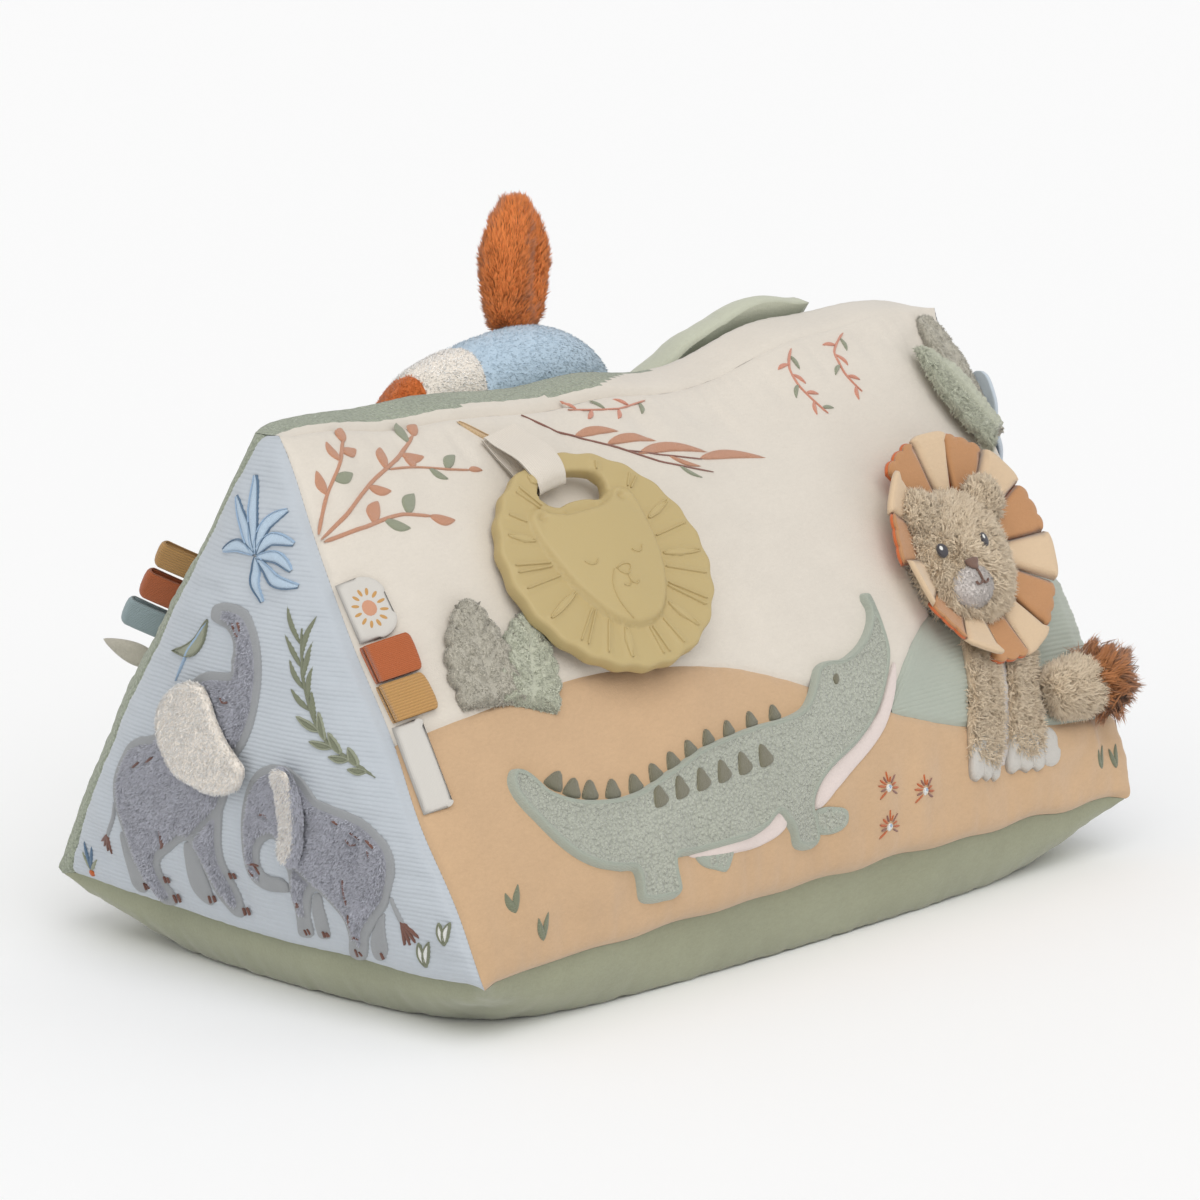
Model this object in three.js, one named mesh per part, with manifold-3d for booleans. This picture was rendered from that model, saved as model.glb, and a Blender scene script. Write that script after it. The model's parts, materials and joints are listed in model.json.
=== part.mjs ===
// A soft activity triangle: a filled cushion shaped like a tent, with cloth animals, loose leaves and ears,
// sewn-in tags, a stuffed bird behind the ridge and a silicone teether on a ribbon.
// Millimetres, +Z up, origin on the floor under the middle of the cushion, front panel towards -Y.
import * as THREE from "three";
import { mergeVertices } from "three/addons/utils/BufferGeometryUtils.js";
import Module from "manifold-3d";

const wasm = await Module();
wasm.setup();

// Driving dimensions of the cushion.
const bodyLength = 380; // between the two end seams
const bodyDepth = 232; // between the two long bottom seams
const seamHeight = 24; // bottom seams above the floor, at the corners
const ridgeRise = 192; // ridge seam above the bottom seams
const ridgeWidth = 16; // the back cloth folds over the ridge by this much
const clothThickness = 2.6;
const seamGap = 0.4; // between two cloths that meet at a seam
const layGap = 0.3; // between a piece and the cloth that it lies on
const fillingGap = 0.5; // between the filling and the cloth round it
const slopeCrown = 20; // how far the front and back panels swell
const slopeSkew = 0.84; // below 1 they swell most below the middle of their slope
const endCrown = 12;
const longSeamBow = 2; // the long bottom seams rise this much in their middle
const endSeamBow = 2;
const baseFlatness = 3; // above 1, so that the middle of the base is flat
const baseFullness = 0.45; // the base swells quickly, so that it shows below the seams at the corners
const crownFullness = 0.6; // below 1 the panels swell quickly beside their seams
const sideSeamBow = 6; // how far the filling pushes the side seams out, most of all low down

// Counts of the body's grid.
const lengthCells = 20;
const slopeCells = 10;
const depthCells = 8;

// Thicknesses of what is sewn on.
const plushThickness = 3.4;
const tagThickness = 1.6;
const ribbonThickness = 1.2;
const leafThickness = 4.2;

const halfLength = bodyLength / 2;
const halfDepth = bodyDepth / 2;
const ridgeHeight = seamHeight + ridgeRise;
const slopeRun = halfDepth - ridgeWidth / 2;
const slopeLength = Math.hypot(slopeRun, ridgeRise);
const slopeAngle = Math.atan2(ridgeRise, slopeRun);

const colours = {
  sky: 0xe9e3d9,
  sand: 0xe9b885,
  bush: 0xa9b8a6,
  blueRib: 0xc3d0dc,
  sage: 0xa3ad95,
  terry: 0xb2b9a5,
  grey: 0x8d8e96,
  cream: 0xf1e9de,
  crocodile: 0xa5afa3,
  lion: 0xcbb799,
  white: 0xe9e5e4,
  petalBrown: 0xc68f63,
  petalCream: 0xeecda6,
  tuft: 0xa2714f,
  silicone: 0xcdb97e,
  ribbon: 0xefeae6,
  rust: 0xcb6d45,
  ochre: 0xcf9f5f,
  mist: 0x9fb0b2,
  leafGrey: 0x9a9c8d,
  leafGreen: 0xa8b2a0,
  paleBlue: 0xbfccd8,
  birdBlue: 0xa5c0da,
  orange: 0xd07a41,
  crest: 0xb9622f,
  fibre: 0xf4f3ef,
};

// Solids and meshes.

function solidFrom(geometry) {
  const bare = geometry.index ? geometry.toNonIndexed() : geometry.clone();
  bare.deleteAttribute("normal");
  bare.deleteAttribute("uv");
  const merged = mergeVertices(bare, 1e-3);
  const index = merged.index.array;
  const kept = [];
  for (let i = 0; i < index.length; i += 3) {
    const [a, b, c] = [index[i], index[i + 1], index[i + 2]];
    if (a !== b && b !== c && c !== a) kept.push(a, b, c);
  }
  return new wasm.Manifold(
    new wasm.Mesh({
      numProp: 3,
      vertProperties: merged.attributes.position.array,
      triVerts: new Uint32Array(kept),
    }),
  );
}

function geometryFrom(solid) {
  const mesh = solid.getMesh();
  const geometry = new THREE.BufferGeometry();
  geometry.setAttribute("position", new THREE.BufferAttribute(mesh.vertProperties, 3));
  geometry.setIndex(new THREE.BufferAttribute(mesh.triVerts, 1));
  geometry.computeVertexNormals();
  return geometry;
}

function addPiece(group, name, shape, colour, roughness = 0.95) {
  const geometry = shape.isBufferGeometry ? shape : geometryFrom(shape);
  const material = new THREE.MeshStandardMaterial({ color: colour, roughness, metalness: 0 });
  const mesh = new THREE.Mesh(geometry, material);
  mesh.name = name;
  group.add(mesh);
  return mesh;
}

// A group that pieces turn with. Its origin lies on the hinge, and its own x axis along it.
function hingeAt(parent, name, place, axis) {
  const hinge = new THREE.Group();
  hinge.name = name;
  hinge.position.set(...place);
  hinge.quaternion.setFromUnitVectors(new THREE.Vector3(1, 0, 0), new THREE.Vector3(...axis).normalize());
  parent.add(hinge);
  hinge.updateWorldMatrix(true, false);
  return hinge;
}

// Triangles between rows of points; each row has as many points as the next.
function skinRows(rows, triangles, flip = false) {
  for (let j = 0; j + 1 < rows.length; j++) {
    for (let i = 0; i + 1 < rows[j].length; i++) {
      const [a, b, c, d] = [rows[j][i], rows[j][i + 1], rows[j + 1][i + 1], rows[j + 1][i]];
      if (flip) triangles.push(a, c, b, a, d, c);
      else triangles.push(a, b, c, a, c, d);
    }
  }
}

function geometryOfTriangles(triangles) {
  const geometry = new THREE.BufferGeometry();
  const places = new Float32Array(triangles.flatMap((p) => [p.x, p.y, p.z]));
  geometry.setAttribute("position", new THREE.BufferAttribute(places, 3));
  return geometry;
}

// A closed sheet between two grids of points that have the same layout.
function sheetBetween(outer, inner) {
  const triangles = [];
  skinRows(outer, triangles);
  skinRows(inner, triangles, true);
  const last = outer.length - 1;
  const column = (rows, i) => rows.map((row) => row.at(i));
  skinRows([inner[0], outer[0]], triangles);
  skinRows([outer[last], inner[last]], triangles);
  skinRows([column(outer, 0), column(inner, 0)], triangles);
  skinRows([column(inner, -1), column(outer, -1)], triangles);
  return geometryOfTriangles(triangles);
}

// The five panels. Each has its own frame: x to the right and y up as seen from outside, z out of the panel.

function frame(originX, originY, originZ, xAxis, yAxis) {
  const group = new THREE.Group();
  const x = new THREE.Vector3(...xAxis);
  const y = new THREE.Vector3(...yAxis);
  const z = new THREE.Vector3().crossVectors(x, y);
  group.setRotationFromMatrix(new THREE.Matrix4().makeBasis(x, y, z));
  group.position.set(originX, originY, originZ);
  return group;
}

const slopeCos = Math.cos(slopeAngle);
const slopeSin = Math.sin(slopeAngle);
const front = frame(0, -halfDepth, seamHeight, [1, 0, 0], [0, slopeCos, slopeSin]);
const back = frame(0, halfDepth, seamHeight, [-1, 0, 0], [0, -slopeCos, slopeSin]);
const leftEnd = frame(-halfLength, 0, seamHeight, [0, -1, 0], [0, 0, 1]);
const rightEnd = frame(halfLength, 0, seamHeight, [0, 1, 0], [0, 0, 1]);
const base = frame(0, 0, seamHeight, [1, 0, 0], [0, -1, 0]);

// Half the cushion's depth at a height above the bottom seams. Every side is drawn in by depth.
const slopeLean = slopeRun / ridgeRise;
function halfDepthAt(rise, depth) {
  return halfDepth - slopeLean * rise - depth * Math.hypot(1, slopeLean);
}

const swell = (t, fullness = crownFullness) => Math.pow(Math.max(0, Math.sin(Math.PI * t)), fullness);
const bowed = (t) => Math.sin(Math.PI * t);
const sideBow = (v) => sideSeamBow * bowed(Math.pow(THREE.MathUtils.clamp(v, 0, 1), 0.45));
const mix = THREE.MathUtils.lerp;

// A point of the front panel, which is also the back panel's slope.
function slopePoint(u, v, depth, inset) {
  const half = halfLength - depth - inset + sideBow(v);
  const x = mix(-half, half, u);
  const rise = mix(depth, ridgeRise - depth, v);
  const shrink = mix(inset, -inset, v);
  const run = halfDepth - halfDepthAt(rise, depth);
  const lift = longSeamBow * bowed(u) * (1 - v);
  const y = run * slopeCos + (rise + lift) * slopeSin + shrink;
  const z = -run * slopeSin + (rise + lift) * slopeCos + sideBow(v);
  return new THREE.Vector3(x, y, z);
}

function frontPoint(u, v, depth, inset) {
  const point = slopePoint(u, v, depth, inset);
  point.z += slopeCrown * swell(u) * swell(Math.pow(v, slopeSkew));
  return point;
}

// The back panel goes up its slope and folds over the ridge; v above 1 is on the fold.
const foldShare = ridgeWidth / (slopeLength + ridgeWidth);
function backPoint(u, v, depth, inset) {
  const onFold = Math.max(0, v - 1);
  const point = slopePoint(u, Math.min(1, v), depth, 0);
  point.x *= 1 - inset / halfLength;
  const across = onFold * (ridgeWidth - inset) * (halfDepthAt(ridgeRise - depth, depth) / (ridgeWidth / 2));
  point.y += across * slopeCos + (v === 0 ? inset : 0);
  point.z -= across * slopeSin;
  const along = v > 1 ? 1 - foldShare * (2 - v) : v * (1 - foldShare);
  const turn = THREE.MathUtils.smoothstep(along, 0.85, 1) * (Math.PI / 2 - slopeAngle / 2);
  const crown = slopeCrown * swell(u) * swell(Math.pow(along, slopeSkew));
  point.y += crown * Math.sin(turn);
  point.z += crown * Math.cos(turn);
  return point;
}

function endPoint(u, v, depth, inset) {
  const rise = mix(depth, ridgeRise - depth, v) + mix(inset, -inset, v);
  const half = halfDepthAt(rise, depth) - inset + sideBow(v) * slopeSin;
  const x = mix(-half, half, u);
  const y = rise + endSeamBow * bowed(u) * (1 - v) + sideBow(v) * slopeCos;
  return new THREE.Vector3(x, y, -depth + sideBow(v) + endCrown * swell(u) * swell(v));
}

function basePoint(u, v, depth, inset) {
  const x = mix(-halfLength + depth + inset, halfLength - depth - inset, u);
  const half = halfDepthAt(depth, depth) - inset;
  const y = mix(-half, half, v);
  const edge = Math.min(1, baseFlatness * swell(u, baseFullness) * swell(v, baseFullness));
  const bow = longSeamBow * bowed(u) * Math.abs(2 * v - 1) + endSeamBow * bowed(v) * Math.abs(2 * u - 1);
  return new THREE.Vector3(x, y, mix(-bow, seamHeight, edge) - depth);
}

function spaced(cells, last = 1) {
  const even = (i) => i / cells;
  const eased = (i) => 0.5 - 0.5 * Math.cos(Math.PI * even(i));
  return Array.from({ length: cells + 1 }, (_, i) => last * mix(even(i), eased(i), 0.35));
}

const alongLength = spaced(lengthCells);
const upSlope = spaced(slopeCells);
const acrossDepth = spaced(depthCells);
const upBack = [...upSlope, 1.5, 2];

function gridOf(pointAt, us, vs, depth, inset) {
  return vs.map((v) => us.map((u) => pointAt(u, v, depth, inset)));
}

const panels = {
  front: { at: frontPoint, us: alongLength, vs: upSlope, wide: bodyLength, high: slopeLength },
  back: { at: backPoint, us: alongLength, vs: upBack, wide: bodyLength, high: slopeLength },
  end: { at: endPoint, us: acrossDepth, vs: upSlope, wide: bodyDepth, high: ridgeRise },
  base: { at: basePoint, us: alongLength, vs: acrossDepth, wide: bodyLength, high: bodyDepth },
};

function panelCloth(panel) {
  const inset = seamGap / 2;
  const outer = gridOf(panel.at, panel.us, panel.vs, 0, inset);
  const inner = gridOf(panel.at, panel.us, panel.vs, clothThickness, inset);
  return solidFrom(sheetBetween(outer, inner));
}

// A layer of the same form as the panel, from one height above its cloth to another.
function layerOver(panel, low, high) {
  const rows = gridOf(panel.at, panel.us, panel.vs, 0, 0);
  const raised = (height) => rows.map((row) => row.map((p) => p.clone().setZ(p.z + height)));
  return solidFrom(sheetBetween(raised(high), raised(low)));
}

// Height of the panel's cloth over its own plane, at x and y in its frame.
function clothHeight(panel, x, y) {
  let [u, v] = [0.5, 0.5];
  for (let i = 0; i < 60; i++) {
    const p = panel.at(u, v, 0, 0);
    u = THREE.MathUtils.clamp(u + (x - p.x) / panel.wide, 0, 1);
    v = THREE.MathUtils.clamp(v + (y - p.y) / panel.high, 0, 1);
  }
  return panel.at(u, v, 0, 0).z;
}

// How far out a tilted piece has to stand so that its lowest points clear the cloth.
function standOff(panel, x, y, turn, points, clearance) {
  const needed = points.map((point) => {
    const p = point.clone().applyEuler(turn);
    return clothHeight(panel, x + p.x, y + p.y) - p.z;
  });
  return Math.max(...needed) + clearance;
}

// Points of a disc of the given radius, at one height.
function discPoints(radius, z) {
  const points = [];
  for (const share of [0, 0.5, 1]) {
    for (const at of arcPoints(share * radius, 0, 2 * Math.PI, 16)) {
      points.push(new THREE.Vector3(at.x, at.y, z));
    }
  }
  return points;
}

// Outlines.

const deep = 120; // taller than any panel's swell

function arcPoints(radius, from, to, steps) {
  return Array.from({ length: steps + 1 }, (_, i) => {
    const angle = mix(from, to, i / steps);
    return new THREE.Vector2(radius * Math.cos(angle), radius * Math.sin(angle));
  });
}

function smoothOutline(points, steps = 2) {
  const curve = new THREE.CatmullRomCurve3(
    points.map(([x, y]) => new THREE.Vector3(x, y, 0)),
    true,
    "centripetal",
  );
  return curve.getPoints(points.length * steps).slice(0, -1).map((p) => new THREE.Vector2(p.x, p.y));
}

function prism(outline, bottom = -deep, height = 2 * deep) {
  const points = THREE.ShapeUtils.area(outline) < 0 ? [...outline].reverse() : outline;
  const geometry = new THREE.ExtrudeGeometry(new THREE.Shape(points), {
    depth: height,
    bevelEnabled: false,
  });
  return solidFrom(geometry.translate(0, 0, bottom));
}

function roundedBar(width, height, corner, arcSteps = 3) {
  const shape = new THREE.Shape();
  const [w, h] = [width / 2, height / 2];
  shape.moveTo(-w + corner, -h);
  shape.lineTo(w - corner, -h);
  shape.absarc(w - corner, -h + corner, corner, -Math.PI / 2, 0);
  shape.absarc(w - corner, h - corner, corner, 0, Math.PI / 2);
  shape.absarc(-w + corner, h - corner, corner, Math.PI / 2, Math.PI);
  shape.absarc(-w + corner, -h + corner, corner, Math.PI, 1.5 * Math.PI);
  return shape.getPoints(arcSteps);
}

function placed(outline, x, y, turn = 0) {
  const middle = new THREE.Vector2();
  return outline.map((p) => p.clone().rotateAround(middle, turn).add(new THREE.Vector2(x, y)));
}

// A leaf along +y from its stem, with scalloped sides.
function leafOutline(length, width, lobes, scallop = 0.12, stem = 0.3, steps = 9) {
  const half = (t) => (width / 2) * Math.pow(Math.sin(Math.PI * (stem + (1 - stem) * t)), 0.7);
  const wave = (t) => 1 - scallop + scallop * Math.cos(2 * Math.PI * lobes * t);
  const side = Array.from({ length: steps }, (_, i) => i / steps);
  const right = side.map((t) => new THREE.Vector2(half(t) * wave(t), t * length));
  const left = side.map((t) => new THREE.Vector2(-half(t) * wave(t), t * length)).reverse();
  return [...right, new THREE.Vector2(0, length), ...left];
}

// A piece of cloth cut to an outline and laid on a panel, following its form.
function layOn(panel, outline, thickness, lift = layGap) {
  return layerOver(panel, lift, lift + thickness).intersect(prism(outline));
}

// Cuts away what a stuffed piece would have below the cloth that it sits on.
function seatOn(panel, solid, lift = layGap) {
  return solid.subtract(layerOver(panel, -deep, lift));
}

// Stuffed forms.

function ball(rx, ry, rz, across = 12, up = 8) {
  return new THREE.SphereGeometry(1, across, up).scale(rx, ry, rz);
}

// A limb along +x that swells and tapers: stations are [x, half height, half thickness].
function limb(stations, sides = 8) {
  const ring = ([x, h, d]) =>
    Array.from({ length: sides + 1 }, (_, i) => {
      const turn = (2 * Math.PI * i) / sides;
      return new THREE.Vector3(x, h * Math.cos(turn), d * Math.sin(turn));
    });
  const rings = stations.map(ring);
  const cap = (station, like) => like.map(() => new THREE.Vector3(station[0], 0, 0));
  const rows = [cap(stations[0], rings[0]), ...rings, cap(stations.at(-1), rings[0])];
  const triangles = [];
  skinRows(rows, triangles);
  return solidFrom(geometryOfTriangles(triangles));
}

function moved(geometryOrSolid, x, y, z, turnZ = 0) {
  const matrix = new THREE.Matrix4().makeRotationZ(turnZ).setPosition(x, y, z);
  return geometryOrSolid.isBufferGeometry
    ? solidFrom(geometryOrSolid.clone().applyMatrix4(matrix))
    : solidFrom(geometryFrom(geometryOrSolid).applyMatrix4(matrix));
}

// The cushion: five panels over one filling.

function fillingSolid() {
  const depth = clothThickness + fillingGap;
  const triangles = [];
  const sides = [
    [front, panels.front],
    [back, panels.back],
    [leftEnd, panels.end],
    [rightEnd, panels.end],
    [base, panels.base],
  ];
  for (const [group, panel] of sides) {
    group.updateMatrixWorld(true);
    const rows = gridOf(panel.at, panel.us, panel.vs, depth, 0);
    if (panel === panels.end) {
      // The fold over the ridge has two cells, so the end's top row keeps only three places.
      const top = rows.at(-1);
      const half = (top.length - 1) / 2;
      rows[rows.length - 1] = top.map((_, i) => top[Math.round(half * Math.round(i / half))].clone());
    }
    const inPlace = rows.map((row) => row.map((p) => p.clone().applyMatrix4(group.matrixWorld)));
    skinRows(inPlace, triangles);
  }
  return solidFrom(geometryOfTriangles(triangles));
}

const toy = new THREE.Group();
toy.name = "activity_triangle";
toy.add(front, back, leftEnd, rightEnd, base);
addPiece(toy, "filling", fillingSolid(), colours.fibre);
addPiece(base, "base_panel", panelCloth(panels.base), colours.sage);
addPiece(back, "back_panel", panelCloth(panels.back), colours.terry);
addPiece(leftEnd, "left_end_panel", panelCloth(panels.end), colours.blueRib);
addPiece(rightEnd, "right_end_panel", panelCloth(panels.end), colours.blueRib);

// The front panel is pieced from sky, sand and bush cloth along two curved seams.

function curveAcross(points) {
  const places = points.map(([share, y]) => new THREE.Vector2(share * halfLength, y));
  return new THREE.SplineCurve(places).getPoints(24);
}

const sandLine = curveAcross([
  [-1.129, 96],
  [-0.819, 99],
  [-0.579, 102],
  [-0.349, 98],
  [-0.129, 88],
  [0.051, 73],
  [0.271, 54.5],
  [0.491, 42],
  [0.781, 35],
  [1.071, 33],
]);
const bushLine = curveAcross([
  [0.171, 39],
  [0.311, 73],
  [0.471, 91],
  [0.651, 100],
  [0.811, 101],
  [1.071, 91],
]);

function below(line, shift) {
  const points = line.map((p) => new THREE.Vector2(p.x, p.y + shift));
  const [first, last] = [points[0], points.at(-1)];
  return prism([...points, new THREE.Vector2(last.x, -deep), new THREE.Vector2(first.x, -deep)]);
}

const frontCloth = panelCloth(panels.front);
const halfSeam = seamGap / 2;
const sandCloth = frontCloth.intersect(below(sandLine, -halfSeam));
const aboveSand = frontCloth.subtract(below(sandLine, halfSeam));
addPiece(front, "sand_panel", sandCloth, colours.sand);
addPiece(front, "bush_panel", aboveSand.intersect(below(bushLine, -halfSeam)), colours.bush);
addPiece(front, "sky_panel", aboveSand.subtract(below(bushLine, halfSeam)), colours.sky);

// Two elephants on the left end, with loose ears. Places are from the middle of the end's bottom seam.

const largeElephant = smoothOutline([
  [-22, 122], [-17, 129], [-7, 130], [2, 124], [7, 112], [6, 98], [3, 86], [-2, 76], [-5, 64],
  [-3, 42], [-1, 22], [-1, 5], [-14, 5], [-15, 20], [-19, 30], [-21, 18], [-21, 9], [-31, 9],
  [-32, 22], [-36, 35], [-41, 26], [-39, 13], [-39, 5], [-52, 5], [-53, 18], [-57, 28], [-58, 18],
  [-59, 9], [-69, 9], [-69, 22], [-74, 38], [-75, 52], [-69, 64], [-55, 69], [-41, 68], [-33, 74],
  [-30, 86], [-23, 95], [-13, 98], [-6, 103], [-6, 112], [-11, 119], [-18, 117],
]);
const smallElephant = smoothOutline([
  [25, 71], [35, 71], [43, 65], [55, 64], [69, 60], [79, 52], [84, 41], [82, 28], [81, 16], [80, 4],
  [69, 4], [68, 15], [64, 25], [64, 16], [63, 8], [55, 8], [55, 20], [51, 28], [49, 18], [48, 8],
  [41, 8], [41, 16], [39, 24], [38, 14], [38, 4], [28, 4], [27, 16], [25, 32], [22, 36], [19, 28],
  [18, 19], [11, 19], [11, 32], [8, 44], [9, 56], [15, 66],
]);
const largeEar = smoothOutline([
  [-23, 92], [-35, 93], [-45, 86], [-52, 74], [-52, 62], [-44, 54], [-31, 49], [-20, 52], [-16, 60],
  [-18, 74],
]);
const smallEar = smoothOutline([
  [29, 68], [38, 64], [42, 54], [41, 43], [35, 36], [29, 38], [26, 48], [26, 60],
]);
addPiece(leftEnd, "elephant_large", layOn(panels.end, largeElephant, plushThickness), colours.grey);
addPiece(leftEnd, "elephant_small", layOn(panels.end, smallElephant, plushThickness), colours.grey);
const onElephant = layGap + plushThickness + layGap;
const ears = [
  { name: "ear_large", outline: largeEar, colour: colours.cream, turn: [0, 1, 0], side: 1 },
  { name: "ear_small", outline: smallEar, colour: colours.cream, turn: [0, -1, 0], side: -1 },
];
for (const ear of ears) {
  const sewnX = ear.side * Math.max(...ear.outline.map((p) => ear.side * p.x));
  const sewnY = ear.outline.find((p) => p.x === sewnX).y;
  const height = clothHeight(panels.end, sewnX, sewnY) + onElephant + leafThickness / 2;
  const hinge = hingeAt(leftEnd, `${ear.name}_hinge`, [sewnX, sewnY, height], ear.turn);
  const earSolid = layOn(panels.end, ear.outline, leafThickness, onElephant);
  hinge.attach(addPiece(leftEnd, ear.name, earSolid, ear.colour));
}

// A crocodile on the sand.

const crocodile = smoothOutline([
  [-154.5, 76], [-146.5, 76], [-136.5, 63], [-117.5, 55], [-95.5, 57], [-67.5, 62], [-40.5, 67],
  [-19.5, 72], [-1.5, 75], [7.5, 82], [16.5, 86], [25.5, 85], [36.5, 90], [46.5, 98], [54.5, 105],
  [60.5, 106], [63.5, 99], [63.5, 87], [58.5, 75], [50.5, 62], [39.5, 51], [26.5, 43], [18.5, 39],
  [14.5, 29], [8.5, 21], [2.5, 16], [-11.5, 16], [-14.5, 22], [-16.5, 29], [-35.5, 25], [-55.5, 24],
  [-71.5, 25], [-75.5, 21], [-77.5, 13], [-84.5, 10], [-99.5, 11], [-102.5, 17], [-101.5, 26],
  [-115.5, 30], [-130.5, 37], [-146.5, 50], [-155.5, 64],
]);
addPiece(front, "crocodile", layOn(panels.front, crocodile, plushThickness), colours.crocodile);

// The lion: sitting legs laid on the cloth, a stuffed head with a mane of felt loops, and a stuffed tail.

const lion = { x: halfLength - 54.5, headY: 112, legsX: halfLength - 71.5, legsBottom: 18, legsTop: 77 };
const mane = { petals: 14, inner: 17, outer: 48.5, thickness: 3, standOff: 2.2 };
const headRadius = 29;
const headHeight = 24;
const neckRadius = 11;
const turnGap = 0.5; // between the turning head and what it turns on

const legWidth = 21;
const legGap = 1.4;
const pawHeight = 13;
function legOutline(side) {
  const half = legWidth / 2;
  const height = lion.legsTop - lion.legsBottom;
  const outline = roundedBar(legWidth, height, half * 0.8);
  return placed(outline, lion.legsX + side * (half + legGap / 2), lion.legsBottom + height / 2);
}
function pawOutline(side, grow) {
  const outline = roundedBar(legWidth + 0.6 + grow, pawHeight + grow, pawHeight * 0.45);
  return placed(outline, lion.legsX + side * (legWidth + legGap) / 2, lion.legsBottom + 1);
}
for (const [name, side] of [["left", -1], ["right", 1]]) {
  const leg = layOn(panels.front, legOutline(side), plushThickness);
  addPiece(front, `lion_leg_${name}`, leg.subtract(prism(pawOutline(side, 2 * layGap))), colours.lion);
  const paw = layOn(panels.front, pawOutline(side, 0), plushThickness);
  addPiece(front, `lion_paw_${name}`, paw, colours.white);
}

// The head's own frame. It faces a little more to the left than the cloth behind it.
const maneLow = layGap + plushThickness + mane.standOff;
const headTurn = new THREE.Euler(-0.04, 0.03, 0);
const manePoints = discPoints(mane.outer, maneLow);
const maneClear = layGap + plushThickness + turnGap;
const headBase = standOff(panels.front, lion.x, lion.headY, headTurn, manePoints, maneClear);
const headPlace = new THREE.Matrix4().makeRotationFromEuler(headTurn);
headPlace.setPosition(lion.x, lion.headY, headBase);
const headFrame = new THREE.Group();
headFrame.name = "lion_head_hinge";
headFrame.applyMatrix4(headPlace);
front.add(headFrame);

function inPanel(solid, place) {
  return solidFrom(geometryFrom(solid).applyMatrix4(place));
}

const neckReach = 26; // deep enough to meet the cloth, which it is then cut to
const neckTop = maneLow - turnGap;
const neck = new THREE.CylinderGeometry(neckRadius, neckRadius, neckReach, 16).rotateX(Math.PI / 2);
const neckSolid = inPanel(moved(neck, 0, 0, neckTop - neckReach / 2), headPlace);
addPiece(front, "lion_neck", seatOn(panels.front, neckSolid), colours.lion);

const maneTop = maneLow + mane.thickness;
const petalShare = (2 * Math.PI) / mane.petals;
const petalGap = 0.9;
const petalEnd = 6; // how far in from its tip a petal starts to narrow
function petalSolid(index) {
  const halfAt = (radius) => Math.tan(petalShare / 2) * radius - petalGap / 2;
  const wide = halfAt(mane.outer - petalEnd);
  const side = [
    [mane.inner, halfAt(mane.inner)],
    [mane.outer - petalEnd, wide],
    [mane.outer - petalEnd / 4, wide * 0.7],
  ];
  const outline = [
    ...side.map(([x, y]) => new THREE.Vector2(x, -y)),
    new THREE.Vector2(mane.outer, 0),
    ...side.map(([x, y]) => new THREE.Vector2(x, y)).reverse(),
  ];
  return prism(placed(outline, 0, 0, petalShare * (index + 0.5)), maneLow, mane.thickness);
}
for (let i = 0; i < mane.petals; i++) {
  const colour = i % 2 ? colours.petalCream : colours.petalBrown;
  addPiece(headFrame, `mane_petal_${i + 1}`, petalSolid(i), colour);
}

// The head is sewn through the mane: a hub between the petals joins its back to its stuffed face.
const headLow = maneTop + layGap;
const headDome = (grow) =>
  moved(ball(headRadius + grow, headRadius + grow, headHeight + grow, 16, 10), 0, 0, headLow);
const overMane = prism(placed(roundedBar(4 * headRadius, 4 * headRadius, 1), 0, 0), headLow, deep);
const hubRadius = mane.inner * Math.cos(petalShare / 2) - 0.7;
const hubHeight = headLow - maneLow + 2;
const hub = moved(
  new THREE.CylinderGeometry(hubRadius, hubRadius, hubHeight, 16).rotateX(Math.PI / 2),
  0,
  0,
  maneLow + hubHeight / 2,
);
const muzzle = { y: -9, radius: 11, height: 7, sunk: 2.5 };
const muzzleZ = headLow + headHeight * Math.sqrt(1 - (muzzle.y / headRadius) ** 2) - muzzle.sunk;
const muzzleBall = (grow) =>
  moved(
    ball(muzzle.radius + grow, muzzle.radius * 0.8 + grow, muzzle.height + grow, 12, 8),
    0,
    muzzle.y,
    muzzleZ,
  );
const face = headDome(0).intersect(overMane);
addPiece(headFrame, "lion_head", face.add(hub).subtract(muzzleBall(layGap)), colours.lion);
addPiece(headFrame, "lion_muzzle", muzzleBall(0), colours.white);
const lionEar = { radius: 9.5, height: 8, thickness: 5, out: 21, up: 19, rise: 6.5 };
for (const [name, side] of [["left", -1], ["right", 1]]) {
  const round = ball(lionEar.radius, lionEar.height, lionEar.thickness, 10, 6);
  const ear = moved(round, side * lionEar.out, lionEar.up, headLow + lionEar.rise);
  addPiece(headFrame, `lion_ear_${name}`, ear.subtract(headDome(layGap)).intersect(overMane), colours.lion);
}

// The tail starts beside the legs, lies over the bush cloth and passes the right end seam.
const tail = { rootX: lion.legsX + legWidth + legGap + 2.5, y: 47, length: 34, tuftLength: 36, height: 8.5 };
const tailLean = 0.05;
const tailRootZ = clothHeight(panels.front, tail.rootX, tail.y) + tail.height;
const tailPlace = new THREE.Matrix4().makeRotationY(tailLean).setPosition(tail.rootX, tail.y, tailRootZ);
const tailForm = limb([
  [0, 6, 6],
  [7, 10, 9],
  [20, 11.5, 9.5],
  [tail.length, 8.5, 7.5],
]);
const tuftStart = tail.length + layGap;
const tuftForm = limb([
  [tuftStart, 8, 7],
  [tuftStart + 8, 16, 11],
  [tuftStart + 20, 20, 12],
  [tuftStart + 30, 13, 9],
  [tuftStart + tail.tuftLength, 4, 3],
]);
const tailHinge = hingeAt(front, "lion_tail_hinge", [tail.rootX, tail.y, tailRootZ], [0, -1, 0]);
const tailSolid = seatOn(panels.front, inPanel(tailForm, tailPlace));
tailHinge.attach(addPiece(front, "lion_tail", tailSolid, colours.lion));
tailHinge.attach(addPiece(front, "tail_tuft", inPanel(tuftForm, tailPlace), colours.tuft));

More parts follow.
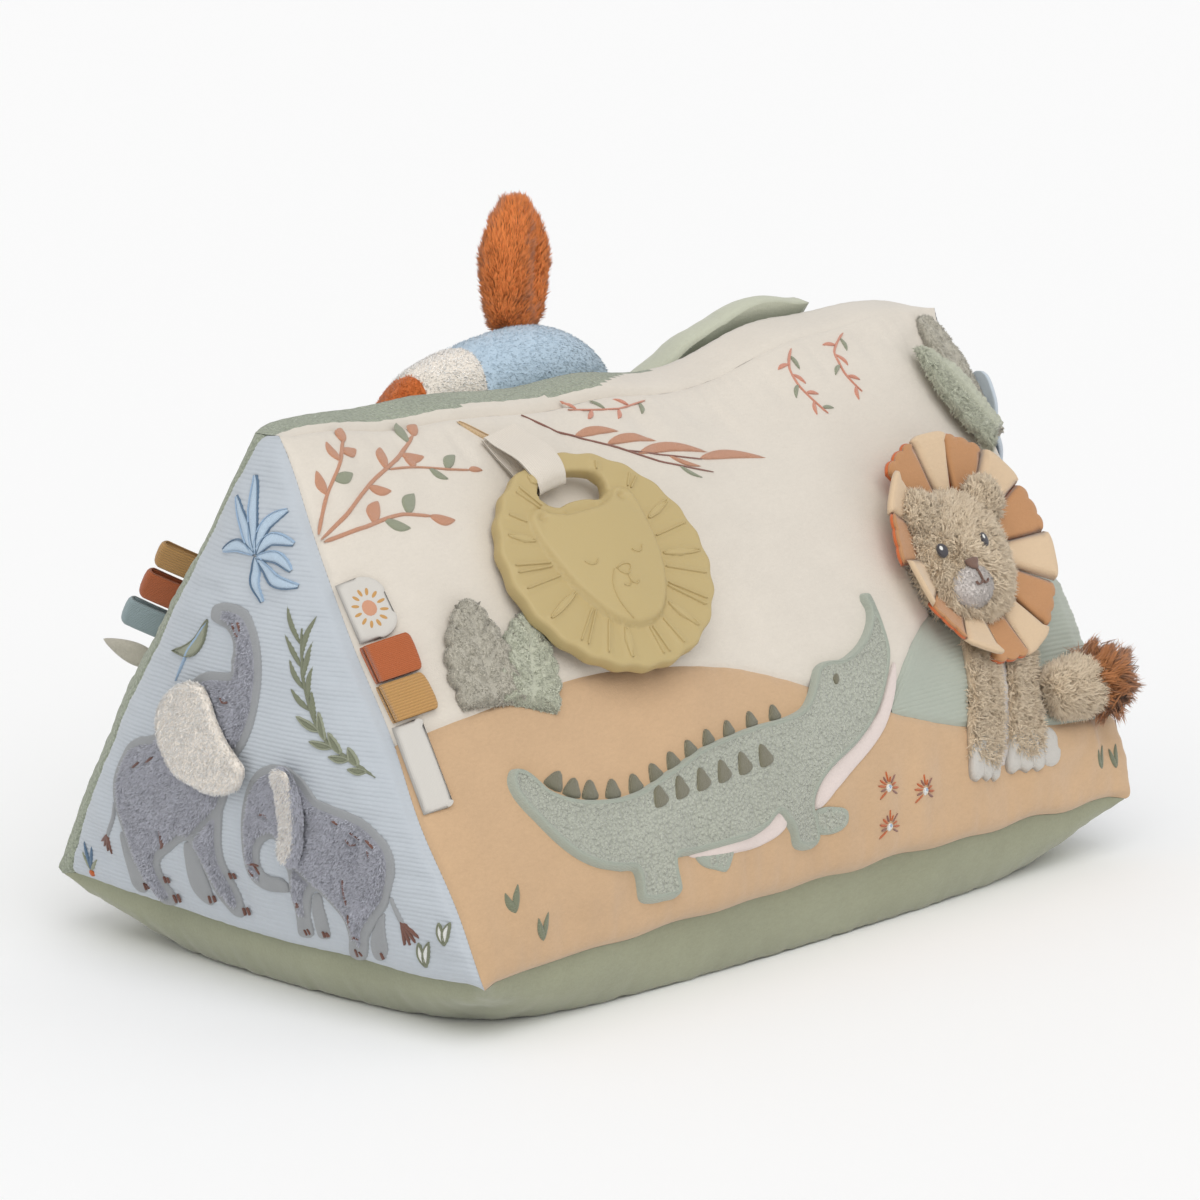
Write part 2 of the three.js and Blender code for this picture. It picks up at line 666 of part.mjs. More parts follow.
// Two loose leaves at the top of the sand, sewn at their stems.

const frontLeaves = [
  { name: "leaf_left", side: 33.5, y: 99, turn: 0.1, length: 42, width: 30, colour: colours.leafGrey },
  { name: "leaf_right", side: 58.5, y: 94, turn: -0.14, length: 32, width: 25, colour: colours.leafGreen },
];
for (const leaf of frontLeaves) {
  const x = -halfLength + leaf.side;
  const outline = placed(leafOutline(leaf.length, leaf.width, 3), x, leaf.y, leaf.turn);
  const lowest = Math.min(...outline.map((p) => p.y));
  const height = clothHeight(panels.front, x, lowest) + layGap + leafThickness / 2;
  const hinge = hingeAt(front, `${leaf.name}_hinge`, [x, lowest, height], [1, 0, 0]);
  hinge.attach(addPiece(front, leaf.name, layOn(panels.front, outline, leafThickness), leaf.colour));
}

// Palm fronds sewn in near the right end seam. The middle one lies on the upper one and lifts.

const frondLift = layGap + leafThickness + layGap;
const fronds = [
  {
    name: "frond_upper",
    x: halfLength - 3,
    y: slopeLength - 57.3,
    turn: 0.42,
    length: 50,
    width: 19,
    lobes: 4,
    lift: layGap,
    colour: colours.leafGrey,
  },
  {
    name: "frond_middle",
    x: halfLength - 4,
    y: slopeLength - 63.3,
    turn: 0.85,
    length: 44,
    width: 17,
    lobes: 5,
    lift: frondLift,
    colour: colours.leafGreen,
    lifts: true,
  },
];
for (const frond of fronds) {
  const outline = placed(leafOutline(frond.length, frond.width, frond.lobes), frond.x, frond.y, frond.turn);
  const solid = layOn(panels.front, outline, leafThickness, frond.lift);
  const mesh = addPiece(front, frond.name, solid, frond.colour);
  if (frond.lifts) {
    const height = clothHeight(panels.front, frond.x, frond.y) + frond.lift + leafThickness / 2;
    const across = [Math.cos(frond.turn), Math.sin(frond.turn), 0];
    hingeAt(front, `${frond.name}_hinge`, [frond.x, frond.y, height], across).attach(mesh);
  }
}
const blueFrond = { x: -26, y: 130, turn: 0.12, length: 46, width: 20 };
const blueLeaf = leafOutline(blueFrond.length, blueFrond.width, 2, 0.06);
const blueOutline = placed(blueLeaf, blueFrond.x, blueFrond.y, blueFrond.turn);
const blueHeight = clothHeight(panels.end, blueFrond.x, blueFrond.y) + layGap + leafThickness / 2;
const blueHinge = hingeAt(rightEnd, "frond_blue_hinge", [blueFrond.x, blueFrond.y, blueHeight], [1, 0, 0]);
const blueSolid = layOn(panels.end, blueOutline, leafThickness);
blueHinge.attach(addPiece(rightEnd, "frond_blue", blueSolid, colours.paleBlue));

// Tags sewn into the seam between the left end and the front panel, one above the other.

const tagRootAt = (y) => -halfLength + 1.2 - sideBow(y / slopeLength);
const tagGap = 1;
const tagsBottom = 68;
const tags = [
  { name: "blank_label", width: 36, length: 11, corner: 2, thickness: tagThickness, colour: colours.white },
  { name: "ochre_loop", width: 15, length: 17.5, corner: 2.5, thickness: 3.4, colour: colours.ochre },
  { name: "rust_loop", width: 15, length: 17.5, corner: 4, thickness: 4, colour: colours.rust },
  { name: "round_tag", width: 25, length: 16, corner: 7.5, thickness: tagThickness, colour: colours.white },
];
let tagStart = tagsBottom;
for (const tag of tags) {
  const middle = tagStart + tag.width / 2;
  const tagRoot = tagRootAt(middle);
  tagStart += tag.width + tagGap;
  const outline = placed(roundedBar(tag.length, tag.width, tag.corner), tagRoot + tag.length / 2, middle);
  const height = clothHeight(panels.front, tagRoot, middle) + layGap + tag.thickness / 2;
  const hinge = hingeAt(front, `${tag.name}_hinge`, [tagRoot, middle, height], [0, -1, 0]);
  hinge.attach(addPiece(front, tag.name, layOn(panels.front, outline, tag.thickness), tag.colour));
}

// Loops and a pointed leaf tag that stand out of the back panel, near the left end.

const backTagX = halfLength - 24;
const backTagLean = 0.85; // out of the panel's plane
const backTagSwing = 0.44; // how far they bend either way
const backTagSink = 0.21; // how far the cloth's flat facets lie below its true curve there
const backTags = [
  { name: "back_ochre_loop", y: 140, width: 14, length: 28, thickness: 3.4, colour: colours.ochre },
  { name: "back_rust_loop", y: 124.5, width: 14, length: 30, thickness: 4, colour: colours.rust },
  { name: "back_mist_loop", y: 109, width: 13, length: 30, thickness: 3.4, colour: colours.mist },
  {
    name: "back_leaf_tag",
    y: 91,
    width: 13,
    length: 34,
    thickness: 3,
    colour: colours.leafGrey,
    pointed: true,
  },
];
for (const tag of backTags) {
  const clear = layGap - backTagSink + (tag.thickness / 2) * Math.cos(backTagLean - backTagSwing);
  const stand = new THREE.Group();
  stand.name = `${tag.name}_hinge`;
  stand.position.set(backTagX, tag.y, clothHeight(panels.back, backTagX, tag.y) + clear);
  stand.rotation.y = -backTagLean;
  back.add(stand);
  const outline = tag.pointed
    ? placed(leafOutline(tag.length, tag.width, 0, 0), 0, 0, -Math.PI / 2)
    : placed(roundedBar(tag.length, tag.width, 3), tag.length / 2, 0);
  addPiece(stand, tag.name, prism(outline, -tag.thickness / 2, tag.thickness), tag.colour);
}

// A padded leaf at the top of the back panel, which stands a little over the ridge.

const ridgeLeaf = { x: -halfLength + 36, y: 190, length: 96, width: 58, thickness: 14 };
const ridgeLeafShape = leafOutline(ridgeLeaf.length, ridgeLeaf.width, 2, 0.05);
const ridgeLeafOutline = placed(ridgeLeafShape, ridgeLeaf.x, ridgeLeaf.y, -Math.PI / 2);
const leafHeight = clothHeight(panels.back, ridgeLeaf.x, ridgeLeaf.y) + layGap + ridgeLeaf.thickness / 2;
const leafHinge = hingeAt(back, "ridge_leaf_hinge", [ridgeLeaf.x, ridgeLeaf.y, leafHeight], [0, -1, 0]);
const ridgeLeafSolid = layOn(panels.back, ridgeLeafOutline, ridgeLeaf.thickness);
leafHinge.attach(addPiece(back, "ridge_leaf", ridgeLeafSolid, colours.sage));

// The stuffed bird behind the ridge: blue body, cream face, orange beak and a tuft of fur.

const bird = { x: 8, y: 184, halfWidth: 60, halfHeight: 42, halfThickness: 24, z: 24 };
const birdForm = (grow) =>
  moved(
    ball(bird.halfWidth + grow, bird.halfHeight + grow, bird.halfThickness + grow, 18, 12),
    bird.x,
    bird.y,
    bird.z,
  );
const birdSeated = seatOn(panels.back, birdForm(0));
const beyond = (share, shift = 0) => {
  const x = bird.x + share * bird.halfWidth + shift;
  const far = 4 * deep;
  return prism([
    new THREE.Vector2(x, -far),
    new THREE.Vector2(x + far, -far),
    new THREE.Vector2(x + far, far),
    new THREE.Vector2(x, far),
  ]);
};
const faceStart = 0.28;
const beakStart = 0.7;
addPiece(back, "bird_body", birdSeated.subtract(beyond(faceStart)), colours.birdBlue);
const birdFace = birdSeated.intersect(beyond(faceStart, layGap)).subtract(beyond(beakStart));
addPiece(back, "bird_face", birdFace, colours.cream);
addPiece(back, "bird_beak", birdSeated.intersect(beyond(beakStart, layGap)), colours.orange);

const crest = { x: 3, height: 53, halfWidth: 19, halfThickness: 10, rootGap: 0.9, hingeUp: 3.2 };
const crestUp = new THREE.Vector3(0, slopeSin, slopeCos);
const crestPlace = new THREE.Matrix4().makeBasis(
  crestUp,
  new THREE.Vector3(1, 0, 0),
  new THREE.Vector3(0, slopeCos, -slopeSin),
);
const birdRadiusUp = 1 / Math.hypot(slopeSin / bird.halfHeight, slopeCos / bird.halfThickness);
const birdShare = Math.sqrt(1 - ((crest.x - bird.x) / bird.halfWidth) ** 2);
const crestFoot = new THREE.Vector3(crest.x, bird.y, bird.z);
crestFoot.addScaledVector(crestUp, birdRadiusUp * birdShare);
const crestHinge = crestFoot.clone().addScaledVector(crestUp, crest.hingeUp);
crestPlace.setPosition(crestFoot);
const crestForm = limb([
  [crest.rootGap, 5, 2],
  [8, 13, 7],
  [22, crest.halfWidth * 0.92, crest.halfThickness],
  [36, crest.halfWidth, crest.halfThickness],
  [46, crest.halfWidth * 0.75, crest.halfThickness * 0.8],
  [crest.height, 5, 4],
]);
const crestTurn = hingeAt(back, "bird_crest_hinge", crestHinge.toArray(), [1, 0, 0]);
crestTurn.attach(addPiece(back, "bird_crest", inPanel(crestForm, crestPlace), colours.crest));

// The teether: a silicone disc with a slot, hung from a ribbon that comes out of a slit in the sky cloth.

const teether = {
  x: -halfLength + 111.5,
  y: 142,
  radius: 48,
  thickness: 7,
  rimBevel: 1.5,
  rimWave: 0.7,
  waves: 22,
  raised: 3,
};
const teetherTilt = { back: 0.19, aside: 0.1 };
const slot = { middle: 1.52, halfSpan: 0.5, inner: 26.6, outer: 39 };
const ribbon = { angle: 1.71, width: 18, reach: 66, clearance: 0.45 };

function slotOutline() {
  const middle = (slot.inner + slot.outer) / 2;
  const round = (slot.outer - slot.inner) / 2;
  const [low, high] = [slot.middle - slot.halfSpan, slot.middle + slot.halfSpan];
  const endArc = (angle, from) => {
    const centre = new THREE.Vector2(middle * Math.cos(angle), middle * Math.sin(angle));
    return arcPoints(round, from, from + Math.PI, 6).map((p) => p.add(centre)).slice(1, -1);
  };
  return [
    ...arcPoints(slot.outer, low, high, 8),
    ...endArc(high, high),
    ...arcPoints(slot.inner, high, low, 8),
    ...endArc(low, low + Math.PI),
  ];
}

const rimSteps = 3 * teether.waves;
const rim = Array.from({ length: rimSteps }, (_, i) => {
  const angle = (2 * Math.PI * i) / rimSteps;
  const radius = teether.radius - teether.rimWave * (0.5 - 0.5 * Math.cos(angle * teether.waves));
  return new THREE.Vector2(radius * Math.cos(angle), radius * Math.sin(angle));
});
const discShape = new THREE.Shape(rim);
discShape.holes.push(new THREE.Path(slotOutline()));
const discGeometry = new THREE.ExtrudeGeometry(discShape, {
  depth: teether.thickness - 2 * teether.rimBevel,
  bevelThickness: teether.rimBevel,
  bevelSize: teether.rimBevel,
  bevelOffset: -teether.rimBevel,
  bevelSegments: 1,
});
const disc = solidFrom(discGeometry.translate(0, 0, -teether.thickness / 2 + teether.rimBevel));
const lionFace = smoothOutline(
  [
    [-20, 20], [-12, 21], [-5, 18], [6, 18], [13, 20], [22, 17], [24, 3], [21, -13], [11, -25],
    [-7, -26], [-19, -15], [-24, 2],
  ],
  3,
);
const facePlate = prism(lionFace, 0, teether.thickness / 2 + teether.raised);
const teetherSolid = disc.add(facePlate);

// The rim between slot and edge is what the ribbon holds.
const barRadius = (slot.outer + teether.radius) / 2;
const barHalf = (teether.radius - slot.outer) / 2;
const barReach = Math.max(
  Math.hypot(barHalf, teether.thickness / 2 - teether.rimBevel),
  Math.hypot(barHalf - teether.rimBevel, teether.thickness / 2),
);
const barSag = barRadius - Math.sqrt(barRadius ** 2 - (ribbon.width / 2) ** 2);
const loopInner = barReach + barSag + ribbon.clearance;
const loopOuter = loopInner + ribbonThickness;
const ribbonWay = new THREE.Vector2(Math.cos(ribbon.angle), Math.sin(ribbon.angle));

// The teether stands off far enough that neither the disc nor the ribbon's loop goes into the cloth.
const teetherTurn = new THREE.Euler(-teetherTilt.back, -teetherTilt.aside, 0);
const lowPoints = discPoints(teether.radius, -teether.thickness / 2);
for (const side of [-1, 0, 1]) {
  const along = new THREE.Vector2(-ribbonWay.y, ribbonWay.x).multiplyScalar((side * ribbon.width) / 2);
  for (const radius of [barRadius - loopOuter / 2, barRadius, barRadius + loopOuter / 2]) {
    const at = ribbonWay.clone().multiplyScalar(radius).add(along);
    lowPoints.push(new THREE.Vector3(at.x, at.y, -loopOuter));
  }
}
const teetherHeight = standOff(panels.front, teether.x, teether.y, teetherTurn, lowPoints, layGap);
const teetherFrame = new THREE.Group();
teetherFrame.position.set(teether.x, teether.y, teetherHeight);
teetherFrame.rotation.copy(teetherTurn);
front.add(teetherFrame);
teetherFrame.updateWorldMatrix(true, false);

// The ribbon's section: x runs up from the teether's middle, y out of its face.
const slitAt = ribbonWay.clone().multiplyScalar(ribbon.reach);
const slitTurned = new THREE.Vector3(slitAt.x, slitAt.y, 0).applyEuler(teetherTurn);
const slitCloth = clothHeight(panels.front, teether.x + slitTurned.x, teether.y + slitTurned.y);
const slitDown = slitCloth + 4 * layGap + ribbonThickness - (teetherHeight + slitTurned.z);
const tailHalf = ribbonThickness + 0.1;
const ribbonSection = new THREE.Shape([
  ...arcPoints(loopOuter, 0.35, 2 * Math.PI - 0.35, 18).map((p) => p.add(new THREE.Vector2(barRadius, 0))),
  new THREE.Vector2(mix(barRadius + loopOuter, ribbon.reach, 0.4), slitDown * 0.55 - tailHalf),
  new THREE.Vector2(ribbon.reach, slitDown - tailHalf),
  new THREE.Vector2(ribbon.reach, slitDown + tailHalf),
  new THREE.Vector2(mix(barRadius + loopOuter, ribbon.reach, 0.4), slitDown * 0.55 + tailHalf),
]);
const loopHole = arcPoints(loopInner, 2 * Math.PI, 0, 18).slice(0, -1);
ribbonSection.holes.push(new THREE.Path(loopHole.map((p) => p.add(new THREE.Vector2(barRadius, 0)))));
const ribbonDepth = { depth: ribbon.width, bevelEnabled: false };
const ribbonGeometry = new THREE.ExtrudeGeometry(ribbonSection, ribbonDepth);
ribbonGeometry.translate(0, 0, -ribbon.width / 2);
ribbonGeometry.applyMatrix4(
  new THREE.Matrix4().makeBasis(
    new THREE.Vector3(ribbonWay.x, ribbonWay.y, 0),
    new THREE.Vector3(0, 0, 1),
    new THREE.Vector3(ribbonWay.y, -ribbonWay.x, 0),
  ),
);

const acrossRibbon = [-ribbonWay.y, ribbonWay.x, 0];
const slitPlace = [slitAt.x, slitAt.y, slitDown];
const ribbonHinge = hingeAt(teetherFrame, "ribbon_hinge", slitPlace, acrossRibbon);
const barPlace = [ribbonWay.x * barRadius, ribbonWay.y * barRadius, 0];
const teetherHinge = hingeAt(teetherFrame, "teether_hinge", barPlace, acrossRibbon);
ribbonHinge.attach(addPiece(teetherFrame, "teether_ribbon", solidFrom(ribbonGeometry), colours.ribbon));
teetherHinge.attach(addPiece(teetherFrame, "teether", teetherSolid, colours.silicone, 0.55));

export default toy;
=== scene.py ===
import json
import math

import bmesh
import bpy
import numpy as np
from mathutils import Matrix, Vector, geometry, kdtree


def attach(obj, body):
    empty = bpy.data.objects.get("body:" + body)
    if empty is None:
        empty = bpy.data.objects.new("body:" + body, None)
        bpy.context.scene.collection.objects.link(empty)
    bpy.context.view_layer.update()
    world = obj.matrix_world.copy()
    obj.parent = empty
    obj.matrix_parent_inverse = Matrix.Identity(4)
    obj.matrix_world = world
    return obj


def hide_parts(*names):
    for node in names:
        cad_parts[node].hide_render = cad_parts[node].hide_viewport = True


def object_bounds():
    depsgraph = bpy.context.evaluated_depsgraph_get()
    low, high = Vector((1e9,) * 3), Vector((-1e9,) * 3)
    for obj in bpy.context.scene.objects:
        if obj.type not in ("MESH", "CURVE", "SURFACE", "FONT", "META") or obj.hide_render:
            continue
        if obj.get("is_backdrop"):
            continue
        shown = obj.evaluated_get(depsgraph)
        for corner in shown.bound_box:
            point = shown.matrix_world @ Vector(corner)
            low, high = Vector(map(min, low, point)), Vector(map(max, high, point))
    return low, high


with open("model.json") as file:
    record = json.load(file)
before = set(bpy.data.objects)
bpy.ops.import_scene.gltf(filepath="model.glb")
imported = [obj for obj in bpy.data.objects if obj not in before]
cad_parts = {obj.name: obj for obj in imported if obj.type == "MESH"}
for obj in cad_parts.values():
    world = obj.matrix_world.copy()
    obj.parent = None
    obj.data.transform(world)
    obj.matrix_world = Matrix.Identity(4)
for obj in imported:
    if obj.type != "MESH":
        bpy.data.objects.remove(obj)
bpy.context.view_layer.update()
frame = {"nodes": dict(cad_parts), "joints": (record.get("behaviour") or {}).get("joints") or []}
print("frame loaded:", len(frame["nodes"]), "nodes")

millimetre = 0.001


def hingeOf(name):
    joint = next(j for j in frame["joints"] if j["name"] == name)
    return np.array(joint["pos_m"]) * 1000, np.array(joint["axis"])


# Colours as they look on the toy, turned into the linear values that shaders take.

def linear(red, green, blue):
    def one(value):
        value /= 255
        return value / 12.92 if value <= 0.04045 else ((value + 0.055) / 1.055) ** 2.4

    return (one(red), one(green), one(blue), 1)


colours = {
    "sky": linear(216, 208, 196),
    "sand": linear(198, 166, 131),
    "bush": linear(171, 177, 165),
    "blueRib": linear(185, 191, 197),
    "terry": linear(168, 175, 155),
    "base": linear(151, 153, 129),
    "grey": linear(152, 153, 161),
    "greyThread": linear(152, 154, 156),
    "cream": linear(241, 232, 220),
    "crocodile": linear(185, 188, 174),
    "crocodileThread": linear(170, 176, 163),
    "belly": linear(222, 208, 202),
    "spike": linear(128, 124, 104),
    "lion": linear(207, 185, 156),
    "pale": linear(214, 206, 200),
    "petalBrown": linear(187, 138, 96),
    "petalEdge": linear(200, 106, 60),
    "petalCream": linear(214, 188, 156),
    "tuft": linear(152, 102, 66),
    "silicone": linear(185, 165, 117),
    "ribbon": linear(223, 214, 201),
    "slitCloth": linear(206, 178, 140),
    "rust": linear(183, 100, 58),
    "ochre": linear(192, 148, 92),
    "mist": linear(147, 163, 166),
    "leafGrey": linear(183, 178, 164),
    "leafGreen": linear(190, 192, 173),
    "paleBlue": linear(196, 206, 215),
    "birdBlue": linear(186, 206, 222),
    "orange": linear(210, 116, 60),
    "crest": linear(196, 116, 64),
    "labelWhite": linear(204, 200, 193),
    "terracotta": linear(200, 148, 120),
    "brown": linear(118, 84, 74),
    "threadSage": linear(152, 156, 134),
    "threadOlive": linear(128, 132, 110),
    "threadBlue": linear(140, 162, 184),
    "threadDeepBlue": linear(98, 122, 146),
    "threadWhite": linear(232, 232, 228),
    "threadPink": linear(214, 150, 128),
    "eye": linear(74, 72, 76),
    "nose": linear(120, 94, 82),
}


# Node groups that several materials share. They give out only values, colours and normals.

def link(tree, start, end):
    tree.links.new(start, end)


def setInputs(tree, node, inputs):
    # Each input is given as a value or as the socket that feeds it.
    for name, value in inputs.items():
        if isinstance(value, bpy.types.NodeSocket):
            link(tree, value, node.inputs[name])
        else:
            node.inputs[name].default_value = value


def addNode(tree, kind, inputs, **settings):
    node = tree.nodes.new("ShaderNode" + kind)
    for name, value in settings.items():
        setattr(node, name, value)
    setInputs(tree, node, inputs)
    return node


def openGroup(name, pitch=None):
    # A group that turns a place into a height and a shade; pitch is in the place's own unit.
    group = bpy.data.node_groups.new(name, "ShaderNodeTree")
    group.interface.new_socket("Vector", in_out="INPUT", socket_type="NodeSocketVector")
    if pitch:
        socket = group.interface.new_socket("Pitch", in_out="INPUT", socket_type="NodeSocketFloat")
        socket.default_value = pitch
    for name in ("Height", "Shade"):
        group.interface.new_socket(name, in_out="OUTPUT", socket_type="NodeSocketFloat")
    start = group.nodes.new("NodeGroupInput")
    return group, start.outputs["Vector"], start.outputs["Pitch"] if pitch else None


def closeGroup(group, height, shade):
    end = group.nodes.new("NodeGroupOutput")
    link(group, height, end.inputs["Height"])
    link(group, shade, end.inputs["Shade"])
    return group


def maths(tree, operation, first, second=None, third=None):
    node = tree.nodes.new("ShaderNodeMath")
    node.operation = operation
    for socket, value in zip(node.inputs, (first, second, third)):
        if value is None:
            continue
        if isinstance(value, (int, float)):
            socket.default_value = value
        else:
            link(tree, value, socket)
    return node.outputs[0]


def noiseAt(tree, vector, scale, detail=3, roughness=0.5):
    return addNode(tree, "TexNoise", {"Vector": vector, "Scale": scale, "Detail": detail,
                                      "Roughness": roughness}).outputs["Fac"]


def cellsAt(tree, vector, scale):
    return addNode(tree, "TexVoronoi", {"Vector": vector, "Scale": scale}).outputs["Distance"]


def stretched(tree, vector, factors):
    return addNode(tree, "VectorMath", {0: vector, 1: factors}, operation="MULTIPLY").outputs[0]


def pileGroup():
    # Short pile: fine nap, brushed lighter and darker patches, and soft large unevenness.
    group, place, _ = openGroup("shortPile")
    fine = noiseAt(group, place, 1500, 2, 0.6)
    strands = noiseAt(group, stretched(group, place, (420, 900, 900)), 1, 3, 0.65)
    brushed = noiseAt(group, stretched(group, place, (45, 70, 60)), 1, 4, 0.6)
    broad = noiseAt(group, place, 16, 2, 0.5)
    height = maths(group, "MULTIPLY_ADD", fine, 0.5, maths(group, "MULTIPLY", strands, 0.6))
    height = maths(group, "MULTIPLY_ADD", brushed, 0.5, height)
    shade = maths(group, "MULTIPLY_ADD", strands, 0.35, maths(group, "MULTIPLY", fine, 0.15))
    shade = maths(group, "MULTIPLY_ADD", brushed, 0.35, shade)
    shade = maths(group, "MULTIPLY_ADD", broad, 0.3, shade)
    return closeGroup(group, height, shade)


def loopGroup():
    # Terry: small curled loops packed side by side.
    group, place, _ = openGroup("terryLoops")
    warp = addNode(group, "TexNoise", {"Vector": place, "Scale": 500, "Detail": 2}).outputs["Color"]
    shifted = addNode(group, "VectorMath", {0: warp, 1: (0.0012, 0.0012, 0.0012), 2: place},
                      operation="MULTIPLY_ADD")
    loops = cellsAt(group, shifted.outputs[0], 720)
    fine = noiseAt(group, place, 1800, 2, 0.6)
    broad = noiseAt(group, place, 30, 3, 0.5)
    height = maths(group, "SUBTRACT", maths(group, "MULTIPLY", fine, 0.4), loops)
    shade = maths(group, "MULTIPLY_ADD", loops, -0.55, maths(group, "MULTIPLY_ADD", broad, 0.35, 0.5))
    shade = maths(group, "MULTIPLY_ADD", fine, 0.15, shade)
    return closeGroup(group, height, shade)


def threadGroup():
    # Satin stitches: fine parallel threads across the UV map's second direction, in millimetres.
    group, place, pitch = openGroup("satinThreads", 0.45)
    split = addNode(group, "SeparateXYZ", {0: place})
    wander = noiseAt(group, place, 0.9, 2, 0.5)
    along = maths(group, "MULTIPLY_ADD", wander, 0.7, split.outputs[1])
    turn = maths(group, "DIVIDE", along, pitch)
    wave = maths(group, "SINE", maths(group, "MULTIPLY", turn, 2 * math.pi))
    ends = noiseAt(group, place, 2.5, 2, 0.6)
    height = maths(group, "MULTIPLY_ADD", ends, 0.6, maths(group, "MULTIPLY", wave, 0.5))
    shade = maths(group, "MULTIPLY_ADD", wave, 0.22, maths(group, "MULTIPLY_ADD", ends, 0.4, 0.3))
    return closeGroup(group, height, shade)


def weaveGroup():
    # Plain ribbon weave over the UV map in millimetres.
    group, place, pitch = openGroup("ribbonWeave", 0.6)
    split = addNode(group, "SeparateXYZ", {0: place})
    across = maths(group, "DIVIDE", split.outputs[0], pitch)
    along = maths(group, "DIVIDE", split.outputs[1], pitch)
    first = maths(group, "SINE", maths(group, "MULTIPLY", across, 2 * math.pi))
    second = maths(group, "SINE", maths(group, "MULTIPLY", along, 4 * math.pi))
    fuzz = noiseAt(group, place, 3, 3, 0.6)
    height = maths(group, "MULTIPLY_ADD", second, 0.35, first)
    height = maths(group, "MULTIPLY_ADD", fuzz, 0.8, height)
    shade = maths(group, "MULTIPLY_ADD", first, 0.16, maths(group, "MULTIPLY_ADD", fuzz, 0.4, 0.3))
    return closeGroup(group, height, shade)


surfaces = {
    "pile": (pileGroup(), "Object"),
    "loops": (loopGroup(), "Object"),
    "threads": (threadGroup(), "UV"),
    "weave": (weaveGroup(), "UV"),
}


def newMaterial(name):
    # A material, its tree, its shader and the sockets that give places on the piece.
    material = bpy.data.materials.new(name)
    material.use_nodes = True
    tree = material.node_tree
    return material, tree, tree.nodes["Principled BSDF"], addNode(tree, "TexCoord", {}).outputs


def ramped(tree, shade, stops):
    ramp = addNode(tree, "ValToRGB", {"Fac": shade})
    for stop, (position, colour) in zip(ramp.color_ramp.elements, stops):
        stop.position, stop.color = position, colour
    return ramp.outputs["Color"]


def relief(tree, height, strength, reach):
    node = addNode(tree, "Bump", {"Height": height, "Strength": strength, "Distance": reach})
    return node.outputs["Normal"]


def fabric(name, colour, surface, dark=0.8, light=1.08, bump=0.4, reach=0.0008, sheen=0.3,
           roughness=0.95, pitch=None):
    # A cloth material: its colour runs from dark to light with the surface's own shade.
    material, tree, shader, places = newMaterial(name)
    group, source = surfaces[surface]
    made = addNode(tree, "Group", {}, node_tree=group)
    setInputs(tree, made, {"Vector": places[source]})
    if pitch:
        setInputs(tree, made, {"Pitch": pitch})
    setInputs(tree, shader, {
        "Base Color": ramped(tree, made.outputs["Shade"], ((0.25, scaled(colour, dark)),
                                                           (0.75, scaled(colour, light)))),
        "Normal": relief(tree, made.outputs["Height"], bump, reach),
        "Roughness": roughness, "Specular IOR Level": 0.2, "Sheen Weight": sheen, "Sheen Roughness": 0.5})
    return material


def furMaterial(name, root, tip, mottle=0.25):
    # Strands: darker at the root and lighter at the tip, with soft mottling over the piece.
    material, tree, shader, places = newMaterial(name)
    split = addNode(tree, "SeparateXYZ", {0: places["UV"]})
    patches = noiseAt(tree, places["Object"], 90, 3, 0.6)
    shade = maths(tree, "MULTIPLY_ADD", patches, 2 * mottle, split.outputs[1])
    shade = maths(tree, "SUBTRACT", shade, mottle)
    shade = maths(tree, "MULTIPLY_ADD", split.outputs[0], 0.25, shade)
    # A blade seen from behind is lit like its front, from the pile's own direction.
    facing = addNode(tree, "NewGeometry", {}).outputs
    side = maths(tree, "MULTIPLY_ADD", facing["Backfacing"], -2, 1)
    turned = addNode(tree, "VectorMath", {0: facing["Normal"], "Scale": side}, operation="SCALE")
    setInputs(tree, shader, {
        "Base Color": ramped(tree, shade, ((0.05, root), (0.95, tip))), "Normal": turned.outputs[0],
        "Roughness": 0.75, "Specular IOR Level": 0.15, "Sheen Weight": 0.2})
    return material


def scaled(colour, factor):
    return tuple(min(1, c * factor) for c in colour[:3]) + (1,)


def eased(share):
    return share * share * (3 - 2 * share)


# The cushion's form, in millimetres. Each panel has a frame: x to the right and y up as seen from
# outside, z out of the panel.

cushion = {
    "length": 380, "depth": 232, "seamHeight": 24, "ridgeRise": 192, "ridgeWidth": 16,
    "slopeCrown": 20, "slopeSkew": 0.84, "endCrown": 12, "longBow": 2, "endBow": 2,
    "baseFlatness": 3, "baseFullness": 0.45, "fullness": 0.6, "sideBow": 6,
}
halfLength, halfDepth = cushion["length"] / 2, cushion["depth"] / 2
slopeRun = halfDepth - cushion["ridgeWidth"] / 2
slopeLength = math.hypot(slopeRun, cushion["ridgeRise"])
slopeCos, slopeSin = slopeRun / slopeLength, cushion["ridgeRise"] / slopeLength
slopeAngle = math.atan2(cushion["ridgeRise"], slopeRun)
foldShare = cushion["ridgeWidth"] / (slopeLength + cushion["ridgeWidth"])


def swell(t, fullness=cushion["fullness"]):
    return np.maximum(0, np.sin(np.pi * np.clip(t, 0, 1))) ** fullness


def sideBow(v):
    # The side seams are pushed out, most of all low down.
    return cushion["sideBow"] * np.sin(np.pi * np.clip(v, 0, 1) ** 0.45)


def slopeShape(u, v):
    rise = cushion["ridgeRise"] * v
    run = slopeRun * v
    lift = cushion["longBow"] * np.sin(np.pi * u) * (1 - v)
    x = (halfLength + sideBow(v)) * (2 * u - 1)
    y = run * slopeCos + (rise + lift) * slopeSin
    z = -run * slopeSin + (rise + lift) * slopeCos + sideBow(v)
    return x, y, z


def frontShape(u, v):
    x, y, z = slopeShape(u, v)
    crown = cushion["slopeCrown"] * swell(u) * swell(np.clip(v, 0, 1) ** cushion["slopeSkew"])
    return x, y, z + crown


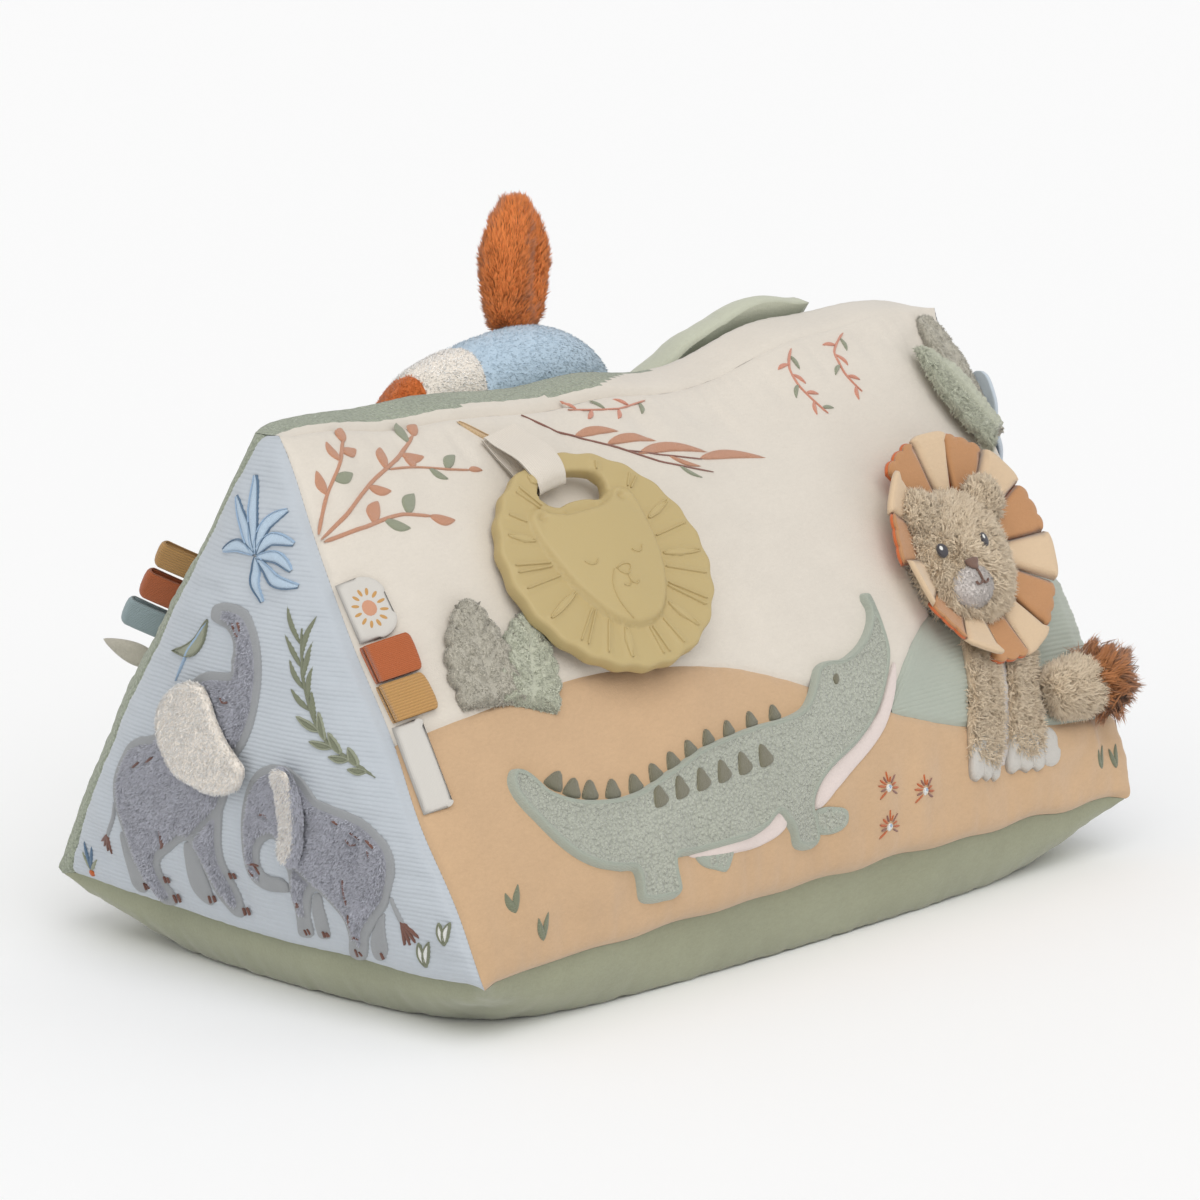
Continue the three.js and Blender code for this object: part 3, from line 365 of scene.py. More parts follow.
def backShape(u, v):
    over = np.maximum(0, v - 1)
    x, y, z = slopeShape(u, np.minimum(1, v))
    across = over * cushion["ridgeWidth"]
    along = np.where(v > 1, 1 - foldShare * (2 - v), v * (1 - foldShare))
    turn = eased(np.clip((along - 0.85) / 0.15, 0, 1)) * (np.pi / 2 - slopeAngle / 2)
    crown = cushion["slopeCrown"] * swell(u) * swell(np.clip(along, 0, 1) ** cushion["slopeSkew"])
    y = y + across * slopeCos + crown * np.sin(turn)
    z = z - across * slopeSin + crown * np.cos(turn)
    return x, y, z


def endShape(u, v):
    rise = cushion["ridgeRise"] * v
    half = halfDepth - slopeRun * v + sideBow(v) * slopeSin
    x = half * (2 * u - 1)
    y = rise + cushion["endBow"] * np.sin(np.pi * u) * (1 - v) + sideBow(v) * slopeCos
    return x, y, sideBow(v) + cushion["endCrown"] * swell(u) * swell(v)


def baseShape(u, v):
    x = -halfLength + cushion["length"] * u
    y = halfDepth * (2 * v - 1)
    full = cushion["baseFullness"]
    edge = np.minimum(1, cushion["baseFlatness"] * swell(u, full) * swell(v, full))
    bow = cushion["longBow"] * np.sin(np.pi * u) * abs(2 * v - 1)
    bow = bow + cushion["endBow"] * np.sin(np.pi * v) * abs(2 * u - 1)
    return x, y, -bow + (cushion["seamHeight"] + bow) * edge


def panelFrame(origin, xAxis, yAxis):
    x, y = np.array(xAxis, float), np.array(yAxis, float)
    return {"origin": np.array(origin, float), "axes": np.array([x, y, np.cross(x, y)])}


seamHeight = cushion["seamHeight"]
panels = {
    "front": panelFrame((0, -halfDepth, seamHeight), (1, 0, 0), (0, slopeCos, slopeSin)),
    "back": panelFrame((0, halfDepth, seamHeight), (-1, 0, 0), (0, -slopeCos, slopeSin)),
    "left": panelFrame((-halfLength, 0, seamHeight), (0, -1, 0), (0, 0, 1)),
    "right": panelFrame((halfLength, 0, seamHeight), (0, 1, 0), (0, 0, 1)),
    "base": panelFrame((0, 0, seamHeight), (1, 0, 0), (0, -1, 0)),
}
for names, shape, size in [
    (("front",), frontShape, (cushion["length"], slopeLength)),
    (("back",), backShape, (cushion["length"], slopeLength)),
    (("left", "right"), endShape, (cushion["depth"], cushion["ridgeRise"])),
    (("base",), baseShape, (cushion["length"], cushion["depth"])),
]:
    for name in names:
        panels[name].update(shape=shape, size=size)


def toWorld(panel, points):
    return panels[panel]["origin"] + np.asarray(points, float) @ panels[panel]["axes"]


def toPanel(panel, points):
    return (np.asarray(points, float) - panels[panel]["origin"]) @ panels[panel]["axes"].T


def shareAt(panel, x, y):
    # The u and v of the point of a panel's cloth that lies at x and y in its frame.
    shape, (wide, high) = panels[panel]["shape"], panels[panel]["size"]
    u = np.full(np.shape(x), 0.5)
    v = np.full(np.shape(x), 0.5)
    for _ in range(60):
        px, py, _ = shape(u, v)
        u = np.clip(u + (x - px) / wide, 0, 1)
        v = np.clip(v + (y - py) / high, 0, 1)
    return u, v


# Meshes.

def makeObject(name, points, faces, materials, uvs=None, slots=None):
    mesh = bpy.data.meshes.new(name)
    mesh.from_pydata((np.asarray(points) * millimetre).tolist(), [], faces)
    for material in materials:
        mesh.materials.append(material)
    if slots is not None:
        mesh.polygons.foreach_set("material_index", slots)
    if uvs is not None:
        layer = mesh.uv_layers.new(name="UVMap")
        corners = np.empty(len(mesh.loops), dtype=np.int32)
        mesh.loops.foreach_get("vertex_index", corners)
        layer.data.foreach_set("uv", np.asarray(uvs, np.float32)[corners].ravel())
    mesh.polygons.foreach_set("use_smooth", [True] * len(mesh.polygons))
    mesh.update()
    made = bpy.data.objects.new(name, mesh)
    bpy.context.scene.collection.objects.link(made)
    return made


def gridFaces(rows, columns, start=0, flip=False):
    index = np.arange(rows * columns).reshape(rows, columns) + start
    quads = np.stack([index[:-1, :-1], index[:-1, 1:], index[1:, 1:], index[1:, :-1]], -1).reshape(-1, 4)
    return (quads[:, ::-1] if flip else quads).tolist()


def smoothNoise(points, size, seed):
    # Soft random values, about -1 to 1, that change over the given size in millimetres.
    turn = np.random.default_rng(seed)
    total = 0
    for _ in range(6):
        way = turn.normal(size=points.shape[1])
        way *= (0.7 + 0.6 * turn.random()) / np.linalg.norm(way)
        total = total + np.sin(2 * np.pi * points @ way / size + turn.random() * 2 * np.pi)
    return total / 2.4


def distanceTo(points, line, closed=False):
    # Distance in the plane from each point to a line of points.
    line = np.asarray(line, float)
    ends = np.roll(line, -1, axis=0) if closed else line[1:]
    starts = line if closed else line[:-1]
    best = np.full(len(points), 1e9)
    for a, b in zip(starts, ends):
        step = b - a
        t = np.clip(((points - a) @ step) / max(1e-9, step @ step), 0, 1)
        best = np.minimum(best, np.hypot(*(points - a - t[:, None] * step).T))
    return best


def lengthsAlong(line):
    return np.concatenate([[0], np.cumsum(np.hypot(*np.diff(line, axis=0).T))])


def leftOf(ahead):
    # Unit ways to the left of the ways ahead.
    return np.stack([-ahead[:, 1], ahead[:, 0]], -1) / np.maximum(1e-9, np.hypot(*ahead.T))[:, None]


def roundAhead(loop):
    return np.roll(loop, -1, axis=0) - np.roll(loop, 1, axis=0)


def turnsLeft(loop):
    # Whether a closed line runs counterclockwise.
    return np.sum(loop[:, 0] * np.roll(loop[:, 1], -1) - np.roll(loop[:, 0], -1) * loop[:, 1]) > 0


def evenTurns(count):
    return np.linspace(0, 2 * np.pi, count + 1)[:-1]


def placedAt(points, x, y, turn):
    points = np.asarray(points, float)
    c, s = math.cos(turn), math.sin(turn)
    return points @ np.array([[c, s], [-s, c]]) + [x, y]


def curveThrough(points, steps=8, closed=False):
    # A smooth line through the points, with centripetal spacing.
    p = np.asarray(points, float)
    count = len(p)
    spans = range(count) if closed else range(count - 1)
    made = []
    for i in spans:
        around = [p[(i + k) % count] if closed else p[min(max(i + k, 0), count - 1)] for k in (-1, 0, 1, 2)]
        if not closed and i == 0:
            around[0] = 2 * around[1] - around[2]
        if not closed and i == count - 2:
            around[3] = 2 * around[2] - around[1]
        knots = [0]
        for a, b in zip(around, around[1:]):
            knots.append(knots[-1] + max(1e-6, np.linalg.norm(b - a)) ** 0.5)
        t = np.linspace(knots[1], knots[2], steps, endpoint=False)[:, None]
        level = around
        for depth in (1, 2, 3):
            level = [
                level[k] * (knots[k + depth] - t) / (knots[k + depth] - knots[k])
                + level[k + 1] * (t - knots[k]) / (knots[k + depth] - knots[k])
                for k in range(len(level) - 1)
            ]
        made.append(level[0])
    made = np.concatenate(made)
    return made if closed else np.concatenate([made, p[-1:]])


# The cover is let settle as cloth under the filling's pressure, which gives it its own soft hollows.

settle = {"voxel": 6, "weld": 1.2, "pressure": 3.5, "frames": 20, "cap": 2.5, "pinned": 7, "floor": 1.5,
          "quality": 5, "mass": 0.15, "stretch": 12, "bend": 0.6, "shrink": -0.035, "near": 5, "soften": 1.5,
          "seamFree": 3, "seamReach": 12}


def coverPoints(panel, columns, rows):
    u, v = np.meshgrid(np.linspace(0, 1, columns), np.linspace(0, 1, rows))
    if panel == "back":
        v = np.where(v < 0.94, v / 0.94, 1 + (v - 0.94) / 0.06)
    return np.stack(panels[panel]["shape"](u, v), -1)


def settledCover():
    points, faces = [], []
    for panel, columns, rows in [
        ("front", 77, 45), ("back", 77, 48), ("left", 45, 45), ("right", 45, 45), ("base", 77, 45),
    ]:
        grid = coverPoints(panel, columns, rows).reshape(-1, 3)
        faces += gridFaces(rows, columns, sum(map(len, points)))
        points.append(toWorld(panel, grid))
    closed = makeObject("settling", np.concatenate(points), faces, [])
    bpy.context.view_layer.objects.active = closed
    closed.select_set(True)
    clean = bmesh.new()
    clean.from_mesh(closed.data)
    bmesh.ops.remove_doubles(clean, verts=clean.verts, dist=settle["weld"] * millimetre)
    clean.to_mesh(closed.data)
    clean.free()
    closed.data.remesh_voxel_size = settle["voxel"] * millimetre
    bpy.ops.object.voxel_remesh()
    before = np.array([v.co for v in closed.data.vertices]) / millimetre
    seams = []
    for panel in ("front", "back", "left", "right"):
        local = toPanel(panel, before)
        wide = halfLength if panel in ("front", "back") else halfDepth
        high = slopeLength if panel in ("front", "back") else cushion["ridgeRise"]
        edge = [(-wide, 0), (wide, 0)]
        sides = [(wide, high), (-wide, high)] if wide == halfLength else [(8, high), (-8, high)]
        flat = distanceTo(local[:, :2], edge + sides, closed=True)
        seams.append(np.hypot(flat, np.maximum(0, abs(local[:, 2]) - 3)))
    away = np.min(seams, axis=0)
    pins = closed.vertex_groups.new(name="pins")
    for i in np.flatnonzero((away < settle["pinned"]) | (before[:, 2] < settle["floor"])):
        pins.add([int(i)], 1, "REPLACE")
    cloth = closed.modifiers.new("Cloth", "CLOTH")
    cloth.settings.quality = settle["quality"]
    cloth.settings.mass = settle["mass"]
    cloth.settings.tension_stiffness = settle["stretch"]
    cloth.settings.compression_stiffness = settle["stretch"]
    cloth.settings.bending_stiffness = settle["bend"]
    cloth.settings.shrink_min = settle["shrink"]
    cloth.settings.use_pressure = True
    cloth.settings.uniform_pressure_force = settle["pressure"]
    cloth.settings.vertex_group_mass = "pins"
    cloth.settings.effector_weights.gravity = 0
    cloth.point_cache.frame_start = 1
    cloth.point_cache.frame_end = settle["frames"]
    scene = bpy.context.scene
    for number in range(1, settle["frames"] + 1):
        scene.frame_set(number)
    done = closed.evaluated_get(bpy.context.evaluated_depsgraph_get())
    after = np.array([v.co for v in done.data.vertices]) / millimetre
    scene.frame_set(1)
    moved = after - before
    size = np.linalg.norm(moved, axis=1)
    print("cover settled:", len(before), "points, moved", round(float(size.mean()), 2), "mm, most",
          round(float(size.max()), 1))
    moved *= (np.minimum(size, settle["cap"]) / np.maximum(size, 1e-6))[:, None]
    bpy.data.objects.remove(closed)
    tree = kdtree.KDTree(len(before))
    for i, p in enumerate(before):
        tree.insert(p, i)
    tree.balance()
    return tree, moved


settled = settledCover()


def settleShift(world, panel):
    # How far a panel's points move out of their plane as the cover settles.
    if settled is None:
        return np.zeros(len(world))
    tree, moved = settled
    normal = panels[panel]["axes"][2]
    result = np.empty(len(world))
    for i, p in enumerate(world):
        near = tree.find_n(p, settle["near"])
        weights = np.array([1 / (d + settle["soften"]) ** 2 for _, _, d in near])
        shift = sum(w * moved[k] for w, (_, k, _) in zip(weights, near)) / weights.sum()
        result[i] = shift @ normal
    return result


def seamsOf(panel, x, y, over=0.0):
    # For each seam round a panel: how far away it is, a place along it, what it joins and a seed.
    wide, high = (size / 2 for size in panels[panel]["size"])
    if panel == "base":
        return [(wide - x, y, "right", 21), (wide + x, y, "left", 22), (high - y, x, "front", 23),
                (high + y, x, "back", 24)]
    v = np.clip(y / (2 * high), 0, 1)
    if panel in ("front", "back"):
        reach = halfLength + sideBow(v)
        first, second = ("right", "left") if panel == "front" else ("left", "right")
        bottom = np.maximum(0, y - cushion["longBow"] * slopeSin * np.cos(np.pi * x / cushion["length"]))
        top = np.maximum(0, slopeLength - y)
        if panel == "back":
            top = top + cushion["ridgeWidth"] * (1 - np.clip(over, 0, 1))
        return [(np.maximum(0, reach - x), y, first, 13), (np.maximum(0, reach + x), y, second, 18),
                (bottom, x, "base", 14), (top, x, "fold" if panel == "front" else "front", 15)]
    reach = halfDepth - slopeRun * v + sideBow(v) * slopeSin
    first, second = ("front", "back") if panel == "left" else ("back", "front")
    return [(np.maximum(0, (reach - x) * slopeSin), y, first, 11),
            (np.maximum(0, (reach + x) * slopeSin), y, second, 16),
            (np.maximum(0, y), x, "base", 12), (np.maximum(0, 2 * high - y), x, "fold", 17)]


class Heights:
    # A panel's cloth height over its plane: its own form and how the cover has settled.
    step = 5

    def __init__(self, panel):
        wide, high = panels[panel]["size"]
        self.left, self.low = -wide / 2 - 10, -30 if panel != "base" else -high / 2 - 10
        columns = int((wide + 20) / self.step) + 2
        rows = int((high + 60) / self.step) + 2
        x, y = np.meshgrid(self.left + self.step * np.arange(columns), self.low + self.step * np.arange(rows))
        u, v = shareAt(panel, x, y)
        if panel == "back":
            v = np.minimum(v, 1)
        points = np.stack(panels[panel]["shape"](u, v), -1).reshape(-1, 3)
        near = np.min([seam[0] for seam in seamsOf(panel, points[:, 0], points[:, 1])], axis=0)
        free = np.clip((near - settle["seamFree"]) / settle["seamReach"], 0, 1)
        self.shift = (settleShift(toWorld(panel, points), panel) * free).reshape(rows, columns)

    def settledBy(self, x, y):
        rows, columns = self.shift.shape
        i = np.clip((x - self.left) / self.step, 0, columns - 1.001)
        j = np.clip((y - self.low) / self.step, 0, rows - 1.001)
        a, b = i.astype(int), j.astype(int)
        s, t = i - a, j - b
        g = self.shift
        low = g[b, a] * (1 - s) + g[b, a + 1] * s
        high = g[b + 1, a] * (1 - s) + g[b + 1, a + 1] * s
        return low * (1 - t) + high * t


heights = {panel: Heights(panel) for panel in panels}


def clothAt(panel, x, y):
    u, v = shareAt(panel, x, y)
    if panel == "back":
        v = np.minimum(v, 1)
    _, _, z = panels[panel]["shape"](u, v)
    return z + heights[panel].settledBy(x, y)


waves = {"ridge": 1.3, "ridgeSize": 78, "seams": 0.8, "seamSize": 52, "faces": 0.7, "faceSize": 64,
         "endSize": 58, "leftEnd": 4, "endSag": 5}
# How far the ridge sags, in millimetres, at places along it.
ridgeSag = curveThrough([(-230, 0), (-160, 2), (-133, 3.5), (-104, 4), (-85, 5.6), (-37, 8.2), (-4, 9),
                         (17, 10.4), (56, 11), (75, 8), (90, 4), (105, 1), (120, 0), (230, 0)], 8)


def waved(world):
    # The stuffed cover isn't perfectly even: its ridge and seams wander a little.
    world = np.array(world, float)
    x, y, z = world.T
    side = np.stack([x, 0.6 * y], -1)
    ridge = eased(np.clip((z - 160) / 50, 0, 1))
    floor = np.clip(z / 20, 0, 1)
    low = np.exp(-(((z - 24) / 14) ** 2)) * floor
    lift = waves["ridge"] * ridge * smoothNoise(side, waves["ridgeSize"], 3)
    lift += waves["seams"] * low * smoothNoise(side, waves["seamSize"], 4)
    push = waves["faces"] * floor * smoothNoise(np.stack([x, z], -1), waves["faceSize"], 5)
    lift -= ridge * np.interp(x, ridgeSag[:, 0], ridgeSag[:, 1])
    middle = np.cos(np.clip(y / cushion["depth"], -0.5, 0.5) * np.pi)
    lift -= waves["endSag"] * low * np.clip((-x - 110) / 70, 0, 1) * middle
    world[:, 2] += lift + waves["leftEnd"] * ridge * np.clip((-x - 40) / 140, 0, 1)
    world[:, 1] += push * np.sign(y) * np.clip(abs(y) / 30, 0, 1)
    push = waves["faces"] * floor * smoothNoise(np.stack([y, z], -1), waves["endSize"], 6)
    world[:, 0] += push * np.clip(abs(x) / 170, 0, 1) ** 4
    return world


def onPanel(panel, x, y, lift=0):
    # World places of points that lie over a panel's cloth, a height above it.
    points = np.stack([x, y, clothAt(panel, x, y) + lift], -1)
    return waved(toWorld(panel, points))


def overPanel(panel, points):
    # World places of points given in a panel's frame.
    return waved(toWorld(panel, points))


# The cover's panels.

cloth = {"cell": 2.2, "backCell": 2.4, "dip": 2.2, "dipWidth": 1.9, "roll": 2.6, "rollWidth": 6,
         "pucker": 0.75, "puckerReach": 11, "puckerFoot": 2.5, "inset": 7.5, "groove": 1.7,
         "grooveWidth": 1.8,
         "pieced": 1.3, "piecedWidth": 1.7, "cornerFree": 8, "foldFade": 35}
ribs = {"endPitch": 1.75, "bushPitch": 1.95, "height": 0.34}


def ridges(y, pitch):
    return ribs["height"] * (abs(np.sin(np.pi * y / pitch)) ** 0.8 - 0.6)


def lineNoise(t, seed):
    turn = np.random.default_rng(seed)
    return sum(np.sin(2 * np.pi * t / size + turn.random() * 7) * (0.6 + turn.random())
               for size in (7, 10, 15, 23)) / 3


def puckers(t, away, seed):
    fade = np.exp(-away / cloth["puckerReach"]) * (1 - np.exp(-away / cloth["puckerFoot"]))
    return cloth["pucker"] * fade * lineNoise(t, seed)


def seamPull(panel, x, y, over=0.0):
    # How the seams round a panel draw its cloth in, and the puckers that run away from them.
    seams = seamsOf(panel, x, y, over)
    normal = panels[panel]["axes"][2]
    total = np.zeros((len(x), 3))
    for k, (away, along, other, seed) in enumerate(seams):
        free = np.ones(len(x))
        for m, seam in enumerate(seams):
            if m != k:
                free = free * np.clip(seam[0] / cloth["cornerFree"], 0, 1)
        rolled = "back" in (panel, other) and {panel, other} & {"left", "right"}
        depth, width = ("roll", "rollWidth") if rolled else ("dip", "dipWidth")
        amount = cloth[depth] * np.exp(-((away / cloth[width]) ** (1.6 if rolled else 1.3))) * free
        beside = np.array([0, 0, 1.0]) if other == "fold" else panels[other]["axes"][2]
        way = (np.array([0, 0, 1.0]) if {panel, other} == {"back", "front"} else normal) + beside
        if (panel, other) in (("front", "fold"), ("back", "front")):
            right = x * (1 if panel == "front" else -1)
            amount = amount * (1 - 0.85 * np.clip(right / cloth["foldFade"], 0, 1))
        total -= amount[:, None] * way / np.linalg.norm(way)
        total += (puckers(along, away, seed) * free)[:, None] * normal
    return total


sandLine, bushLine = (curveThrough([(share * halfLength, y) for share, y in points], 10) for points in (
    [(-1.129, 96), (-0.819, 99), (-0.579, 102), (-0.349, 98), (-0.129, 88), (0.051, 73), (0.271, 54.5),
     (0.491, 42), (0.781, 35), (1.071, 33)],
    [(0.171, 39), (0.311, 73), (0.471, 91), (0.811, 101), (1.071, 91)]))


def heightOf(line, x):
    return np.interp(x, line[:, 0], line[:, 1], left=-50)


bushStart = float(sandLine[np.argmin(np.where(
    abs(sandLine[:, 0] - 56) < 30, abs(sandLine[:, 1] - heightOf(bushLine, sandLine[:, 0])), 1e9)), 0])


def innerSeams(x, y):
    # The pieced seams inside the front panel.
    points = np.stack([x, y], -1)
    away = distanceTo(points, sandLine)
    upper = bushLine[bushLine[:, 0] > bushStart]
    upper = np.concatenate([[(bushStart, heightOf(sandLine, bushStart))], upper])
    away = np.minimum(away, distanceTo(points, upper))
    sunk = -cloth["pieced"] * np.exp(-((away / cloth["piecedWidth"]) ** 1.4))
    return sunk + 0.35 * np.exp(-away / 7) * lineNoise(x, 17)


def seamColumns(start, end, cell):
    # Even columns, with two more close to each seam.
    even = np.linspace(start, end, int((end - start) / cell) + 1)
    extra = [place for place in (-halfLength + 0.7, -halfLength + 1.5, halfLength - 1.5, halfLength - 0.7)
             if start < place < end]
    return np.sort(np.concatenate([even, extra]))


def frontPiece(name, start, low, high, material, rowSize, ribbed=None):
    xs = seamColumns(start, halfLength, cloth["cell"])
    tall = max(high(xs) - low(xs))
    t = seamRows(int(tall / rowSize) + 2, rowSize / tall)[:, None]
    plain = np.repeat(xs[None], len(t), 0)
    y = low(xs)[None] * (1 - t) + high(xs)[None] * t
    x = plain * (1 + sideBow(y / slopeLength) / halfLength)
    shape = x.shape
    x, y, plain = x.ravel(), y.ravel(), plain.ravel()
    fine = innerSeams(plain, y)
    if ribbed:
        fine = fine + ridges(y, ribbed)
    places = onPanel("front", x, y, fine) + seamPull("front", x, y)
    return makeObject(name, places, gridFaces(*shape), [material], np.stack([x, y], -1))


def seamRows(count, step):
    extra = [0.35 * step, 0.7 * step, 1 - 0.7 * step, 1 - 0.35 * step]
    return np.sort(np.concatenate([np.linspace(0, 1, count), extra]))


def bottomOf(xs):
    return cushion["longBow"] * np.sin(np.pi * (xs + halfLength) / cushion["length"]) * slopeSin


velour = {"sheen": 0.35, "bump": 0.35, "reach": 0.0006}
skyCloth = fabric("creamVelour", colours["sky"], "pile", 0.9, 1.05, **velour)
sandCloth = fabric("peachVelour", colours["sand"], "pile", 0.84, 1.08, **velour)
bushCloth = fabric("sageRib", colours["bush"], "pile", 0.9, 1.05, bump=0.25, reach=0.0004)
blueCloth = fabric("blueRibJersey", colours["blueRib"], "pile", 0.93, 1.03, bump=0.25, reach=0.0003)
terryCloth = fabric("sageTerry", colours["terry"], "loops", 0.74, 1.12, bump=0.9, reach=0.0012)
baseCloth = fabric("sageVelour", colours["base"], "pile", 0.8, 1.1, **velour)

skyPiece = frontPiece("cover_sky", -halfLength, lambda xs: np.maximum(heightOf(sandLine, xs), np.where(
    xs > bushStart, heightOf(bushLine, xs), -50)), lambda xs: np.full_like(xs, slopeLength), skyCloth,
    cloth["cell"])
sandPiece = frontPiece("cover_sand", -halfLength, bottomOf, lambda xs: heightOf(sandLine, xs), sandCloth,
                       cloth["cell"])
bushPiece = frontPiece("cover_bush", bushStart, lambda xs: heightOf(sandLine, xs), lambda xs: np.maximum(
    heightOf(bushLine, xs), heightOf(sandLine, xs)), bushCloth, ribs["bushPitch"] / 5.3, ribs["bushPitch"])


def gridPoints(panel, u, v, ribbed=None, groove=None):
    # World places and UVs of a grid over a panel's cloth, in the panel's own u and v.
    x, y, z = (part.ravel() for part in panels[panel]["shape"](u, v))
    over = np.maximum(0, v - 1).ravel()
    z = z + heights[panel].settledBy(x, np.minimum(y, panels[panel]["size"][1]))
    if ribbed:
        z = z + ridges(y, ribbed) * np.clip(y / 3, 0, 1)
    if groove is not None:
        z = z - cloth["groove"] * np.exp(-((abs(groove.ravel()) / cloth["grooveWidth"]) ** 1.4))
    places = overPanel(panel, np.stack([x, y, z], -1)) + seamPull(panel, x, y, over)
    return places, np.stack([x, y], -1)


def endPiece(name, panel, columns, vs, back):
    # The end's rib jersey stops short of its back edge, where the terry comes round.
    t, v = np.meshgrid(np.sort(np.concatenate([np.linspace(0, 1, columns), [0.01, 0.02, 0.98, 0.99]])), vs)
    half = halfDepth - slopeRun * v + sideBow(v) * slopeSin
    inset = cloth["inset"] / (2 * half)
    u = inset + (1 - inset) * t if back < 0 else (1 - inset) * t
    groove = 2 * half * ((u - inset) if back < 0 else (1 - inset - u))
    places, uv = gridPoints(panel, u, v, ribs["endPitch"], groove)
    return makeObject(name, places, gridFaces(*u.shape), [blueCloth], uv)


def backPiece():
    # The terry covers the back, folds over the ridge and comes round onto both ends.
    slopes = np.linspace(0, 1, 104)
    columns = seamColumns(-halfLength, halfLength, cloth["backCell"])
    u, v = np.meshgrid((columns + halfLength) / cushion["length"],
                       np.concatenate([slopes, 1 + np.linspace(0, 1, 10)[1:]]))
    places, uv = gridPoints("back", u, v)
    flatV = v.ravel()
    faces, points, uvs = gridFaces(*u.shape), [places], [uv]
    slope = places.reshape(*u.shape, 3)[:len(slopes)]
    for panel, back in (("left", -1), ("right", 1)):
        t, v = np.meshgrid(np.linspace(0, 1, 9), slopes)
        half = halfDepth - slopeRun * v + sideBow(v) * slopeSin
        inset = cloth["inset"] / (2 * half)
        u = inset * t if back < 0 else 1 - inset * (1 - t)
        groove = 2 * half * ((inset - u) if back < 0 else (u - 1 + inset))
        places, uv = gridPoints(panel, u, v, groove=groove)
        # The strip's outer edge is the slope's own edge.
        rows = places.reshape(*u.shape, 3)
        outer, free = (rows[:, 0], 1 - t) if back < 0 else (rows[:, -1], t)
        gap = min((slope[:, k] - outer for k in (0, -1)), key=lambda apart: np.abs(apart).sum())
        places = (rows + gap[:, None] * free[..., None]).reshape(-1, 3)
        faces += gridFaces(*u.shape, sum(map(len, points)))
        points.append(places)
        uvs.append(uv + [500 * back, 0])
    # On the right half the front's cream velour runs on over the ridge, as far as here.
    middle = np.array([np.mean([flatV[i] for i in face]) if face[-1] < len(flatV) else 0 for face in faces])
    place = np.array([points[0][face[0] % len(flatV)][0] for face in faces])
    edge = np.interp(place, [-170, -60, -8, 22, 60, 150], [1.8, 1.7, 1.75, 1.1, 0.985, 0.99])
    return makeObject("cover_back", np.concatenate(points), faces, [terryCloth, skyCloth],
                      np.concatenate(uvs), (middle > edge).astype(int))


def floorPiece():
    shares = np.sort(np.concatenate([np.linspace(0, 1, 150), [0.002, 0.004, 0.996, 0.998]]))
    u, v = np.meshgrid(shares, shares)
    places, uv = gridPoints("base", u, v)
    return makeObject("cover_base", places, gridFaces(*u.shape), [baseCloth], uv)


endRows = np.linspace(0, 1, int(cushion["ridgeRise"] / ribs["endPitch"] * 6))
for piece, nodes, slot in [
    (skyPiece, ["sky_panel"], "cream_velour"), (sandPiece, ["sand_panel"], "peach_velour"),
    (bushPiece, ["bush_panel"], "sage_rib"),
    (endPiece("cover_left_end", "left", 70, endRows, -1), ["left_end_panel"], "blue_rib_jersey"),
    (endPiece("cover_right_end", "right", 70, endRows, 1), ["right_end_panel"], "blue_rib_jersey"),
    (backPiece(), ["back_panel"], "sage_terry"), (floorPiece(), ["base_panel", "filling"], "sage_velour"),
]:
    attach(piece, "cushion")
    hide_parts(*nodes)
print("cover made")


# Pieces cut to an outline and laid over a panel, embroidery and fur.

class Work:
    # Points, faces, UVs and material numbers that are gathered for one piece.
    def __init__(self):
        self.points, self.faces, self.uvs, self.slots = [], [], [], []
        self.count = 0

    def add(self, points, faces, uvs, slot):
        self.points.append(np.asarray(points))
        self.uvs.append(np.asarray(uvs))
        self.faces += [[i + self.count for i in face] for face in faces]
        self.slots += [slot] * len(faces) if isinstance(slot, int) else list(slot)
        self.count += len(points)

    def addForm(self, rings):
        # A closed form through rings; its points and faces are given back for its pile.
        points, faces = skinRings(rings)
        self.add(points, faces, np.zeros((len(points), 2)), 0)
        return points, faces

    def addSkin(self, quads, slot):
        self.faces += quads
        self.slots += [slot] * len(quads)

    def finish(self, name, body, materials, nodes=(), slot=None):
        made = makeObject(name, np.concatenate(self.points), self.faces, materials,
                          np.concatenate(self.uvs), self.slots)
        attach(made, body)
        if nodes:
            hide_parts(*nodes)


def inside(points, outline):
    x, y = points.T
    ax, ay = outline.T
    bx, by = np.roll(ax, -1), np.roll(ay, -1)
    hit = np.zeros(len(points), bool)
    for x0, y0, x1, y1 in zip(ax, ay, bx, by):
        crosses = (y0 > y) != (y1 > y)
        hit ^= crosses & (x < (x1 - x0) * (y - y0) / ((y1 - y0) or 1e-9) + x0)
    return hit


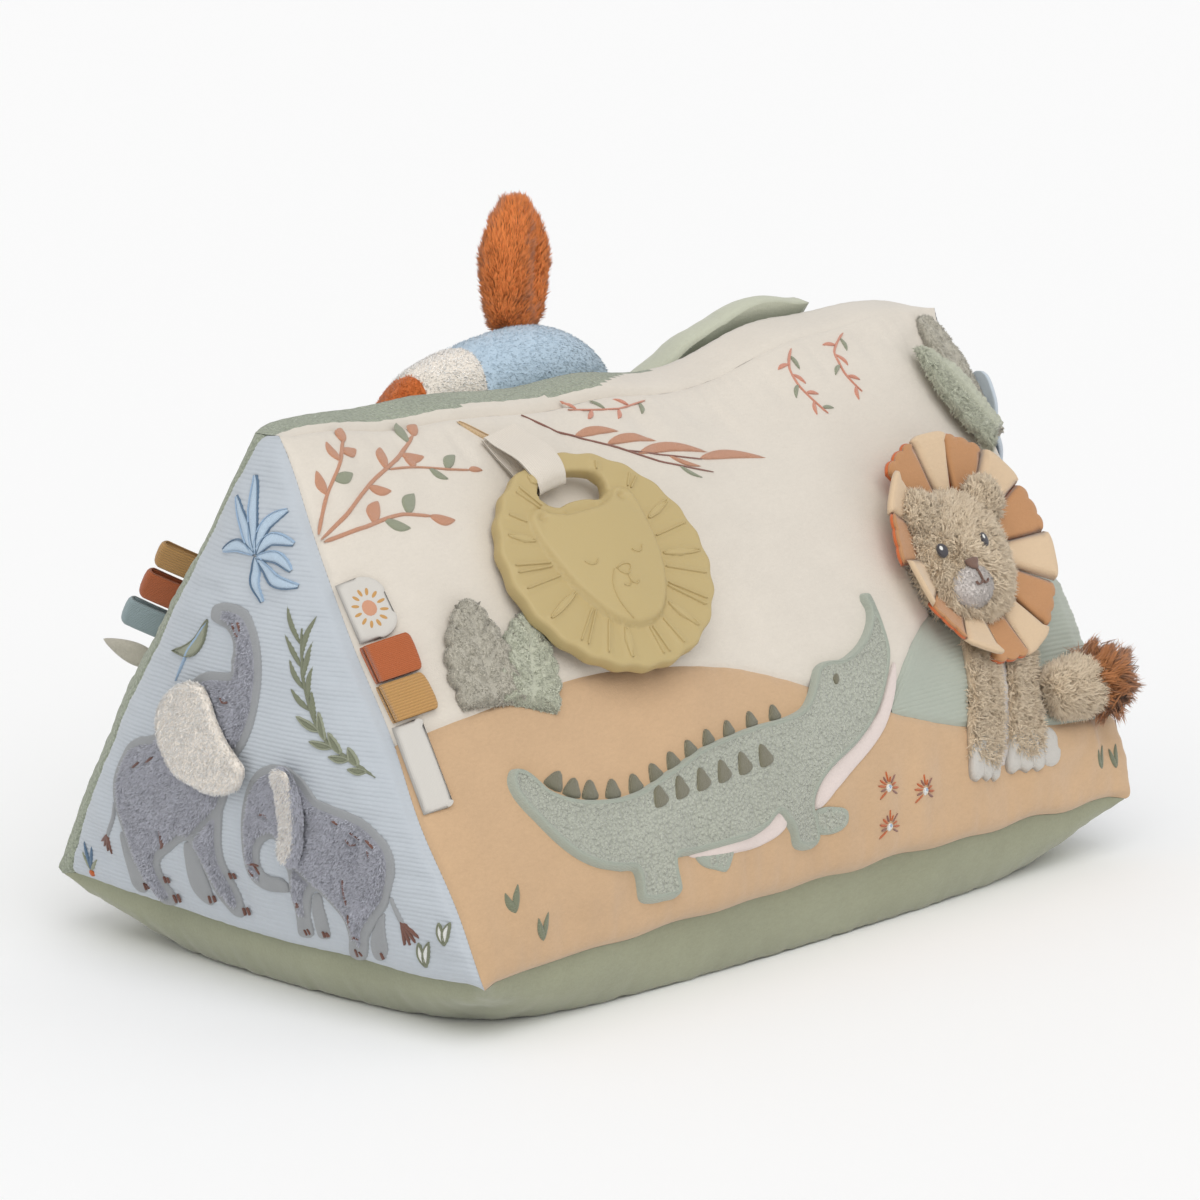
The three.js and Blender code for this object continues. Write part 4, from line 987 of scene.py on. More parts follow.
def fillOutline(outline, spacing, rings, inner=()):
    # Triangles over an outline, with rings of points close to its edge and a grid within.
    outline = np.asarray(outline, float)
    if not turnsLeft(outline):
        outline = outline[::-1]
    inward = leftOf(roundAhead(outline))
    extra = []
    for reach in rings:
        ring = outline + inward * reach
        keep = inside(ring, outline) & (distanceTo(ring, outline, True) > 0.93 * reach)
        extra.append(ring[keep])
    low, high = outline.min(0), outline.max(0)
    xs = np.arange(low[0], high[0], spacing)
    ys = np.arange(low[1], high[1], spacing * 0.87)
    grid = np.stack(np.meshgrid(xs, ys), -1)
    grid[1::2, :, 0] += spacing / 2
    grid = grid.reshape(-1, 2)
    grid = grid[inside(grid, outline)]
    reach = (max(rings) if rings else 0) + 0.5 * spacing
    for line in inner:
        side = leftOf(np.gradient(line, axis=0))
        ring = np.concatenate([line + side * step for step in (-2.4, -1.3, 0, 1.3, 2.4)])
        extra.append(ring[inside(ring, outline) & (distanceTo(ring, outline, True) > 3)])
        grid = grid[distanceTo(grid, line) > 3]
    extra.append(grid[distanceTo(grid, outline, True) > reach])
    points = np.concatenate([outline, *extra])
    made = geometry.delaunay_2d_cdt(
        [Vector(p) for p in points], [], [list(range(len(outline)))], 1, 1e-6)
    flat = np.array([list(p) for p in made[0]])
    border = np.zeros(len(flat), bool)
    for new, sources in enumerate(made[3]):
        border[new] = any(s < len(outline) for s in sources)
    return flat, [list(f) for f in made[2]], border, outline


def roundedEdge(away, reach):
    t = np.clip(away / reach, 0, 1)
    return np.sqrt(1 - (1 - t) ** 2)


def layPiece(work, outline, place, thickness, edge=1.5, spacing=2.5, form=None, slot=0, grain=0.0,
             closed=True, border=None, low=0.0, rings=None, inner=()):
    # place(x, y, lift) gives world points. form(x, y, away) adds height where the piece is shaped.
    rings = rings or [0.3 * edge, edge]
    flat, faces, rim, outline = fillOutline(outline, spacing, rings, inner)
    x, y = flat.T
    away = distanceTo(flat, outline, True)
    for line in inner:
        away = np.minimum(away, distanceTo(flat, line) + border[0] - 1.3)
    away[rim] = 0
    lift = low + thickness * roundedEdge(away, edge)
    if form is not None:
        lift = lift + form(x, y, away) * np.clip(away / edge, 0, 1)
    turned = np.stack([x * math.cos(grain) + y * math.sin(grain),
                       -x * math.sin(grain) + y * math.cos(grain)], -1)
    slots = [slot] * len(faces)
    if border is not None:
        width, other = border
        middle = away[np.array(faces)].mean(1)
        slots = [other if m < width else slot for m in middle]
    top = place(x, y, lift)
    work.add(top, faces, turned, slots)
    if closed:
        inner = ~rim
        index = np.where(rim, np.arange(len(flat)), 0)
        index[inner] = len(flat) + np.arange(inner.sum())
        under = place(x[inner], y[inner], np.full(inner.sum(), low))
        work.add(under, [], turned[inner], slot)
        start = work.count - len(flat) - inner.sum()
        work.addSkin([[int(start + index[i]) for i in face][::-1] for face in faces], slot)
    return top, faces, away


def panelPlace(panel, shift=0):
    return lambda x, y, lift: onPanel(panel, x, y, lift + shift)


frontPlace, leftPlace = panelPlace("front"), panelPlace("left")


def stitchLine(work, place, line, width, height, slot=0, taper=0.35, low=-0.1):
    # A satin-stitched line: a low round ridge, with its threads across it.
    line = np.asarray(line, float)
    side = leftOf(np.gradient(line, axis=0))
    along = lengthsAlong(line)
    share = along / along[-1]
    size = np.ones(len(line))
    if taper:
        size = np.clip(np.minimum(share, 1 - share) / max(1e-6, taper) * 2, 0.25, 1)
    across = np.array([-1, -0.75, -0.3, 0.3, 0.75, 1])
    up = np.array([0, 0.7, 1, 1, 0.7, 0])
    half = (width if np.ndim(width) else np.full(len(line), width)) / 2
    x = line[:, :1] + side[:, :1] * across * (half * size)[:, None]
    y = line[:, 1:] + side[:, 1:] * across * (half * size)[:, None]
    lift = low + (height - low) * up * np.ones((len(line), 1))
    places = place(x.ravel(), y.ravel(), lift.ravel())
    sideways = across * half[:, None]
    uv = np.stack([sideways, along[:, None] + sideways * 0.5], -1)
    work.add(places, gridFaces(len(line), len(across), flip=True), uv.reshape(-1, 2), slot)


def leafShape(start, end, width, bend=0, steps=14, widest=0.45):
    # The outline of a simple pointed leaf from its stem to its tip.
    start, end = np.array(start, float), np.array(end, float)
    axis = end - start
    length = np.hypot(*axis)
    axis /= length
    side = np.array([-axis[1], axis[0]])
    t = np.linspace(0, 1, steps)
    half = width / 2 * np.sin(np.pi * t ** (math.log(0.5) / math.log(widest))) ** 0.85
    middle = start + axis * (t * length)[:, None] + side * (bend * length * np.sin(np.pi * t))[:, None]
    left = middle + side * half[:, None]
    right = middle - side * half[:, None]
    return np.concatenate([left, right[::-1][1:-1]]), math.atan2(axis[1], axis[0])


def stitchLeaf(work, place, start, end, width, slot=0, height=0.7, bend=0, outlineSlot=None):
    outline, angle = leafShape(start, end, width, bend)
    layPiece(work, outline, place, height, edge=min(0.9, width * 0.3), spacing=1.4, slot=slot,
             grain=angle + 0.9, closed=False, low=-0.05)
    if outlineSlot is not None:
        rim = np.concatenate([outline, outline[:1]])
        stitchLine(work, place, rim, 0.8, height + 0.15, outlineSlot, taper=0)


def surfaceSamples(points, faces, count, seed, weight=None, carry=None):
    # Random places over a triangulated surface, with its normals and what else it carries.
    turn = np.random.default_rng(seed)
    tri = np.array([(face[0], *face[k:k + 2]) for face in faces for k in range(1, len(face) - 1)])
    a, b, c = points[tri[:, 0]], points[tri[:, 1]], points[tri[:, 2]]
    cross = np.cross(b - a, c - a)
    area = np.linalg.norm(cross, axis=1)
    if weight is not None:
        area = area * weight[tri].mean(1)
    smooth = np.zeros_like(points)
    for k in range(3):
        np.add.at(smooth, tri[:, k], cross)
    smooth /= np.maximum(1e-9, np.linalg.norm(smooth, axis=1))[:, None]
    pick = turn.choice(len(tri), count, p=area / area.sum())
    r, s = np.sqrt(turn.random(count)), turn.random(count)
    weights = (1 - r)[:, None], (r * (1 - s))[:, None], (r * s)[:, None]

    def at(values):
        return sum(w * values[tri[pick, k]] for k, w in enumerate(weights))

    normal = at(smooth)
    normal /= np.maximum(1e-9, np.linalg.norm(normal, axis=1))[:, None]
    return (at(points), normal) if carry is None else (at(points), normal, at(carry))


def strands(name, body, points, faces, uvs, softNormals, material):
    # One object for many blades, shaded with the pile's own soft normals.
    made = makeObject(name, points, faces, [material], uvs)
    softNormals /= np.linalg.norm(softNormals, axis=1)[:, None]
    each = len(points) // len(softNormals)
    made.data.normals_split_custom_set_from_vertices(np.repeat(softNormals, each, 0).tolist())
    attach(made, body)


def furOver(name, body, where, normal, length, material, seed, width=0.35, comb=(0, 0, -1), lean=0.7,
            spread=0.45, curl=0.4, clump=0, clumpSize=5):
    # Strands of pile, each a thin bent blade.
    turn = np.random.default_rng(seed)
    count = len(where)
    comb = np.asarray(comb, float)
    flow = comb - (comb * normal).sum(1)[:, None] * normal
    wild = turn.normal(size=(count, 3))
    if clump:
        for k in range(3):
            wild[:, k] += clump * 2 * smoothNoise(where, clumpSize, seed + k)
    way = normal + lean * flow + spread * wild
    way /= np.linalg.norm(way, axis=1)[:, None]
    across = np.cross(way, turn.normal(size=(count, 3)))
    across /= np.linalg.norm(across, axis=1)[:, None]
    long = (length * (0.7 + 0.5 * turn.random(count)))[:, None]
    bend = curl * (flow * 0.5 + wild * 0.35)
    root = where - normal * 0.15
    middle = root + way * long * 0.55
    tipWay = way + bend
    tip = middle + tipWay / np.linalg.norm(tipWay, axis=1)[:, None] * long * 0.45
    w = width / 2
    points = np.stack([root - across * w, root + across * w, middle + across * w * 0.8,
                       middle - across * w * 0.8, tip], 1).reshape(-1, 3)
    first = 5 * np.arange(count)
    faces = [[a, a + 1, a + 2, a + 3] for a in first.tolist()]
    faces += [[a + 3, a + 2, a + 4] for a in first.tolist()]
    tone = turn.random(count)
    uv = np.stack([np.repeat(tone, 5), np.tile([0, 0, 0.6, 0.6, 1], count)], -1)
    strands(name, body, points, faces, uv, normal + 0.35 * way + 0.25 * wild, material)


def pileOver(name, body, skin, count, length, material, seed, weight=None, **look):
    # Skin is points and faces, as a piece gives them.
    furOver(name, body, *surfaceSamples(*skin, count, seed, weight), length, material, seed, **look)


# Elephants on the left end: plush bodies inside a flat stitched border, with loose ears.

elephants = {"plush": 2.6, "border": 3.2, "flat": 1}
largeOutline = [
    (-11.7, 128.7), (-8.7, 130.6), (-1.9, 131.7), (3.9, 130.5), (8.9, 126.9), (12.5, 121.6),
    (14.5, 114.4), (15.2, 105.9), (14.6, 96.3), (12.5, 86.3), (8.3, 78), (3.6, 72.3), (0.6, 65.7),
    (-2.7, 55.6), (-5.5, 50), (-7.3, 42.9), (-9.4, 34.5), (-10.2, 26.4), (-8.8, 20.2), (-7.6, 14.6),
    (-6.9, 10.1), (-9.4, 7.9), (-13, 8), (-16.4, 10.4), (-19.3, 14), (-21.2, 19.1), (-22.8, 24.6),
    (-25, 29.8), (-28.3, 33.2), (-33, 31.6), (-41.7, 25.9), (-48.2, 20.8), (-49.7, 15.8),
    (-48.3, 12.1), (-46.4, 9), (-47, 5.3), (-52, 3.2), (-56.9, 3.5), (-58.7, 6.9), (-61.3, 11.6),
    (-64.2, 16.7), (-66.8, 22.7), (-69.1, 29.6), (-71.1, 36), (-72.9, 42.4), (-72.7, 50.1),
    (-68.8, 58.6), (-62.1, 65.8), (-53.8, 70.3), (-45.7, 72.7), (-42, 78.4), (-38.7, 84.4),
    (-33.9, 90.8), (-27.9, 95.2), (-22.7, 98.2), (-18.5, 101.3), (-11.2, 104), (-4.4, 104.7),
    (-0.3, 105.8), (-0.4, 109.9), (0.6, 114.4), (-0.5, 118.5), (-3.8, 121.8), (-8.3, 122.9),
    (-11.5, 124.3)]
largeFarLegs = [
    [(-70.5, 28.2), (-70.3, 20.4), (-71.3, 12.7), (-71.4, 7.9), (-68.2, 5.2), (-63.1, 6.5), (-60.3, 11.3),
     (-62.7, 16.5), (-65.8, 22.4), (-68.5, 28.6)],
    [(-30.8, 32.1), (-32.7, 24.3), (-33.1, 16.9), (-31.6, 12.8), (-27.9, 10), (-24.3, 9.4), (-21.6, 11.8),
     (-21.5, 17), (-22.5, 23), (-24, 29.4), (-26.2, 33)]]
largeBelly = [
    (-0.2, 56.3), (-11.4, 47.3), (-24.5, 36.2), (-38.1, 27.2), (-45.2, 21.4)]
largeTail = [
    (-72.3, 39.7), (-74.2, 32.6), (-78.6, 25.2)]
largeMarks = [
    [(-62.2, 10.3), (-62.1, 7.6)], [(-60.5, 10.5), (-59.9, 8.5)], [(-46.7, 8.8), (-45.8, 6)],
    [(-43.9, 9.7), (-43, 6.8)], [(-49, 15.1), (-48.7, 12.7)], [(-46.8, 15.2), (-46.6, 13.1)],
    [(-23.1, 13.2), (-23.1, 10.6)], [(-20.5, 13.7), (-20.4, 11.4)], [(-7.3, 11.5), (-6.6, 9.1)],
    [(-5, 12), (-4, 9.6)], [(-9.4, 23.7), (-9.3, 21.2)], [(-7, 24.1), (-6.5, 21.8)],
    [(1.1, 124.9), (2.5, 121.7), (4.9, 120.3)], [(3.4, 125.5), (5.4, 122.4)],
    [(-56.6, 57.6), (-52, 61)], [(-47.4, 61.7), (-42.8, 65)],
    [(-42.5, 34.9), (-42.8, 30.8), (-45.5, 26.7)], [(-3.2, 95.7), (-2.1, 93.9), (0.9, 94.4)]]
largeEar = [
    (-22.7, 98.2), (-16.8, 99.6), (-11.1, 98.7), (-6.9, 94.1), (-4.3, 89.2), (-1, 84.4), (3.8, 78.7),
    (8.4, 74.6), (12, 70.9), (10.7, 65.7), (6.4, 61.1), (-1.3, 58), (-7.9, 57.7), (-16.7, 59.7),
    (-25.4, 62.4), (-31.5, 67.9), (-35.5, 73.6), (-37.4, 80.8), (-36.3, 86.4), (-31.6, 92.7)]
smallOutline = [
    (25.2, 74.2), (30.1, 74.4), (34.2, 73), (38.2, 70.8), (41.4, 67.6), (44.6, 63.9), (49.7, 62.8),
    (56.5, 61.6), (63.4, 60), (70.3, 57), (75.4, 53.6), (78.7, 49.9), (80.3, 44.6), (79.6, 37.8),
    (77.9, 31.9), (76.1, 27), (71.4, 21.7), (66.8, 16.6), (62.6, 11.8), (59.1, 7.1), (54.3, 3.6),
    (49.2, 2.2), (46.1, 3.3), (50.1, 9.6), (52.7, 14.9), (51.7, 18.1), (48.1, 21.9), (43.9, 24.8),
    (40.8, 26.2), (38.4, 24.8), (35.6, 18.8), (32.4, 13.3), (29.8, 8.1), (25, 6.7), (21.4, 7),
    (22.5, 11.7), (24.1, 17.7), (25.7, 24.3), (26.9, 31.2), (25.1, 34.7), (22.9, 38.1), (22, 42.7),
    (20.4, 43.7), (16.1, 41.8), (12.8, 38), (11.6, 33.4), (12.8, 29.3), (16.5, 27.7), (22.6, 27.9),
    (25.3, 26.1), (24.7, 23), (18.1, 21.3), (11.8, 21.1), (6.2, 22.8), (3.1, 26.4), (2.3, 32),
    (2.6, 38.9), (3.7, 47.9), (6.4, 57), (10.4, 64.9), (15.4, 70.3), (20.8, 73.1)]
smallFarLegs = [
    [(39.1, 25.1), (42.6, 25.5), (42.8, 20.1), (41.9, 14.8), (39.8, 9.5), (35.9, 7.7), (32.5, 8.3),
     (34.5, 13.6), (36.1, 18.9)],
    [(74, 23.9), (73.3, 18.6), (72.8, 13.5), (71.9, 9.8), (67, 6.1), (61.9, 5), (61.9, 8.5), (65.2, 13.9),
     (68.7, 19)]]
smallLeg = [
    (31.4, 34.4), (36.9, 30.8), (42.4, 26.9)]
smallTail = [
    (77.8, 30.2), (80.2, 25), (82.2, 20.9)]
smallMarks = [
    [(16.5, 52.8), (18.6, 53.8), (20.5, 52.5)], [(6.9, 31.1), (11.5, 30.9)],
    [(6.2, 29.4), (8.8, 26.5)], [(8.5, 31.2), (11.2, 27.5)],
    [(56.5, 34.3), (56.4, 29.6), (57.5, 24.2)], [(57.7, 20.6), (56.9, 16.2), (54.2, 10.8)],
    [(56, 13.7), (57.9, 11.4)], [(52.7, 7.2), (51.5, 4.1)], [(54.2, 6.6), (54.8, 5)],
    [(28.9, 20), (31, 20.1), (29.1, 18)], [(26.1, 9.6), (26.8, 7.8)], [(28, 10.1), (28.7, 8.3)],
    [(37.5, 10.8), (37.1, 8.6)], [(39.1, 10.7), (39.1, 9)], [(68.1, 8.8), (67.9, 6.4)],
    [(53.7, 57.1), (56.1, 56)], [(61.1, 53.6), (65.2, 51.4)], [(59, 50.7), (60.6, 48.5), (63.1, 49.3)],
    [(68.7, 52.1), (72.6, 49.4)], [(69.6, 48), (70.8, 45.2)]]
smallEar = [
    (29.2, 73.1), (31.7, 74.5), (34.6, 74.4), (38, 72.5), (40.4, 67.9), (41.8, 61.1), (41.4, 54),
    (39.9, 46.1),
    (37.9, 40), (34.9, 36.3), (31.4, 36.7), (29.2, 40), (29.3, 44.8), (30, 50.7), (30, 57.3), (30, 64.8),
    (29.1, 69.4)]
smallEarRim = [
    (29.3, 73.1), (33.2, 74.3), (36.7, 73.9), (38.6, 70.6), (39.4, 65.1), (39.8, 58.5), (38.6, 51.8),
    (37.4, 44.9), (35, 39.4), (31.2, 37.1), (28.9, 39.5), (29, 43.8), (30.3, 49.7), (30.6, 57.3),
    (30.6, 64.8),
    (29.2, 69.4)]
greyPlush = fabric("greyPlush", scaled(colours["grey"], 1.05), "pile", 0.72, 1.15, bump=0.7, reach=0.001)
greyBorder = fabric("greyBorder", colours["greyThread"], "threads", 0.94, 1.05, bump=0.4, reach=0.0003)
greyFur = furMaterial("greyStrands", scaled(colours["grey"], 0.95), scaled(colours["grey"], 2.0), mottle=0.35)
creamPlush = fabric("creamPlush", colours["cream"], "pile", 0.92, 1.05, bump=0.7, reach=0.001)
creamFur = furMaterial("creamStrands", scaled(colours["cream"], 1.12), (1, 0.98, 0.95, 1), mottle=0.1)
brownThread = fabric("brownThread", colours["brown"], "threads", 0.85, 1.15, bump=0.5, reach=0.0002)


def stitchedAnimal(name, node, outline, farLegs, band, tail, marks, seed, count):
    work = Work()
    outline, band = curveThrough(outline, 4, True), curveThrough(band, 8)

    def form(x, y, away):
        step = np.clip((away - elephants["border"]) / 1.6, 0, 1)
        return (elephants["plush"] - elephants["flat"]) * eased(step)

    for leg in farLegs:
        layPiece(work, curveThrough(leg, 5, True), leftPlace, 0.7, edge=0.6, spacing=2.6, slot=1,
                 closed=False)
    stitchLine(work, leftPlace, curveThrough(tail, 6), 2.2, 0.8, 1, taper=0)
    end, before = np.array(tail[-1]), np.array(tail[-2])
    way = (end - before) / np.hypot(*(end - before))
    for turn in (-0.5, -0.2, 0.15, 0.5):
        tip = end + placedAt(7.5 * way, 0, 0, turn)
        stitchLine(work, leftPlace, curveThrough([end - way, (end + tip) / 2, tip], 4), 1.5, 0.9, 2)
    top, faces, away = layPiece(
        work, outline, leftPlace, elephants["flat"], edge=0.8, spacing=2.2, form=form,
        border=(elephants["border"], 1), rings=[0.25, 0.8, 3.2, 4.8], closed=False, inner=[band])
    flat = work.uvs[-1]

    def onCoat(x, y, lift):
        points = np.stack([x, y], -1)
        into = np.minimum(distanceTo(points, outline, True), distanceTo(points, band) + 1.9)
        over = form(x, y, into) * inside(points, outline)
        return leftPlace(x, y, lift + over + 0.7)

    lines = [curveThrough(mark, 5) for mark in marks]
    for line in lines:
        stitchLine(work, onCoat, line, 1.1, 1.0, 2, taper=0.1)
    work.finish(name, "cushion", [greyPlush, greyBorder, brownThread], [node], "grey_plush")
    weight = np.clip((away - elephants["border"] - 0.2) / 1.5, 0, 1)
    where, normal, spots = surfaceSamples(top, faces, count, seed, weight, flat)
    free = np.min([distanceTo(spots, line) for line in lines], axis=0) > 1.0
    furOver(name + "_nap", "cushion", where[free], normal[free], 1.8, greyFur, seed, width=0.42,
            comb=(0, 0.5, -0.9), lean=0.9, spread=0.35, clump=0.3, clumpSize=9)


stitchedAnimal("elephant_large_plush", "elephant_large", largeOutline, largeFarLegs, largeBelly, largeTail,
               largeMarks, 21, 27000)
stitchedAnimal("elephant_small_plush", "elephant_small", smallOutline, smallFarLegs, smallLeg, smallTail,
               smallMarks, 22, 20000)


def looseEar(node, outline, seed, nap, tilt, cloth, fur, rim=None):
    # tilt lifts the ear's free side off the body it lies on.
    name, lift, count = "elephant_" + node, 3.9, 6000
    work = Work()
    outline = curveThrough(outline, 6, True)
    sewn = outline[:, 0].max() if tilt > 0 else outline[:, 0].min()

    def place(x, y, height):
        free = abs(x - sewn) / np.ptp(outline[:, 0])
        return onPanel("left", x, y, lift + height + abs(tilt) * free ** 1.5)

    skins = [(*layPiece(work, outline, place, 2.8, edge=2, spacing=2)[:2], count, fur)]
    if rim:
        laid = layPiece(work, curveThrough(rim, 6, True), place, 1.3, edge=1.3, spacing=2, low=2.2, slot=1,
                        closed=False)
        skins.append((*laid[:2], 1800, creamFur))
    work.finish(name, node, [cloth, creamPlush], [node], "cream_plush")
    for k, (points, skin, count, material) in enumerate(skins):
        pileOver(f"{name}_nap_{k + 1}", node, (points, skin), count, nap, material, seed + 10 * k, width=0.4,
                 comb=(0, 0.3, -0.9), lean=1.1, spread=0.25, clump=0.1, clumpSize=6)


looseEar("ear_large", largeEar, 23, 1.3, 1.2, creamPlush, creamFur)
looseEar("ear_small", smallEar, 24, 1.6, -1.2, greyPlush, greyFur, smallEarRim)
print("elephants made")


# The crocodile: terry body in a padded satin border, felt spikes, a pale belly and far legs.

crocodile = {"body": 2.2, "border": 2.4, "rim": 1.5, "spikes": 12, "inner": 6}
crocodileOutline = curveThrough([
    (-153.2, 74.7), (-149.6, 73.4), (-146, 69.3), (-142.4, 64), (-136.2, 59.7), (-129.2, 56.7),
    (-118.8, 54.2),
    (-107.6, 52.9), (-95.4, 54.2), (-85.7, 57), (-76.2, 59.5), (-66.3, 62.5), (-56.4, 63.8), (-43.1, 64.8),
    (-29.9, 65.5), (-19.2, 65.5), (-10.6, 66.2), (-4.1, 67.8), (1.4, 71.6), (6.3, 76.7), (9.8, 80.7),
    (14.2, 82.7),
    (19.8, 82.9), (26.2, 82.2), (32.9, 83.6), (41.5, 87.3), (49.9, 93.8), (53.2, 99.2), (52.8, 102.7),
    (54.3, 105.3), (57.3, 105.3), (57.8, 98), (56.7, 89.1), (54.6, 79.9), (47.8, 69.2), (40.1, 59.9),
    (30.2, 52.2),
    (17.6, 46.5), (5.3, 42.6), (-3.8, 38.2), (-8.5, 33.1), (-10.1, 29.1), (-8.8, 25.6), (-7.7, 17.4),
    (-9.2, 14.8),
    (-13, 14.2), (-20.4, 15.2), (-23.9, 17.5), (-25.4, 22), (-29.4, 27), (-32.4, 30.1), (-37.5, 26.9),
    (-47.8, 24.5), (-61.9, 24.2), (-76.9, 24.8), (-85.9, 25.2), (-90.4, 24.5), (-89.3, 17.4), (-88.5, 13.8),
    (-89.8, 11.6), (-96.7, 11.5), (-106.3, 12.8), (-109.5, 14.8), (-110.3, 20.7), (-111.9, 25.3),
    (-118.6, 26.5),
    (-129.2, 29.7), (-138.6, 35.4), (-146.2, 43.7), (-152.1, 53.9), (-156.5, 62.7), (-157.5, 69.7),
    (-155.4, 73.7)], 4, True)
crocodileTerry = fabric("crocodileTerry", colours["crocodile"], "loops", 0.8, 1.12, bump=1.0, reach=0.0014)
crocodileSatin = fabric("crocodileSatin", colours["crocodileThread"], "threads", 0.88, 1.08, bump=0.5,
                        reach=0.0003)
bellyCloth = fabric("bellyVelour", colours["belly"], "pile", 0.9, 1.05)
spikeThread = fabric("spikeThread", colours["spike"], "threads", 0.75, 1.15, bump=0.7, reach=0.0003)
crocodileWork = Work()


backLine = curveThrough([
    (-140.6, 65.5), (-133.6, 60.1), (-126.5, 57), (-116, 54.6), (-104.8, 53.3), (-92.6, 54.6), (-82.9, 57.4),
    (-73.3, 59.9), (-63.2, 62.8), (-53.3, 64.1), (-39.9, 65.1), (-27, 66), (-14.8, 66)], 12)
for leg in [
    [(-4.6, 28.3), (2, 27.1), (8.2, 24.3), (8, 20.1), (4, 17.9), (-3.6, 18.1), (-8.6, 20.1), (-10.1, 26.7)],
    [(-76.7, 24.7), (-67.9, 23.8), (-58.2, 23.6), (-60.3, 18.2), (-62.9, 15.7), (-68.3, 17.7), (-73.7, 20.4)],
]:
    layPiece(crocodileWork, curveThrough(leg, 6, True), frontPlace, 1.0, edge=0.7, spacing=2.4, slot=0,
             closed=False, border=(1.8, 1))
for patch in [
    [(-3.3, 40.4), (17.4, 48.4), (38.4, 57.3), (50, 70), (56.5, 76), (54.5, 69.1), (48.7, 59.7), (40.4, 50.9),
     (28.4, 44.1), (15.5, 38.8), (2.2, 32.5), (-4.6, 28.3), (-8.3, 29)],
    [(-67.6, 26.6), (-45.7, 27.3), (-28.5, 31.2), (-28.1, 24.7), (-37.5, 21.5), (-53.4, 21), (-69, 22.3),
     (-80.2, 25)],
]:
    layPiece(crocodileWork, curveThrough(patch, 6, True), frontPlace, 1.3, edge=0.9, spacing=2.4, slot=2,
             closed=False)
layPiece(crocodileWork, crocodileOutline, frontPlace, crocodile["body"], edge=1.5, spacing=2.2,
         form=lambda x, y, away: crocodile["rim"] * np.exp(-(((away - 1.3) / 1.2) ** 2)),
         border=(crocodile["border"], 1), rings=[0.4, 0.9, 1.5, 2.4, 3.4], closed=False)


def spikeOutline(foot, ahead, width, height):
    up = np.array([-ahead[1], ahead[0]])
    shape = [(-0.5, 0), (-0.38, 0.5), (-0.1, 0.95), (0.1, 0.95), (0.34, 0.5), (0.5, 0)]
    return curveThrough([foot + ahead * (a + 0.12 * b) * width + up * b * height for a, b in shape], 3, True)


for i in range(crocodile["spikes"]):
    at = (0.02 + 0.95 * i / (crocodile["spikes"] - 1)) * (len(backLine) - 1)
    step = backLine[int(at) + 1] - backLine[int(at)]
    foot = backLine[int(at)] + step * (at - int(at))
    size = 8.2 - 0.17 * i
    spike = spikeOutline(foot + np.array([0, -0.3]), step / np.hypot(*step), size, size * 0.95)
    layPiece(crocodileWork, spike, frontPlace, 1.3, edge=0.8, spacing=1.6, slot=3, grain=1.2, closed=False)
for i in range(crocodile["inner"]):
    t = i / (crocodile["inner"] - 1)
    spike = spikeOutline(np.array([-91.4 + 58.8 * t, 45.6 + 3.8 * t]), np.array([0.982, 0.19]), 8, 8.5)
    layPiece(crocodileWork, spike, frontPlace, 1, edge=0.7, spacing=1.6, slot=3, grain=1.2, closed=False,
             low=crocodile["body"] - 0.2)
eye = curveThrough([(20, 76.9), (20.4, 75), (18.8, 72.7), (17.1, 72.8), (17.2, 75.6)], 5, True)
layPiece(crocodileWork, eye, frontPlace, 0.8, edge=0.5, spacing=1, slot=3, closed=False,
         low=crocodile["body"] - 0.1)
crocodileWork.finish("crocodile_terry", "cushion",
                     [crocodileTerry, crocodileSatin, bellyCloth, spikeThread], ["crocodile"], "sage_fleece")
print("crocodile made")


# Loose leaves and fronds: two layers of fleece, filled thinly and quilted along their veins.

leaves = {"edge": 2, "veinWidth": 0.75, "hem": 0.55}


def lobedOutline(length, width, lobes, notch=0.13, blunt=0.7):
    t = np.linspace(0, 1, 60)
    half = width / 2 * np.sin(np.pi * (0.3 + 0.7 * t)) ** blunt
    lobe = np.abs(np.sin(np.pi * (lobes * t + 0.02)))
    half = half * (1 - notch * (1 - lobe ** 0.6) * np.clip((1 - t) * 6, 0, 1) * np.clip(t * 12, 0, 1))
    half[-1] = 0
    right = np.stack([half, t * length], -1)
    return np.concatenate([right, (right * [-1, 1])[::-1][1:]])


def veinLines(length, width, pairs):
    lines = [np.array([(0, 0.08 * length), (0, 0.84 * length)])]
    for k in range(pairs):
        t = 0.16 + 0.62 * k / max(1, pairs - 1)
        reach = width * 0.29 * math.sin(math.pi * min(1, 0.35 + 0.6 * t)) ** 0.7
        for side in (-1, 1):
            lines.append(np.array([(0, t * length), (side * reach, (t + 0.17) * length)]))
    return lines


def bubblePlaces(x, y, line):
    # How far along a straight line a point lies, and how far to its right.
    start, way = np.array(line[0]), np.array(line[1]) - line[0]
    way = way / np.hypot(*way)
    x, y = x - start[0], y - start[1]
    return x * way[0] + y * way[1], x * way[1] - y * way[0]


